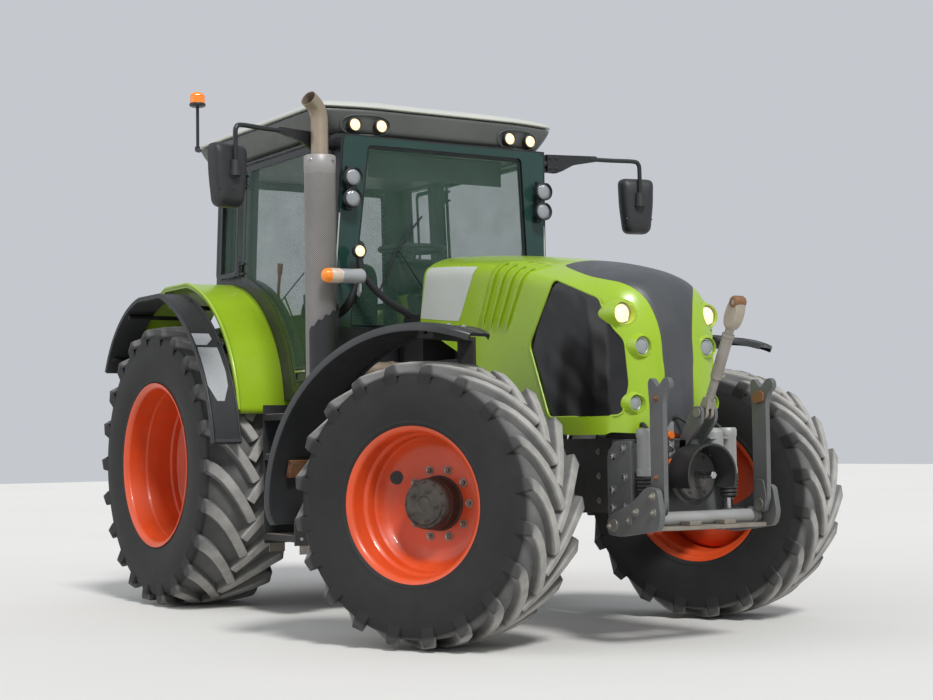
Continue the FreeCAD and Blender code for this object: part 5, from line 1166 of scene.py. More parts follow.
def make_mirrors():
    """Plate, bent tube and two-part head on each side."""
    for name, side in SIDES:
        root = Matrix.Translation((AXLE + 1.440, side * 0.760, 2.721)) @ Matrix.Scale(side, 4, (0, 1, 0))
        root = root @ Matrix.Rotation(-MIRROR_TURN, 4, "Z")
        plate = Form()
        line = rounded([(-0.010, 0.016), (-0.010, -0.094), (0.070, -0.100), (0.110, -0.085),
                        (0.190, -0.042), (0.350, -0.014), (0.350, 0.018)], 0.02, 4)
        plate.prism([(y, z) for y, z in line], "x", -0.010, 0.010)
        plate.box((-0.034, 0.005, -0.092), (0.034, 0.085, 0.010))
        for z in (-0.075, -0.010):
            for y in (0.022, 0.066):
                bolt(plate, (0.034, y, z), (1, 0, 0), 0.008, 0.006)
        plate.tube([(0, -0.060, -0.045), (0, 0.02, -0.045)], 0.026, 16)
        piece("mirror_plate_" + name, "chassis", plate.moved(root), FRAME, "cab_black", 0.0025,
              ("mirrors",) if side > 0 else ())
        path = curve([(0, 0.30, -0.001), (0, 0.45, -0.003), (0, 0.600, -0.003), (0, 0.634, -0.020),
                      (0, 0.641, -0.060), (0, 0.641, -0.20), (-0.004, 0.641, -0.275)], 5)
        arm = Form().tube(path, 0.0135, 14).moved(root)
        piece("mirror_tube_" + name, "chassis", arm, FRAME, "cab_black")
        head = Form()
        rings = []
        for x, scale in ((-0.100, 0.975), (-0.094, 1.0), (-0.062, 1.0), (-0.040, 0.97), (-0.024, 0.90),
                         (-0.013, 0.74), (-0.009, 0.45)):
            ring = []
            for y, z in rounded([(0.532, -0.130), (0.758, -0.130), (0.752, -0.30), (0.730, -0.478),
                                 (0.560, -0.478), (0.538, -0.30)], 0.042, 5):
                ring.append((x, 0.645 + (y - 0.645) * scale, -0.272 + (z + 0.300) * scale))
            rings.append(ring)
        head.loft(rings)
        head.tube([(-0.006, 0.641, -0.20), (-0.006, 0.641, -0.285)], [0.026, 0.034], 16)
        head.turned([(TIP, 0.0), (0.030, -0.002), (0.040, -0.014), (0.043, -0.03)], (-0.002, 0.641, -0.268),
                    "x", 24)
        piece("mirror_head_" + name, "chassis", head.moved(root), TRIM, "dark_trim", angle=50)
        split = Form()
        line = [(-0.011 - 0.015 * abs(y - 0.645) / 0.09, y, -0.360) for y in (0.555, 0.60, 0.645, 0.69,
                                                                              0.735)]
        split.tube(line, 0.004, 8)
        piece("mirror_band_" + name, "chassis", split.moved(root), FRAME, "cab_black")
        glass_form = Form()
        for low, high in ((-0.344, -0.117), (-0.434, -0.356)):
            outline = rounded([(0.548, high), (0.742, high), (0.738 if low > -0.4 else 0.722, low),
                               (0.552 if low > -0.4 else 0.568, low)], 0.028, 4)
            glass_form.prism(outline, "x", -0.1025, -0.0995)
        piece("mirror_glass_" + name, "chassis", glass_form.moved(root), MIRROR, "bare_steel", 0.001)


def make_exhaust():
    """Guarded stack with its bent tailpipe, shield and duct."""
    x, y = AXLE + 1.540, -0.850
    guard = Form().turned([(0.078, 2.588), (0.086, 2.590), (0.090, 2.586), (0.0905, 2.500), (0.0885, 2.497),
                           (0.0885, 1.340), (0.080, 1.332), (0.050, 1.332)], (x, y, 0), "z", 72)
    piece("exhaust_guard", "chassis", guard, GUARD, "warm_steel", replaces=("exhaust",), angle=50)
    pipe = [(x, y, 2.50), (x, y, 2.66), (x, y, 2.79)]
    turn = Vector((math.cos(math.radians(-70)), math.sin(math.radians(-70)), 0))
    for k in range(1, 9):
        a = math.radians(60 * k / 8)
        pipe.append(Vector((x, y, 2.79)) + turn * 0.110 * (1 - math.cos(a))
                    + Vector((0, 0, 0.110 * math.sin(a))))
    ahead = turn * math.sin(math.radians(60)) + Vector((0, 0, math.cos(math.radians(60))))
    pipe.append(Vector(pipe[-1]) + ahead * 0.040)
    tail = Form().tube(pipe, 0.0485, 40, False)
    tail.tube([Vector(pipe[-1]), Vector(pipe[-1]) - ahead * 0.001], [0.0485, 0.0445], 40, False)
    inner = [pipe[-1] - ahead * 0.0005, pipe[-2], pipe[-4]]
    tail.tube(inner, 0.0450, 40, False)
    piece("tailpipe", "chassis", tail, STACK, "warm_steel", angle=50)
    # Black lining inside the pipe's bend: soot on its wall, and its closed end a painted shade in place of
    # the pipe's dark depth
    soot_and_shade = Form().tube([Vector(pipe[-4]), Vector(pipe[-3])], 0.0452, 24)
    piece("tailpipe_soot_and_shade", "chassis", soot_and_shade, HOSE, "warm_steel")
    fixings = Form()
    for angle in (-65, 25, 115, 205):
        a = math.radians(angle)
        at = (x + 0.090 * math.cos(a), y + 0.090 * math.sin(a), 2.560)
        bolt(fixings, at, (math.cos(a), math.sin(a), 0), 0.008, 0.010)
    piece("exhaust_fixings", "chassis", fixings, STEEL, "bare_steel")
    shield = Form()
    rows = []
    for k in range(61):
        a = math.radians(-72 + 190 * k / 60)
        top = 1.60 + 0.19 * (k / 60) ** 0.7 + 0.008 * math.sin(k * 0.75)
        rows.append([(x + r * math.cos(a), y + r * math.sin(a), z) for r, z in ((0.0945, 1.34),
                                                                                (0.0945, top),
                                                                                (0.0975, top),
                                                                                (0.0975, 1.34))])
    shield.loft(rows, True, True)
    piece("exhaust_shield", "chassis", shield, FRAME, "dark_trim", angle=50)
    duct = Form()
    path = curve([(AXLE + 1.52, -0.22, 1.39), (AXLE + 1.53, -0.45, 1.39), (AXLE + 1.54, -0.72, 1.39),
                  (x, y + 0.03, 1.40)], 5)
    duct.tube(path, 0.050, 28)
    for at in (0.3, 0.6):
        spot = path[int(at * (len(path) - 1))]
        duct.tube([spot - Vector((0, 0.015, 0)), spot + Vector((0, 0.015, 0))], 0.055, 28)
    piece("exhaust_duct", "chassis", duct, STACK, "warm_steel", 0.001)


def guard_material():
    """Grey sheet with rows of fine holes below a plain top, the holes painted dark as painted shade seen
    through them.
    """
    shade = Shade("guard_sheet")
    x, y, z = (shade.split()[k] for k in "XYZ")
    turn = shade.math("ARCTAN2", shade.math("SUBTRACT", y, -0.850), shade.math("SUBTRACT", x, AXLE + 1.540))
    wave = shade.math("MULTIPLY", shade.math("SINE", shade.math("MULTIPLY", turn, 48.0)),
                      shade.math("SINE", shade.math("MULTIPLY", z, 540.0)))
    holes = shade.math("MULTIPLY", shade.spread(wave, 0.25, 0.55), shade.spread(z, 2.488, 2.484, 0.0, 1.0))
    base = shade.mix(shade.spread(shade.noise(4.0, 5.0), 0.3, 0.7), (0.27, 0.255, 0.25), (0.34, 0.325, 0.315))
    # The dark colour in the holes is painted shade, the shaded gap behind the sheet
    shade.colour(shade.mix(holes, base, (0.10, 0.098, 0.098)))
    shade.fixed(Metallic=0.25)
    shade.rough(shade.spread(shade.noise(40.0, 3.0), 0.3, 0.7, 0.42, 0.55))
    shade.bump(holes, 0.35, -0.001)
    return shade.material


def ovals(side, rows):
    """A signal lamp's form from rows of distance out, half height and half depth."""
    return Form().loft([[(AXLE + 1.705 + deep * math.cos(a), side * (y - 0.022), 1.904 + high * math.sin(a))
                         for a in turns(28)] for y, high, deep in rows])


def make_signals():
    """Signal lamps on arms beside the front posts."""
    for name, side in SIDES:
        lens = ovals(side, ((0.954, 0.010, 0.008), (0.947, 0.026, 0.022), (0.934, 0.036, 0.030),
                            (0.912, 0.041, 0.034), (0.902, 0.042, 0.035)))
        kept = ("signal_lamps",) if side > 0 else ()
        piece("signal_amber_" + name, "chassis", lens, AMBER, "amber_lens", replaces=kept)
        clear = ovals(side, ((0.9015, 0.042, 0.035), (0.848, 0.042, 0.035), (0.832, 0.038, 0.032)))
        piece("signal_clear_" + name, "chassis", clear, FROST, "lamp_lens")
        base = ovals(side, ((0.835, 0.037, 0.031), (0.826, 0.040, 0.034), (0.760, 0.041, 0.036),
                            (0.705, 0.044, 0.034), (0.692, 0.036, 0.030)))
        line = [(1.672, 1.862), (1.738, 1.862), (1.735, 1.815), (1.715, 1.79), (1.690, 1.815)]
        base.prism(shifted(line), "y", *span(side, 0.700, 0.712))
        piece("signal_base_" + name, "chassis", base, SILVER, "warm_steel", 0.001)
        arm = Form().tube(curve(shifted([(1.702, side * 0.700, 1.875), (1.66, side * 0.712, 1.80),
                                         (1.58, side * 0.716, 1.745), (1.50, side * 0.710, 1.72),
                                         (1.43, side * 0.700, 1.71)]), 5), 0.027, 14)
        arm.tube([(AXLE + 1.44, side * 0.70, 1.90), (AXLE + 1.68, side * 0.702, 1.902)], 0.011, 12)
        piece("signal_arm_" + name, "chassis", arm, FRAME, "cab_black")


def make_beacon():
    """Beacon on a stalk behind the roof's right edge."""
    x, y = AXLE - 0.300, -0.780
    stalk = Form().tube([(x, y, 2.895), (x, y, 3.196)], 0.0105, 16)
    stalk.tube([(x, y, 2.90), (x, y, 2.93)], 0.019, 16)
    stalk.tube([(x + 0.14, y + 0.03, 2.905), (x + 0.01, y, 2.905)], 0.016, 12)
    stalk.turned([(TIP, 3.190), (0.040, 3.192), (0.052, 3.198), (0.054, 3.208), (0.050, 3.216),
                  (TIP, 3.217)], (x, y, 0), "z", 36)
    piece("beacon_stalk", "chassis", stalk, FRAME, "cab_black")
    dome = Form().turned([(0.049, 3.216), (0.049, 3.250), (0.046, 3.270), (0.038, 3.282), (0.022, 3.2885),
                          (TIP, 3.290)], (x, y, 0), "z", 40)
    for z in (3.226, 3.238, 3.250, 3.262):
        dome.turned([(0.0485, z - 0.002), (0.0502, z), (0.0485, z + 0.002)], (x, y, 0), "z", 40)
    piece("beacon_dome", "chassis", dome, AMBER, "amber_lens", replaces=("beacon",), angle=60)


WING_GLASS = surface("wing_glass", (0.018, 0.050, 0.042), 0.06, 0.0, 0.15, 2.0, 900.0, 0.004)
FROST = lamp_glass("frost_lens", (0.62, 0.50, 0.40), 0.10, lines=70.0)
SILVER = surface("silver_paint", (0.36, 0.37, 0.38), 0.36, 0.35, 0.08, 6.0, 500.0, 0.04)
make_cab_trim()
make_screen()
make_rear_window()
make_roof()
make_lamps()
make_mirrors()
GUARD = guard_material()
make_exhaust()
make_signals()
make_beacon()


# Fenders and steps
def fender_path(inset, top, front_x, front_z, steps=20):
    """Side view over a rear wheel, from its tail to its front end."""
    tail = sagged((-0.760 + inset * 0.78, 1.480 - inset * 0.63), (-0.180, top - inset), 0.090, steps)
    return tail + sagged((0.150, top - inset), (front_x - inset * 0.94, front_z - inset * 0.34), 0.175,
                         steps + 6)


LIGHT_GREY = surface("light_grey_paint", (0.30, 0.305, 0.30), 0.40, 0.2, 0.14, 6.0, 400.0, 0.10, 0.35, 1.6,
                     dust_colour=(0.34, 0.31, 0.26), scuff=0.4)
PATCH = surface("reflector_patch", (0.40, 0.41, 0.42), 0.30, 0.0, 0.06, 8.0, 700.0, 0.04)


def make_fenders():
    """Rolled edges, reflector patches, stays and tail lamps of the rear fenders."""
    green = fender_path(0.0, 1.985, 0.890, 1.190)
    rubber = fender_path(0.0, 1.915, 0.940, 1.000)
    under = fender_path(0.030, 1.915, 0.940, 1.000)
    for name, side in SIDES:
        bead = Form().tube([(AXLE + x, side * 1.053, z - 0.004) for x, z in green], 0.0115, 10)
        bead.tube([(AXLE + x, side * 0.660, z) for x, z in green[4:]], 0.006, 8)
        curl = [(0.893, 1.205), (0.895, 1.190), (0.890, 1.174), (0.878, 1.164), (0.862, 1.163),
                (0.850, 1.170), (0.856, 1.178), (0.868, 1.176), (0.876, 1.184), (0.876, 1.200)]
        bead.prism(shifted(curl), "y", *span(side, 0.622, 1.056))
        piece("fender_edge_" + name, "chassis", bead, LIME, "green_paint", angle=50)
        edge = Form().tube([(AXLE + x, side * 1.237, z - 0.007) for x, z in rubber], 0.0105, 10)
        edge.tube([(AXLE + x, side * 1.068, z + 0.001) for x, z in rubber], 0.007, 8)
        lip = [(0.935, 1.02), (0.946, 1.000), (0.940, 0.988), (0.922, 0.986), (0.912, 1.0)]
        edge.prism(shifted(lip), "y", *span(side, 1.064, 1.243))
        piece("skirt_edge_" + name, "chassis", edge, TRIM, "dark_trim", angle=50)
        patch = Form()
        for rows in (((32, 1.118, 1.232), (33, 1.114, 1.236), (34, 1.160, 1.236)),
                     ((34.4, 1.10, 1.225), (36, 1.098, 1.237), (38, 1.094, 1.238), (40, 1.100, 1.226),
                      (42, 1.140, 1.185))):
            rings = []
            for at, near, far in rows:
                here, after = rubber[int(at)], rubber[min(46, int(at) + 1)]
                dx, dz = after[0] - here[0], after[1] - here[1]
                x, z = here[0] + dx * (at - int(at)), here[1] + dz * (at - int(at))
                size = math.hypot(dx, dz)
                nx, nz = -dz / size, dx / size
                rings.append([(AXLE + x + nx * lift, side * y, z + nz * lift)
                              for y, lift in ((near, -0.001), (near, 0.0016), (far, 0.0016), (far, -0.001))])
            patch.loft(rings)
        piece("skirt_patches_" + name, "chassis", patch, PATCH, "clear_glass")
        stays = Form()
        for k in (3, 14, 24, 34, 42):
            x, z = under[k]
            stays.tube([(AXLE + x, side * 0.80, z - 0.012), (AXLE + x, side * 1.225, z - 0.012)], 0.014, 10)
            bolt(stays, (AXLE + x, side * 1.09, z + 0.02), (0, 0, 1), 0.010, 0.018)
        stays.tube([(AXLE + under[3][0], side * 1.10, under[3][1]), (AXLE - 0.10, side * 0.66, 1.62)],
                   0.014, 10)
        piece("skirt_stays_" + name, "chassis", stays, FRAME, "cab_black")
        tail = Form()
        for material, slot, low, high, kind in ((REDLENS, "lamp_lens", 0.750, 0.812, "red"),
                                                (AMBER, "amber_lens", 0.816, 0.878, "amber"),
                                                (CLEAR, "lamp_lens", 0.882, 0.944, "clear")):
            lens = Form().prism(rounded([(side * low, 1.662), (side * high, 1.662), (side * high, 1.748),
                                         (side * low, 1.748)], 0.012, 3), "x", AXLE - 0.699, AXLE - 0.688)
            piece("tail_lens_%s_%s" % (kind, name), "chassis", lens, material, slot, 0.003)
        low, high = span(side, 0.738, 0.956)
        tail.box((AXLE - 0.691, low, 1.650), (AXLE - 0.686, high, 1.760))
        tail.tube([(AXLE - 0.65, side * 0.72, 1.70), (AXLE - 0.50, side * 0.67, 1.72)], 0.012, 10)
        piece("tail_lamp_back_" + name, "chassis", tail, TRIM, "dark_trim", 0.002)


def make_steps():
    """Grip ribs, bolts and hangers of the steps, tank straps and fuel cap."""
    for name, side in SIDES:
        grips, bolts = Form(), Form()
        for z in (0.430, 0.660, 0.890, 1.120):
            for k in range(12):
                x = 0.972 + 0.031 * k
                low, high = span(side, 0.738, 0.924)
                grips.box((AXLE + x, low, z + 0.030), (AXLE + x + 0.010, high, z + 0.0385))
            for x in (0.949, 1.351):
                for y in (0.77, 0.89):
                    bolt(bolts, (AXLE + x, side * y, z + 0.017), (-1 if x < 1 else 1, 0, 0), 0.007, 0.006)
        piece("step_grips_" + name, "chassis", grips, STEP, "step_steel")
        piece("step_bolts_" + name, "chassis", bolts, STEEL, "bare_steel")
        hang = Form()
        for x in (0.956, 1.344):
            hang.prism(shifted([(x - 0.004, 0.36), (x + 0.004, 0.36), (x + 0.004, 0.44),
                                (x - 0.004, 0.44)]), "y", *span(side, 0.80, 0.90))
        hang.tube([(AXLE + 0.956, side * 0.70, 0.56), (AXLE + 1.344, side * 0.70, 0.43)], 0.012, 8)
        hang.tube([(AXLE + 1.344, side * 0.70, 0.56), (AXLE + 0.956, side * 0.70, 0.43)], 0.012, 8)
        low, high = span(side, 0.703, 0.713)
        hang.box((AXLE + 0.975, low, 1.105), (AXLE + 1.325, high, 1.200))
        piece("step_frame_" + name, "chassis", hang, STEP, "step_steel", 0.0015)
        straps = Form()
        for x in (1.05, 1.55) if side > 0 else (1.02, 1.28):
            line, inner = (rounded([(side * 0.300, low), (side * wide, low), (side * wide, high),
                                    (side * 0.300, high)], 0.04, 4) for wide, low, high in ((0.704, 0.516,
                                                                                             1.104),
                                                                                            (0.701, 0.519,
                                                                                             1.101)))
            rings = [[(AXLE + x + dx, y, z) for y, z in ring] for ring, dx in ((line, -0.02), (line, 0.02),
                                                                               (inner, 0.02), (inner, -0.02))]
            straps.loft([ring + [ring[0]] for ring in rings + [rings[0]]], False, False)
        piece("tank_straps_" + name, "chassis", straps, STEEL, "bare_steel", angle=60)
    cap = Form().turned([(TIP, 1.148), (0.040, 1.148), (0.048, 1.142), (0.050, 1.12), (0.050, 1.112),
                         (0.040, 1.095)], (AXLE + 1.48, 0.56, 0), "z", 32)
    for a in turns(8):
        cap.tube([(AXLE + 1.48 + 0.049 * math.cos(a), 0.56 + 0.049 * math.sin(a), 1.115),
                  (AXLE + 1.48 + 0.049 * math.cos(a), 0.56 + 0.049 * math.sin(a), 1.142)], 0.005, 6)
    piece("fuel_cap", "chassis", cap, TRIM, "dark_trim")


def make_front_fenders():
    """Shells over the front wheels, with bolts, bracket and kingpin caps."""
    for name, side in SIDES:
        body = "steer_" + name
        corner = front_corner(side)

        def ring(angle, r, y):
            a = math.radians(angle)
            return (r * math.sin(a), side * y, r * math.cos(a))

        shell, edge = Form(), Form()
        rings, rims = [], ([], [])
        for k in range(97):
            angle = -97 + 118 * k / 96
            blunt = max(0.0, (angle - 3) / 18)
            tail = max(0.0, (-90 - angle) / 7)
            near = 0.125 + 0.170 * blunt ** 2.4 + 0.04 * tail ** 2
            far = 0.545 - 0.060 * blunt ** 3 - 0.04 * tail ** 2
            rings.append([ring(angle, r, y) for r, y in ((0.846, near + 0.012), (0.832, near + 0.012),
                                                         (0.832, near), (0.852, near),
                                                         (0.860, near + 0.010), (0.860, far - 0.016),
                                                         (0.854, far - 0.004), (0.846, far), (0.822, far),
                                                         (0.820, far - 0.010), (0.842, far - 0.014))])
            rims[0].append(ring(angle, 0.8605, near + 0.055))
            rims[1].append(ring(angle, 0.8605, far - 0.060))
        shell.loft(rings)
        piece("front_fender_shell_" + name, body, shell, SHEEN, "dark_trim",
              replaces=("front_fender_" + name,), angle=50, matrix=corner)
        for rim in rims:
            edge.tube(rim, 0.004, 8)
        piece("front_fender_edge_" + name, body, edge, SHEEN, "dark_trim", matrix=corner)
        marks = Form()
        for angle in (-8, 8):
            for y in (0.22, 0.36):
                a = math.radians(angle)
                bolt(marks, ring(angle, 0.860, y), (math.sin(a), 0, math.cos(a)), 0.010, 0.007)
        piece("front_fender_bolts_" + name, body, marks, STEEL, "bare_steel", matrix=corner)
        bracket = Form()
        for angle in (-80, -76):
            bracket.tube([ring(angle, 0.822, 0.20), ring(angle, 0.822, 0.40)], 0.012, 10)
        foot = ((0.812, 0.20), (0.835, 0.20), (0.835, 0.40), (0.812, 0.40))
        bracket.loft([[ring(angle, r, y) for r, y in foot] for angle in (-81, -75)])
        piece("front_fender_bracket_" + name, body, bracket, RUST, "cast_grey", 0.002, matrix=corner)
        fixed = Form()
        for z in (0.155, -0.155):
            fixed.turned([(TIP, z + math.copysign(0.012, z)), (0.034, z + math.copysign(0.012, z)),
                          (0.040, z + math.copysign(0.006, z)), (0.040, z - math.copysign(0.02, z))],
                         axis="z", steps=28)
            for k in range(4):
                a = math.pi / 4 + math.pi * k / 2
                bolt(fixed, (0.048 * math.cos(a), 0.048 * math.sin(a), z), (0, 0, math.copysign(1, z)),
                     0.007, 0.006)
        piece("kingpin_caps_" + name, body, fixed, WORN, "bare_steel", matrix=corner)


# Front linkage
LINK = AXLE + 3.420


def make_linkage_frame():
    """Front support with its pins, bolts, lift barrels and boots."""
    frame = Form().box((LINK, -0.270, 0.600), (LINK + 0.180, 0.270, 0.980))
    frame.box((LINK + 0.185, -0.050, 0.805), (LINK + 0.290, 0.050, 0.975))
    pins, bolts, barrels, boots = Form(), Form(), Form(), Form()
    for name, side in SIDES:
        low, high = span(side, 0.270, 0.300)
        outline = rounded([(0.000, 0.600), (0.185, 0.600), (0.185, 0.972), (0.055, 0.972), (0.000, 0.905)],
                          0.025, 4)
        frame.prism(shifted(outline, LINK), "y", low, high)
        lug = rounded([(0.090, 0.530), (0.180, 0.530), (0.180, 0.640), (0.090, 0.640)], 0.04, 5)
        frame.prism(shifted(lug, LINK), "y", low, high)
        low, high = span(side, 0.220, 0.280)
        frame.box((LINK + 0.170, low, 0.820), (LINK + 0.205, high, 0.960))
        low, high = span(side, 0.032, 0.050)
        ear = rounded([(0.240, 0.895), (0.410, 1.060), (0.410, 1.130), (0.340, 1.130), (0.240, 0.975)],
                      0.03, 5)
        frame.prism(shifted(ear, LINK), "y", low, high)
        pins.tube([(LINK + 0.135, side * 0.27, 0.575), (LINK + 0.135, side * 0.372, 0.575)], 0.020, 24)
        pins.tube([(LINK + 0.135, side * 0.3665, 0.575), (LINK + 0.135, side * 0.3745, 0.575)], 0.032, 24)
        for x, z in ((0.045, 0.90), (0.130, 0.935), (0.045, 0.74), (0.045, 0.655), (0.140, 0.66),
                     (0.140, 0.80)):
            bolt(bolts, (LINK + x, side * 0.300, z), (0, side, 0), 0.0135, 0.012)
        spot = (LINK + 0.240, side * 0.250, 0)
        barrels.turned([(0.030, 0.802), (0.044, 0.802), (0.0475, 0.806), (0.0475, 0.836), (0.044, 0.840),
                        (0.044, 0.985), (0.047, 0.990), (0.047, 1.020), (0.040, 1.029), (TIP, 1.029)], spot,
                       "z", 40)
        barrels.tube([(LINK + 0.240, side * 0.250, 0.860), (LINK + 0.240, side * 0.190, 0.860)], 0.014, 12)
        barrels.tube([(LINK + 0.240, side * 0.250, 0.985), (LINK + 0.240, side * 0.190, 0.985)], 0.014, 12)
        folds = [(0.026, 0.800)]
        for k in range(6):
            top = 0.800 - 0.018 * k
            folds += [(0.052 - 0.002 * k, top - 0.002), (0.052 - 0.002 * k, top - 0.010),
                      (0.043 - 0.002 * k, top - 0.014)]
        folds += [(0.030, 0.690), (0.0235, 0.690)]
        boots.turned(folds, spot, "z", 36)
    top_pin = Form().tube([(LINK + 0.380, -0.056, 1.100), (LINK + 0.380, 0.056, 1.100)], 0.015, 20)
    top_pin.tube([(LINK + 0.380, -0.058, 1.100), (LINK + 0.380, -0.051, 1.100)], 0.024, 20)
    piece("linkage_support", "chassis", frame, GREY, "grey_paint", 0.005, ("front_linkage_frame",))
    piece("linkage_pins", "chassis", pins.join(top_pin), WORN, "bare_steel", 0.0012)
    piece("linkage_bolts", "chassis", bolts, STEEL, "bare_steel")
    piece("lift_barrels", "chassis", barrels, LIGHT_GREY, "grey_paint", angle=40)
    piece("lift_boots", "chassis", boots, HOSE, "soft_rubber", angle=60)


def make_front_drive():
    """Housing, splined shaft and guard of the front power take-off."""
    drive = Form().turned([(TIP, 0.300), (0.060, 0.300), (0.066, 0.306), (0.112, 0.306), (0.120, 0.296),
                           (0.120, 0.180)], (LINK, 0, 0.805), "x", 56)
    for a in turns(6):
        bolt(drive, (LINK + 0.306, 0.090 * math.cos(a), 0.805 + 0.090 * math.sin(a)), (1, 0, 0), 0.008, 0.007)
    piece("front_drive_housing", "chassis", drive, CAST, "cast_grey", angle=40)
    shaft = Form()
    rings = []
    for x in (0.29, 0.415, 0.425, 0.428, 0.430):
        ring = []
        for a in turns(48):
            r = 0.01745 if math.cos(6 * a) > -0.2 else 0.0148
            if 0.395 < x < 0.412:
                r = 0.0140
            if x == 0.430:
                r -= 0.002
            ring.append((LINK + x, r * math.cos(a), 0.805 + r * math.sin(a)))
        rings.append(ring)
    shaft.loft(rings)
    piece("front_drive_shaft", "chassis", shaft, STEEL, "bare_steel")
    guard = Form()
    rows = []
    for k in range(49):
        a = math.radians(-24.3 + 228.6 * k / 48)
        rows.append([(LINK + x, r * math.cos(a), 0.805 + r * math.sin(a)) for x, r in ((0.270, 0.146),
                                                                                       (0.412, 0.146),
                                                                                       (0.420, 0.150),
                                                                                       (0.420, 0.140),
                                                                                       (0.410, 0.138),
                                                                                       (0.282, 0.138),
                                                                                       (0.270, 0.125))])
    guard.loft(rows, True, True)
    guard.turned([(0.125, 0.272), (0.144, 0.272), (0.144, 0.282), (0.125, 0.286)], (LINK, 0, 0.805), "x",
                 56, True)
    piece("front_drive_guard", "chassis", guard, TRIM, "dark_trim", angle=50)


def make_front_couplers():
    """Centre bracket with its accumulator, couplers with caps, and hoses."""
    middle = Form()
    fork = rounded([(-0.085, 0.86), (0.085, 0.86), (0.085, 1.02), (0.060, 1.06), (0.052, 1.06),
                    (0.052, 0.93), (0.030, 0.905), (-0.030, 0.905), (-0.052, 0.93), (-0.052, 1.06),
                    (-0.060, 1.06), (-0.085, 1.02)], 0.012, 3)
    middle.prism(fork, "x", LINK + 0.186, LINK + 0.206)
    middle.turned([(TIP, 1.030), (0.030, 1.026), (0.045, 1.008), (0.048, 0.985), (0.048, 0.900),
                   (0.040, 0.890), (TIP, 0.888)], (LINK + 0.245, 0.160, 0), "z", 36)
    middle.box((LINK + 0.182, 0.10, 0.895), (LINK + 0.290, 0.222, 0.903))
    middle.box((LINK + 0.182, 0.10, 0.975), (LINK + 0.290, 0.222, 0.983))
    piece("linkage_bracket", "chassis", middle, LIGHT_GREY, "grey_paint", 0.003)
    studs = Form()
    for y, z in ((0.069, 0.935), (0.069, 0.985), (-0.069, 0.935), (-0.069, 0.985), (0.0, 0.882)):
        bolt(studs, (LINK + 0.206, y, z), (1, 0, 0), 0.012, 0.011)
    piece("linkage_studs", "chassis", studs, WORN, "bare_steel")
    valves, caps = Form(), Form()
    for y in (-0.200, -0.155, -0.110):
        for z in (0.865, 0.930, 0.995):
            valves.tube(shifted([(0.178, y, z), (0.215, y, z), (0.216, y, z), (0.245, y, z)], LINK),
                        [0.021, 0.021, 0.016, 0.016], 16)
            if (round(y * 1000) + round(z * 1000)) % 2:
                caps.turned([(TIP, 0.262), (0.016, 0.262), (0.0195, 0.257), (0.0195, 0.240),
                             (0.017, 0.236)], (LINK, y, z), "x", 20)
    valves.box((LINK + 0.178, -0.225, 0.84), (LINK + 0.196, -0.090, 1.02))
    piece("front_couplers", "chassis", valves, CAST, "cast_grey", 0.002)
    piece("front_coupler_caps", "chassis", caps, ORANGE, "dark_trim")
    hoses = Form()
    for points, r in ((((0.10, -0.19, 0.99), (0.16, -0.21, 1.05), (0.22, -0.22, 1.02),
                        (0.24, -0.195, 0.985)), 0.010), (((0.10, 0.19, 0.99), (0.16, 0.21, 1.05),
                                                          (0.22, 0.22, 1.03), (0.24, 0.195, 0.985)), 0.010),
                      (((0.20, -0.20, 0.84), (0.24, -0.17, 0.80), (0.23, -0.16, 0.72), (0.20, -0.12, 0.64)),
                       0.010), (((0.20, -0.12, 0.86), (0.26, -0.15, 0.79), (0.24, -0.165, 0.70),
                                 (0.19, -0.17, 0.63)), 0.009), (((0.10, -0.06, 0.98), (0.20, -0.04, 1.08),
                                                                 (0.25, 0.02, 1.04), (0.24, 0.12, 1.02)),
                                                                0.008)):
        hoses.tube(curve([(LINK + x, y, z) for x, y, z in points], 7), r, 12)
    piece("front_hoses", "chassis", hoses, HOSE, "soft_rubber")


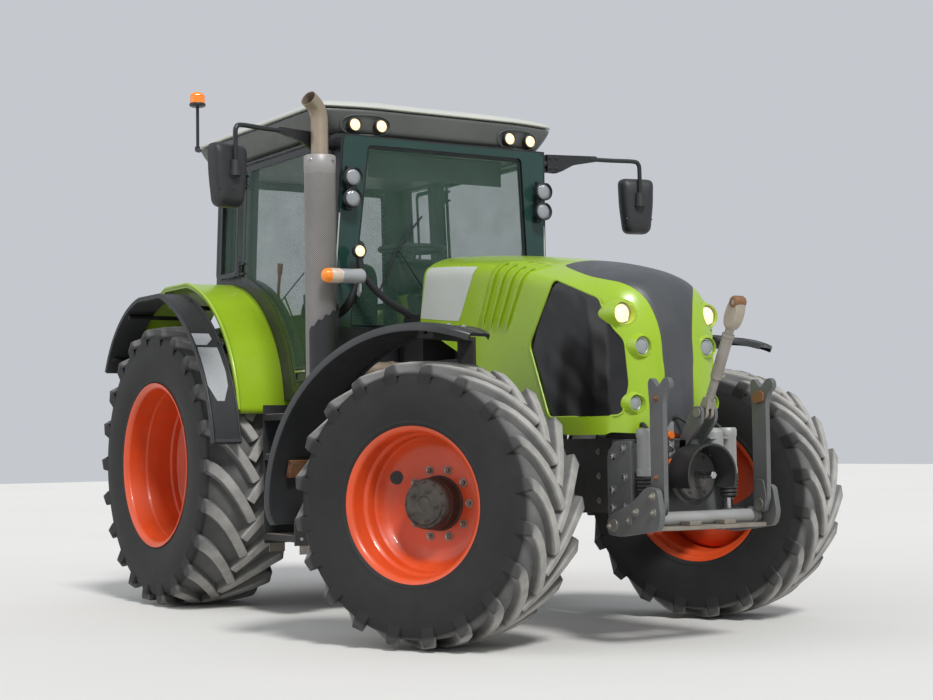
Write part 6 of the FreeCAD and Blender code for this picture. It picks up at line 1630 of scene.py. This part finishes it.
def make_front_lift():
    """Side plates with cross tube, skid plate and pins."""
    plates, tube, under, pins = Form(), Form(), Form(), Form()
    for name, side in SIDES:
        line = rounded([(0.080, 0.530), (0.180, 0.522), (0.460, 0.560), (0.485, 0.620), (0.460, 0.750),
                        (0.380, 0.760), (0.280, 0.690), (0.080, 0.612)], 0.026, 5)
        plates.prism(shifted(line, LINK), "y", *span(side, 0.336, 0.366))
        for x, z in ((0.105, 0.570), (0.250, 0.600), (0.300, 0.640), (0.425, 0.715), (0.430, 0.640)):
            bolt(pins, (LINK + x, side * 0.366, z), (0, side, 0), 0.0145, 0.013)
        tube.tube([(LINK + 0.340, side * 0.334, 0.604), (LINK + 0.340, side * 0.300, 0.604)], 0.044, 28)
        for offset in (0.033, -0.033):
            low, high = sorted((side * (0.250 + offset) - 0.007, side * (0.250 + offset) + 0.007))
            fork = rounded([(0.215, 0.578), (0.330, 0.574), (0.345, 0.600), (0.320, 0.640), (0.240, 0.640),
                            (0.215, 0.62)], 0.014, 3)
            plates.prism(shifted(fork, LINK), "y", low, high)
        pins.tube([(LINK + 0.240, side * 0.208, 0.602), (LINK + 0.240, side * 0.292, 0.602)], 0.010, 16)
        pins.tube([(LINK + 0.410, side * 0.290, 0.660), (LINK + 0.410, side * 0.348, 0.660)], 0.020, 24)
        pins.tube([(LINK + 0.410, side * 0.288, 0.660), (LINK + 0.410, side * 0.296, 0.660)], 0.030, 24)
    tube.tube([(LINK + 0.340, -0.336, 0.604), (LINK + 0.340, 0.336, 0.604)], 0.034, 32)
    skid = rounded([(0.304, 0.336), (0.304, -0.336), (0.420, -0.336), (0.460, -0.25), (0.460, 0.25),
                    (0.420, 0.336)], 0.02, 3)
    under.prism(shifted(skid, LINK), "z", 0.556, 0.574)
    for y in (-0.16, 0.05):
        under.box((LINK + 0.370, y, 0.574), (LINK + 0.440, y + 0.07, 0.596))
    piece("front_lift_plates", "front_lift", plates, GREY, "grey_paint", 0.004, ("front_lift_frame",))
    piece("front_lift_tube", "front_lift", tube, LIGHT_GREY, "grey_paint", 0.002)
    piece("front_lift_skid", "front_lift", under, STEP, "step_steel", 0.003)
    piece("front_lift_pins", "front_lift", pins, WORN, "bare_steel", 0.001)


def make_front_hooks():
    """Hook arms folded up, with their catches."""
    arms, catches = Form(), Form()
    for name, side in SIDES:
        line = [(-0.027, 0.624), (0.027, 0.624), (0.052, 0.690), (0.055, 0.900), (0.055, 1.150),
                (0.075, 1.190), (0.105, 1.212), (0.108, 1.240), (0.088, 1.262), (0.058, 1.256),
                (0.034, 1.232), (0.018, 1.216), (0.004, 1.232), (-0.018, 1.258), (-0.042, 1.260),
                (-0.055, 1.240), (-0.052, 1.200), (-0.045, 1.130), (-0.045, 0.900), (-0.045, 0.700)]
        arms.prism([(LINK + 0.410 + x, z) for x, z in rounded(line, 0.012, 3)], "y",
                   *span(side, 0.300, 0.326))
        boss = rounded([(-0.040, 0.624), (0.040, 0.624), (0.048, 0.70), (0.030, 0.78), (-0.030, 0.78),
                        (-0.042, 0.70)], 0.02, 3)
        arms.prism([(LINK + 0.410 + x, z) for x, z in boss], "y", *span(side, 0.294, 0.3005))
        catch = rounded([(-0.020, 1.140), (0.045, 1.150), (0.050, 1.190), (0.020, 1.205), (-0.005, 1.200),
                         (-0.030, 1.170)], 0.01, 3)
        catches.prism([(LINK + 0.410 + x, z) for x, z in catch], "y", *span(side, 0.288, 0.2995))
        bolt(catches, (LINK + 0.415, side * 0.326, 1.165), (0, side, 0), 0.012, 0.010)
        bolt(catches, (LINK + 0.405, side * 0.326, 0.80), (0, side, 0), 0.011, 0.009)
    piece("front_hooks", "front_hooks", arms, GREY, "grey_paint", 0.0045, ("front_hook_arms",), 40)
    piece("front_hook_catches", "front_hooks", catches, RUST, "bare_steel", 0.0015)


def make_front_top_link():
    """Threaded bar with its fork, head and ball."""
    place = Matrix.Translation((LINK + 0.380, 0, 1.100)) @ Matrix.Rotation(math.radians(-64), 4, "Y")
    bar = Form().tube([(0.030, 0, 0), (0.060, 0, 0), (0.062, 0, 0), (0.175, 0, 0), (0.177, 0, 0),
                       (0.385, 0, 0), (0.387, 0, 0), (0.400, 0, 0), (0.402, 0, 0), (0.450, 0, 0),
                       (0.470, 0, 0), (0.520, 0, 0)], [0.026, 0.024, 0.019, 0.019, 0.0275, 0.0275, 0.030,
                                                       0.030, 0.021, 0.021, 0.026, 0.026], 32)
    thread = [(0.0195 + 0.0022 * (k % 2), 0.066 + 0.0045 * k) for k in range(24)]
    bar.turned(thread, axis="x", steps=24)
    for y in (-0.025, 0.0075):
        cheek = [(0.033 * math.cos(a), 0.033 * math.sin(a)) for a in (math.radians(50 + 13 * k)
                                                                      for k in range(21))]
        bar.prism(cheek + [(0.052, -0.024), (0.075, -0.018), (0.075, 0.018), (0.052, 0.024)], "y", y,
                  y + 0.0175)
    bar.tube([(0.175, 0.024, 0.004), (0.180, 0.045, 0.006), (0.185, 0.060, 0.010)], 0.006, 8)
    piece("front_top_link_bar", "front_top_link", bar, WORN, "bare_steel", 0.0012, ("front_top_link",), 40,
          2, place)
    head = Form()
    line = rounded([(0.425, -0.024), (0.470, -0.042), (0.530, -0.040), (0.566, -0.028), (0.586, -0.008),
                    (0.590, 0.012), (0.576, 0.025), (0.530, 0.040), (0.470, 0.042), (0.425, 0.024)], 0.02, 4)
    rings = []
    for y, shrink in ((-0.030, 0.80), (-0.026, 0.92), (-0.018, 1.0), (0.018, 1.0), (0.026, 0.92),
                      (0.030, 0.80)):
        rings.append([(0.52 + (x - 0.52) * shrink, y, z * shrink) for x, z in line])
    head.loft(rings)
    piece("front_top_link_head", "front_top_link", head, DUSTY, "bare_steel", 0.001, angle=50, matrix=place)
    ball = Form().turned([(0.0128, -0.033), (0.020, -0.0335), (0.026, -0.030), (0.030, -0.022),
                          (0.030, 0.022), (0.026, 0.030), (0.020, 0.0335), (0.0128, 0.033)], (0.560, 0, 0),
                         "y", 32, True)
    piece("front_top_link_ball", "front_top_link", ball, RUST, "bare_steel", angle=50, matrix=place)


SHEEN = surface("fender_plastic", (0.026, 0.027, 0.029), 0.36, 0.0, 0.12, 4.0, 500.0, 0.05)
DUSTY = surface("dusty_beige", (0.34, 0.30, 0.24), 0.62, 0.15, 0.18, 12.0, 260.0, 0.25, 0.3, 1.6, scuff=0.3)
make_fenders()
make_steps()
make_front_fenders()
make_linkage_frame()
make_front_drive()
make_front_couplers()
make_front_lift()
make_front_hooks()
make_front_top_link()


# Seat, controls and cab floor
def cushion(low, high, crown, puff):
    """A padded block, crowned on its top, its sides pulled in between the corners."""
    count = 22
    low, high = Vector(low), Vector(high)
    middle, half = (low + high) / 2, (high - low) / 2
    form = Form()
    points = []
    for i in range(count + 1):
        for j in range(count + 1):
            for k in range(count + 1):
                if 0 < i < count and 0 < j < count and 0 < k < count:
                    continue
                points.append((i, j, k))
    index = {key: n for n, key in enumerate(points)}
    for axis in range(3):
        for end in (0, count):
            for a in range(count):
                for b in range(count):
                    quad = []
                    for da, db in ((0, 0), (1, 0), (1, 1), (0, 1)):
                        key = [0, 0, 0]
                        key[axis] = end
                        key[(axis + 1) % 3] = a + da
                        key[(axis + 2) % 3] = b + db
                        quad.append(index[tuple(key)])
                    form.faces.append(tuple(quad if end else quad[::-1]))
    for key in points:
        share = Vector([2 * c / count - 1 for c in key])
        corner = Vector([abs(v) ** 6 for v in share])
        inset = Vector([1 - 0.10 * (corner[(n + 1) % 3] + corner[(n + 2) % 3]) for n in range(3)])
        p = Vector([middle[n] + half[n] * share[n] * inset[n] for n in range(3)])
        for n in range(3):
            a, b = share[(n + 1) % 3], share[(n + 2) % 3]
            p[n] += puff * share[n] * (1 - a * a) * (1 - b * b) * (1.0 if n == crown else 0.5)
        form.points.append(p)
    return form


def seams(form, points, size=0.0035):
    """Adds a raised seam along a smooth line."""
    return form.tube(curve(points, 5), size, 8)


def make_seat():
    """Seat with its bellows, cushions, seams and arm rests."""
    base = Form()
    base.box((AXLE + 0.345, -0.140, 1.300), (AXLE + 0.625, 0.140, 1.345))
    for k in range(6):
        low, wide = 1.350 + 0.034 * k, 0.140 - 0.006 * (k % 2)
        base.loft([[(AXLE + 0.485 + x * wide, y * wide, z) for x, y in rounded([(-1, -1), (1, -1), (1, 1),
                                                                                (-1, 1)], 0.3, 4)]
                   for z in (low, low + 0.030)])
    base.box((AXLE + 0.300, -0.215, 1.555), (AXLE + 0.690, 0.215, 1.598))
    piece("seat_base", "chassis", base, TRIM, "dark_trim", 0.004, ("seat",))
    for name, back, front, half, foot, top, crown, puff in (("seat_cushion", 0.265, 0.735, 0.245, 1.600,
                                                             1.715, 2, 0.012), ("seat_back", 0.175, 0.285,
                                                                                0.235, 1.690, 2.150, 0,
                                                                                0.014), ("seat_head", 0.180,
                                                                                         0.270, 0.150,
                                                                                         2.170, 2.305, 0,
                                                                                         0.012)):
        form = cushion((AXLE + back, -half, foot), (AXLE + front, half, top), crown, puff)
        piece(name, "chassis", form, CLOTH, "seat_cloth", angle=80, sub=1)
    lines = Form()
    for y in (-0.120, 0.120):
        seams(lines, shifted([(0.290, y, 1.716), (0.50, y * 1.02, 1.7245), (0.715, y, 1.716)]))
        seams(lines, shifted([(0.288, y, 1.73), (0.297, y * 1.02, 1.92), (0.288, y, 2.12)]))
    for z in (1.82, 2.02):
        seams(lines, shifted([(0.289, -0.118, z), (0.2985, 0, z), (0.289, 0.118, z)]))
    seams(lines, shifted([(0.48, -0.118, 1.7235), (0.48, 0.0, 1.7275), (0.48, 0.118, 1.7235)]))
    piece("seat_seams", "chassis", lines, FRAME, "seat_cloth")
    frame = Form().tube([(AXLE + 0.225, -0.08, 2.12), (AXLE + 0.225, -0.08, 2.20)], 0.009, 10)
    frame.tube([(AXLE + 0.225, 0.08, 2.12), (AXLE + 0.225, 0.08, 2.20)], 0.009, 10)
    frame.box((AXLE + 0.172, -0.20, 1.62), (AXLE + 0.200, 0.20, 1.72))
    for side in (1, -1):
        frame.tube([(AXLE + 0.21, side * 0.242, 1.87), (AXLE + 0.52, side * 0.242, 1.86)], 0.022, 14)
        frame.tube([(AXLE + 0.215, side * 0.240, 1.66), (AXLE + 0.215, side * 0.240, 1.88)], 0.013, 10)
    piece("seat_frame", "chassis", frame, TRIM, "dark_trim", 0.002)


def make_controls():
    """Steering column with its dash and wheel."""
    column = Form().turned([(TIP, 1.300), (0.075, 1.300), (0.072, 1.34), (0.055, 1.40), (0.050, 1.80),
                            (0.058, 1.86), (0.040, 1.88), (TIP, 1.88)], (AXLE + 1.150, 0, 0), "z", 36)
    column.tube(shifted([(1.150, 0, 1.84), (1.110, 0, 1.94), (1.110, 0, 2.145)]), 0.024, 20)
    dash = rounded([(1.075, 1.93), (1.20, 1.88), (1.23, 1.93), (1.20, 2.05), (1.14, 2.10), (1.09, 2.02)],
                   0.03, 4)
    column.prism(shifted(dash), "y", -0.150, 0.150)
    column.tube([(AXLE + 1.11, 0.10, 2.06), (AXLE + 1.09, 0.20, 2.10)], 0.007, 8)
    column.tube([(AXLE + 1.11, -0.10, 2.06), (AXLE + 1.09, -0.20, 2.09)], 0.007, 8)
    piece("steering_column_shell", "chassis", column, TRIM, "dark_trim", 0.003, ("steering_column",))
    wheel = Form()
    ring = [(AXLE + 1.110 + 0.195 * math.cos(a), 0.195 * math.sin(a), 2.150) for a in (2 * math.pi * k / 56
                                                                                       for k in range(57))]
    wheel.tube(ring, 0.0155, 14, False)
    for angle in (90, 210, 330):
        a = math.radians(angle + 90)
        wheel.tube([(AXLE + 1.110, 0, 2.138), (AXLE + 1.110 + 0.19 * math.cos(a), 0.19 * math.sin(a),
                                               2.150)], [0.020, 0.010], 12)
    wheel.turned([(TIP, 2.160), (0.045, 2.158), (0.052, 2.150), (0.045, 2.130), (TIP, 2.126)],
                 (AXLE + 1.110, 0, 0), "z", 32)
    piece("steering_wheel", "chassis", wheel, HOSE, "soft_rubber")


def make_console():
    """Console with its arm rest, screen, grips and parking lever."""
    side = Form()
    line = rounded([(0.120, 1.300), (0.760, 1.300), (0.760, 1.70), (0.700, 1.780), (0.180, 1.780),
                    (0.120, 1.72)], 0.04, 4)
    side.prism(shifted(line), "y", -0.480, -0.300)
    pad = rounded([(0.400, 1.790), (0.850, 1.790), (0.862, 1.82), (0.850, 1.860), (0.430, 1.860)], 0.02, 4)
    side.prism(shifted(pad), "y", -0.400, -0.290)
    side.tube([(AXLE + 0.80, -0.345, 1.85), (AXLE + 0.83, -0.345, 1.93)], 0.012, 12)
    side.prism([(AXLE + x, z) for x, z in rounded([(0.86, 1.93), (0.99, 1.93), (0.97, 2.12), (0.84, 2.12)],
                                                  0.015, 3)], "y", -0.42, -0.400)
    side.tube([(AXLE + 0.85, -0.36, 1.85), (AXLE + 0.91, -0.405, 1.95)], 0.010, 10)
    piece("console_shell", "chassis", side, TRIM, "dark_trim", 0.004, ("console",))
    grips = Form()
    for x, y, high in ((0.80, -0.345, 1.93), (0.64, -0.43, 1.86), (0.58, -0.43, 1.86), (0.52, -0.43, 1.86)):
        grips.tube([(AXLE + x, y, 1.775), (AXLE + x + 0.01, y, high)], 0.005, 8)
        grips.tube([(AXLE + x + 0.01, y, high - 0.01), (AXLE + x + 0.014, y, high + 0.045)], [0.012, 0.016],
                   14)
    piece("console_grips", "chassis", grips, HOSE, "soft_rubber")
    lever = Form().tube(curve(shifted([(0.34, -0.47, 1.78), (0.30, -0.50, 1.90), (0.36, -0.52, 2.06)]), 5),
                        0.010, 12)
    lever.tube([(AXLE + 0.355, -0.519, 2.04), (AXLE + 0.372, -0.522, 2.11)], [0.015, 0.018], 14)
    piece("park_lever", "chassis", lever, ORANGE, "dark_trim")


def make_cab_fittings():
    """Floor ribs, pedals, sun visor, roof lining and belt lamp."""
    mat = Form()
    for k in range(16):
        y = -0.43 + 0.058 * k
        mat.box((AXLE + 0.80, y, 1.2995), (AXLE + 1.34, y + 0.03, 1.303))
    piece("floor_ribs", "chassis", mat, FLOORMAT, "soft_rubber")
    pedals = Form()
    for y in (-0.20, -0.12, 0.16):
        pedals.tube([(AXLE + 1.34, y, 1.50), (AXLE + 1.27, y, 1.38)], 0.008, 8)
        pedals.box((AXLE + 1.245, y - 0.028, 1.345), (AXLE + 1.262, y + 0.028, 1.425))
    piece("pedals", "chassis", pedals, WORN, "bare_steel", 0.002)
    visor = Form().box((AXLE + 1.395, -0.46, 2.52), (AXLE + 1.402, 0.46, 2.665))
    visor.tube([(AXLE + 1.39, -0.47, 2.66), (AXLE + 1.39, 0.47, 2.66)], 0.016, 16)
    visor.tube([(AXLE + 1.20, -0.30, 2.62), (AXLE + 1.20, 0.30, 2.62)], 0.03, 16)
    piece("sun_visor", "chassis", visor, TRIM, "dark_trim", 0.001)
    lining = Form()
    for z, x, half in ((2.70, 1.30, 0.62), (2.735, 1.36, 0.66)):
        lining.box((AXLE - 0.10, -half, z), (AXLE + x, half, z + 0.010))
    piece("roof_lining", "chassis", lining, UNDER, "dark_trim", 0.004)
    lamp("belt_lamp", 1.600, -0.630, 2.061, 0.040, 0.055, True)
    stand = Form().tube(curve(shifted([(1.575, -0.628, 2.04), (1.580, -0.600, 1.93), (1.600, -0.480, 1.80),
                                       (1.630, -0.300, 1.69)]), 6), 0.021, 12)
    piece("belt_lamp_stand", "chassis", stand, FRAME, "cab_black")


# Backbone, axles and rear linkage
def make_chassis():
    """Plugs, pipes, filters and ribs on the engine."""
    block = Form()
    for side in (1, -1):
        for x in (1.55, 1.77, 1.99, 2.21):
            block.turned([(TIP, side * 0.258), (0.045, side * 0.257), (0.050, side * 0.250),
                          (0.050, side * 0.236)], (AXLE + x, 0, 1.20), "y", 28)
        block.tube([(AXLE + 1.50, side * 0.245, 0.72), (AXLE + 2.30, side * 0.245, 0.72)], 0.012, 12)
        block.tube(shifted([(1.50, side * 0.250, 0.80), (2.10, side * 0.250, 0.84),
                            (2.33, side * 0.246, 0.95)]), 0.010, 12)
        low, high = span(side, 0.236, 0.262)
        block.box((AXLE + 1.55, low, 0.86), (AXLE + 2.25, high, 0.90))
    for x, r, foot in ((1.72, 0.056, 0.56), (1.90, 0.050, 0.54)):
        can = [(TIP, foot), (r - 0.006, foot + 0.002), (r, foot + 0.015), (r, 0.66), (0.030, 0.668),
               (0.030, 0.70)]
        block.turned(can, (AXLE + x, -0.275, 0), "z", 28)
    for z in (0.70, 0.95, 1.25):
        block.box((AXLE + 1.436, -0.245, z), (AXLE + 1.462, 0.245, z + 0.03))
    piece("engine_fittings", "chassis", block, CAST, "cast_grey", 0.002)


def make_hoses():
    """Hoses from the gearbox to the front and on to the axle, and the frame's bolts."""
    lines, frame_bolts = Form(), Form()
    for side in (1, -1):
        for points, r in ((((1.42, 0.24, 0.62), (1.70, 0.27, 0.60), (2.05, 0.26, 0.62), (2.36, 0.22, 0.70)),
                           0.013), (((1.42, 0.24, 0.66), (1.75, 0.29, 0.66), (2.10, 0.29, 0.70),
                                     (2.40, 0.22, 0.78)), 0.011), (((2.40, 0.205, 0.90), (2.62, 0.24, 0.93),
                                                                    (2.80, 0.30, 0.84), (2.86, 0.42, 0.75)),
                                                                   0.010),
                          (((2.40, 0.205, 0.87), (2.58, 0.25, 0.90), (2.76, 0.32, 0.82),
                            (2.84, 0.44, 0.76)), 0.010)):
            lines.tube(curve([(AXLE + x, side * y, z) for x, y, z in points], 8), r, 12)
        for x in (2.40, 2.50, 3.22, 3.32):
            for z in (0.68, 0.80, 0.92):
                bolt(frame_bolts, (AXLE + x, side * 0.200, z), (0, side, 0), 0.011, 0.009)
    piece("chassis_hoses", "chassis", lines, HOSE, "soft_rubber")
    piece("frame_bolts", "chassis", frame_bolts, WORN, "bare_steel")


def make_axle_fittings():
    """Hubs and bolts of the front axle, rear axle flanges and cab mounts."""
    axle = Form()
    for side in (1, -1):
        axle.turned([(TIP, side * 0.330), (0.036, side * 0.332), (0.036, side * 0.345),
                     (0.030, side * 0.352), (0.030, side * 0.372), (0.020, side * 0.378)],
                    (AXLE + 2.670, 0, 0.685), "y", 24)
        axle.tube([(AXLE + 2.670, side * 0.36, 0.685), (AXLE + 2.668, side * 0.47, 0.690)], 0.014, 16)
        axle.turned([(TIP, 0.008), (0.024, 0.008), (0.030, 0.0), (0.024, -0.012)],
                    (AXLE + 2.668, side * 0.475, 0.690), "z", 20)
        for x in (2.74, 2.90):
            for y in (0.30, 0.44):
                bolt(axle, (AXLE + x, side * y, 0.745), (0, 0, 1), 0.011, 0.010)
    piece("front_axle_fittings", "chassis", axle, WORN, "bare_steel", 0.001)
    rear = Form()
    for side in (1, -1):
        for a in turns(12):
            at = (AXLE + 0.165 * math.cos(a), side * 0.232, REAR_RADIUS + 0.165 * math.sin(a))
            bolt(rear, at, (0, side, 0), 0.011, 0.010)
    for side in (1, -1):
        flange = ((0.180, 0.228), (0.195, 0.232), (0.195, 0.250), (0.150, 0.256), (0.140, 0.24))
        rear.turned([(r, side * y) for r, y in flange], (AXLE, 0, REAR_RADIUS), "y", 48)
    for x in (0.30, 0.62, 0.94):
        rear.box((AXLE + x, -0.2345, 0.54), (AXLE + x + 0.03, 0.2345, 1.10))
    piece("rear_axle_flanges", "chassis", rear, CAST, "cast_grey", 0.0015)
    pads = Form()
    for side in (1, -1):
        for x in (0.10, 1.30):
            pads.turned([(TIP, 1.165), (0.055, 1.165), (0.062, 1.175), (0.050, 1.20), (0.062, 1.225),
                         (0.055, 1.2385), (TIP, 1.2385)], (AXLE + x, side * 0.55, 0), "z", 28)
            low, high = span(side, 0.22, 0.60)
            pads.box((AXLE + x - 0.05, low, 1.10), (AXLE + x + 0.05, high, 1.165))
    piece("cab_mounts", "chassis", pads, TRIM, "dark_trim", 0.003)


def make_rear():
    """Couplers, guard, bolts, plate and rear lamps."""
    face = AXLE - 0.330
    couplers, caps, bolts = Form(), Form(), Form()
    couplers.box((face - 0.07, -0.30, 1.140), (face + 0.02, -0.165, 1.170))
    for side in (1, -1):
        low, high = span(side, 0.150, 0.226)
        couplers.box((face - 0.060, low, 0.930), (face + 0.01, high, 1.085))
        for row, z in enumerate((0.965, 1.005, 1.045)):
            for y in (0.170, 0.207):
                couplers.tube([(face - 0.058, side * y, z), (face - 0.082, side * y, z)], 0.0155, 16)
                caps.turned([(TIP, -0.102), (0.014, -0.102), (0.0175, -0.097), (0.0175, -0.082),
                             (0.014, -0.078)], (face, side * y, z), "x", 20)
    piece("rear_couplers", "chassis", couplers, CAST, "cast_grey", 0.002)
    piece("rear_coupler_caps", "chassis", caps, ORANGE, "dark_trim")
    guard = Form()
    rows = []
    for k in range(33):
        a = math.radians(-20 + 220 * k / 32)
        rows.append([(face + x, r * math.cos(a), 0.660 + r * math.sin(a)) for x, r in ((-0.024, 0.110),
                                                                                       (-0.125, 0.118),
                                                                                       (-0.125, 0.112),
                                                                                       (-0.024, 0.104))])
    guard.loft(rows, True, True)
    piece("rear_drive_guard", "chassis", guard, TRIM, "dark_trim", angle=50)
    for z in (0.58, 0.74, 0.82, 0.96):
        for y in (-0.136, 0.136):
            bolt(bolts, (face - 0.090, y, z), (-1, 0, 0), 0.010, 0.009)
    for y in (-0.10, 0.10):
        for z in (1.02, 1.07):
            bolt(bolts, (face - 0.002, y, z), (-1, 0, 0), 0.012, 0.010)
    piece("rear_bolts", "chassis", bolts, WORN, "bare_steel")
    plate = Form().box((AXLE - 0.199, -0.26, 1.345), (AXLE - 0.192, 0.26, 1.455))
    piece("rear_plate", "chassis", plate, PALE, "clear_glass", 0.002)
    for name, side in SIDES:
        hinge = Form()
        for y in (0.30, 0.44):
            hinge.tube([(AXLE - 0.19, side * (y - 0.03), 2.700), (AXLE - 0.19, side * (y + 0.03), 2.700)],
                       0.014, 14)
        piece("rear_window_hinge_" + name, "chassis", hinge, FRAME, "cab_black")
        lamp_box = Form()
        lamp_box.turned([(TIP, 0.055), (0.040, 0.055), (0.052, 0.035), (0.054, 0.0), (0.050, -0.004),
                         (0.046, 0.0)], (AXLE - 0.235, side * 0.60, 2.70), "x", 32)
        piece("rear_lamp_" + name, "chassis", lamp_box, TRIM, "dark_trim")
        glass_form = Form().turned([(0.047, 0.002), (0.030, -0.004), (TIP, -0.006)],
                                   (AXLE - 0.235, side * 0.60, 2.70), "x", 32)
        piece("rear_lamp_lens_" + name, "chassis", glass_form, CLEAR, "lamp_lens")


def make_rear_top_link():
    """Threaded bar with its two eyes, and the collars of the lift rods."""
    place = Matrix.Translation((AXLE - 0.420, 0, 0.900)) @ Matrix.Rotation(math.radians(-155), 4, "Y")
    bar = Form().tube([(0.030, 0, 0), (0.060, 0, 0), (0.062, 0, 0), (0.200, 0, 0), (0.202, 0, 0),
                       (0.400, 0, 0), (0.402, 0, 0), (0.540, 0, 0), (0.570, 0, 0)],
                      [0.026, 0.024, 0.019, 0.019, 0.029, 0.029, 0.019, 0.019, 0.024], 28)
    bar.turned([(0.0195 + 0.002 * (k % 2), 0.068 + 0.0055 * k) for k in range(24)], axis="x", steps=20)
    bar.turned([(0.0195 + 0.002 * (k % 2), 0.405 + 0.0055 * k) for k in range(24)], axis="x", steps=20)
    for x, bore in ((0.0, 0.0155), (0.600, 0.0128)):
        bar.turned([(bore, -0.025), (0.033, -0.025), (0.036, -0.018), (0.036, 0.018), (0.033, 0.025),
                    (bore, 0.025)], (x, 0, 0), "y", 36, True)
    piece("rear_top_link_bar", "rear_top_link", bar, GREY, "grey_paint", 0.001, ("rear_top_link",), 40, 2,
          place)
    rods = Form()
    for side in (1, -1):
        for z in (0.86, 0.90, 0.94):
            rods.turned([(0.0135, z - 0.012), (0.022, z - 0.010), (0.022, z + 0.010), (0.0135, z + 0.012)],
                        (AXLE - 0.565, side * 0.317, 0), "z", 24)
        rods.turned([(0.0135, 0.98), (0.020, 0.985), (0.020, 1.08), (0.0135, 1.085)],
                    (AXLE - 0.565, side * 0.317, 0), "z", 24)
    piece("rear_rod_collars", "rear_rods", rods, GREY, "grey_paint")


make_seat()
make_controls()
make_console()
make_cab_fittings()
make_chassis()
make_hoses()
make_axle_fittings()
make_rear()
make_rear_top_link()


# Finishes of the pieces kept from the frame
KEPT = {"fender_left": LIME, "fender_right": LIME, "fender_skirts": TRIM, "cab_sides": FRAME,
        "cab_front": FRAME, "cab_rear": FRAME, "cab_floor": FLOORMAT, "side_windows": GLASS,
        "windscreen": GLASS, "rear_window": GLASS, "door_left": GLASS, "door_right": GLASS, "cowl": TRIM,
        "transmission": CAST, "rear_axle": CAST, "engine": CAST, "front_frame": CAST, "fuel_tank": TRIM,
        "battery_box": TRIM, "front_lift_rods": STEEL, "rear_hitch": CAST, "lift_shaft": CAST,
        "rear_lift_rods": STEEL, "knuckle_left": CAST, "knuckle_right": CAST,}
for name, node in nodes.items():
    node.data.materials.clear()
    node.data.materials.append(KEPT.get(name, GREY))
    for face in node.data.polygons:
        face.material_index = 0


def studio():
    """Pale floor and sky with two suns."""
    scene = bpy.context.scene
    scene.view_settings.view_transform = "Standard"
    world = bpy.data.worlds.new("studio")
    scene.world = world
    world.use_nodes = True
    world.node_tree.nodes["Background"].inputs["Color"].default_value = (0.90, 0.94, 1.0, 1)
    world.node_tree.nodes["Background"].inputs["Strength"].default_value = 0.62
    floor = bpy.data.objects.new("floor", bpy.data.meshes.new("floor"))
    floor.data.from_pydata([(-40, -40, -0.001), (40, -40, -0.001), (40, 40, -0.001), (-40, 40, -0.001)], [],
                           [(0, 1, 2, 3)])
    floor.data.materials.append(surface("floor", (0.66, 0.65, 0.62), 0.9, 0.0, 0.02, 0.3, 60.0, 0.02))
    scene.collection.objects.link(floor)
    for name, energy, angle, turn in (("sun", 2.6, 0.22, (40, 14, 62)), ("fill", 0.5, 0.9, (62, 0, -20))):
        light = bpy.data.objects.new(name, bpy.data.lights.new(name, "SUN"))
        light.data.energy = energy
        light.data.angle = angle
        light.rotation_euler = [math.radians(v) for v in turn]
        scene.collection.objects.link(light)


studio()
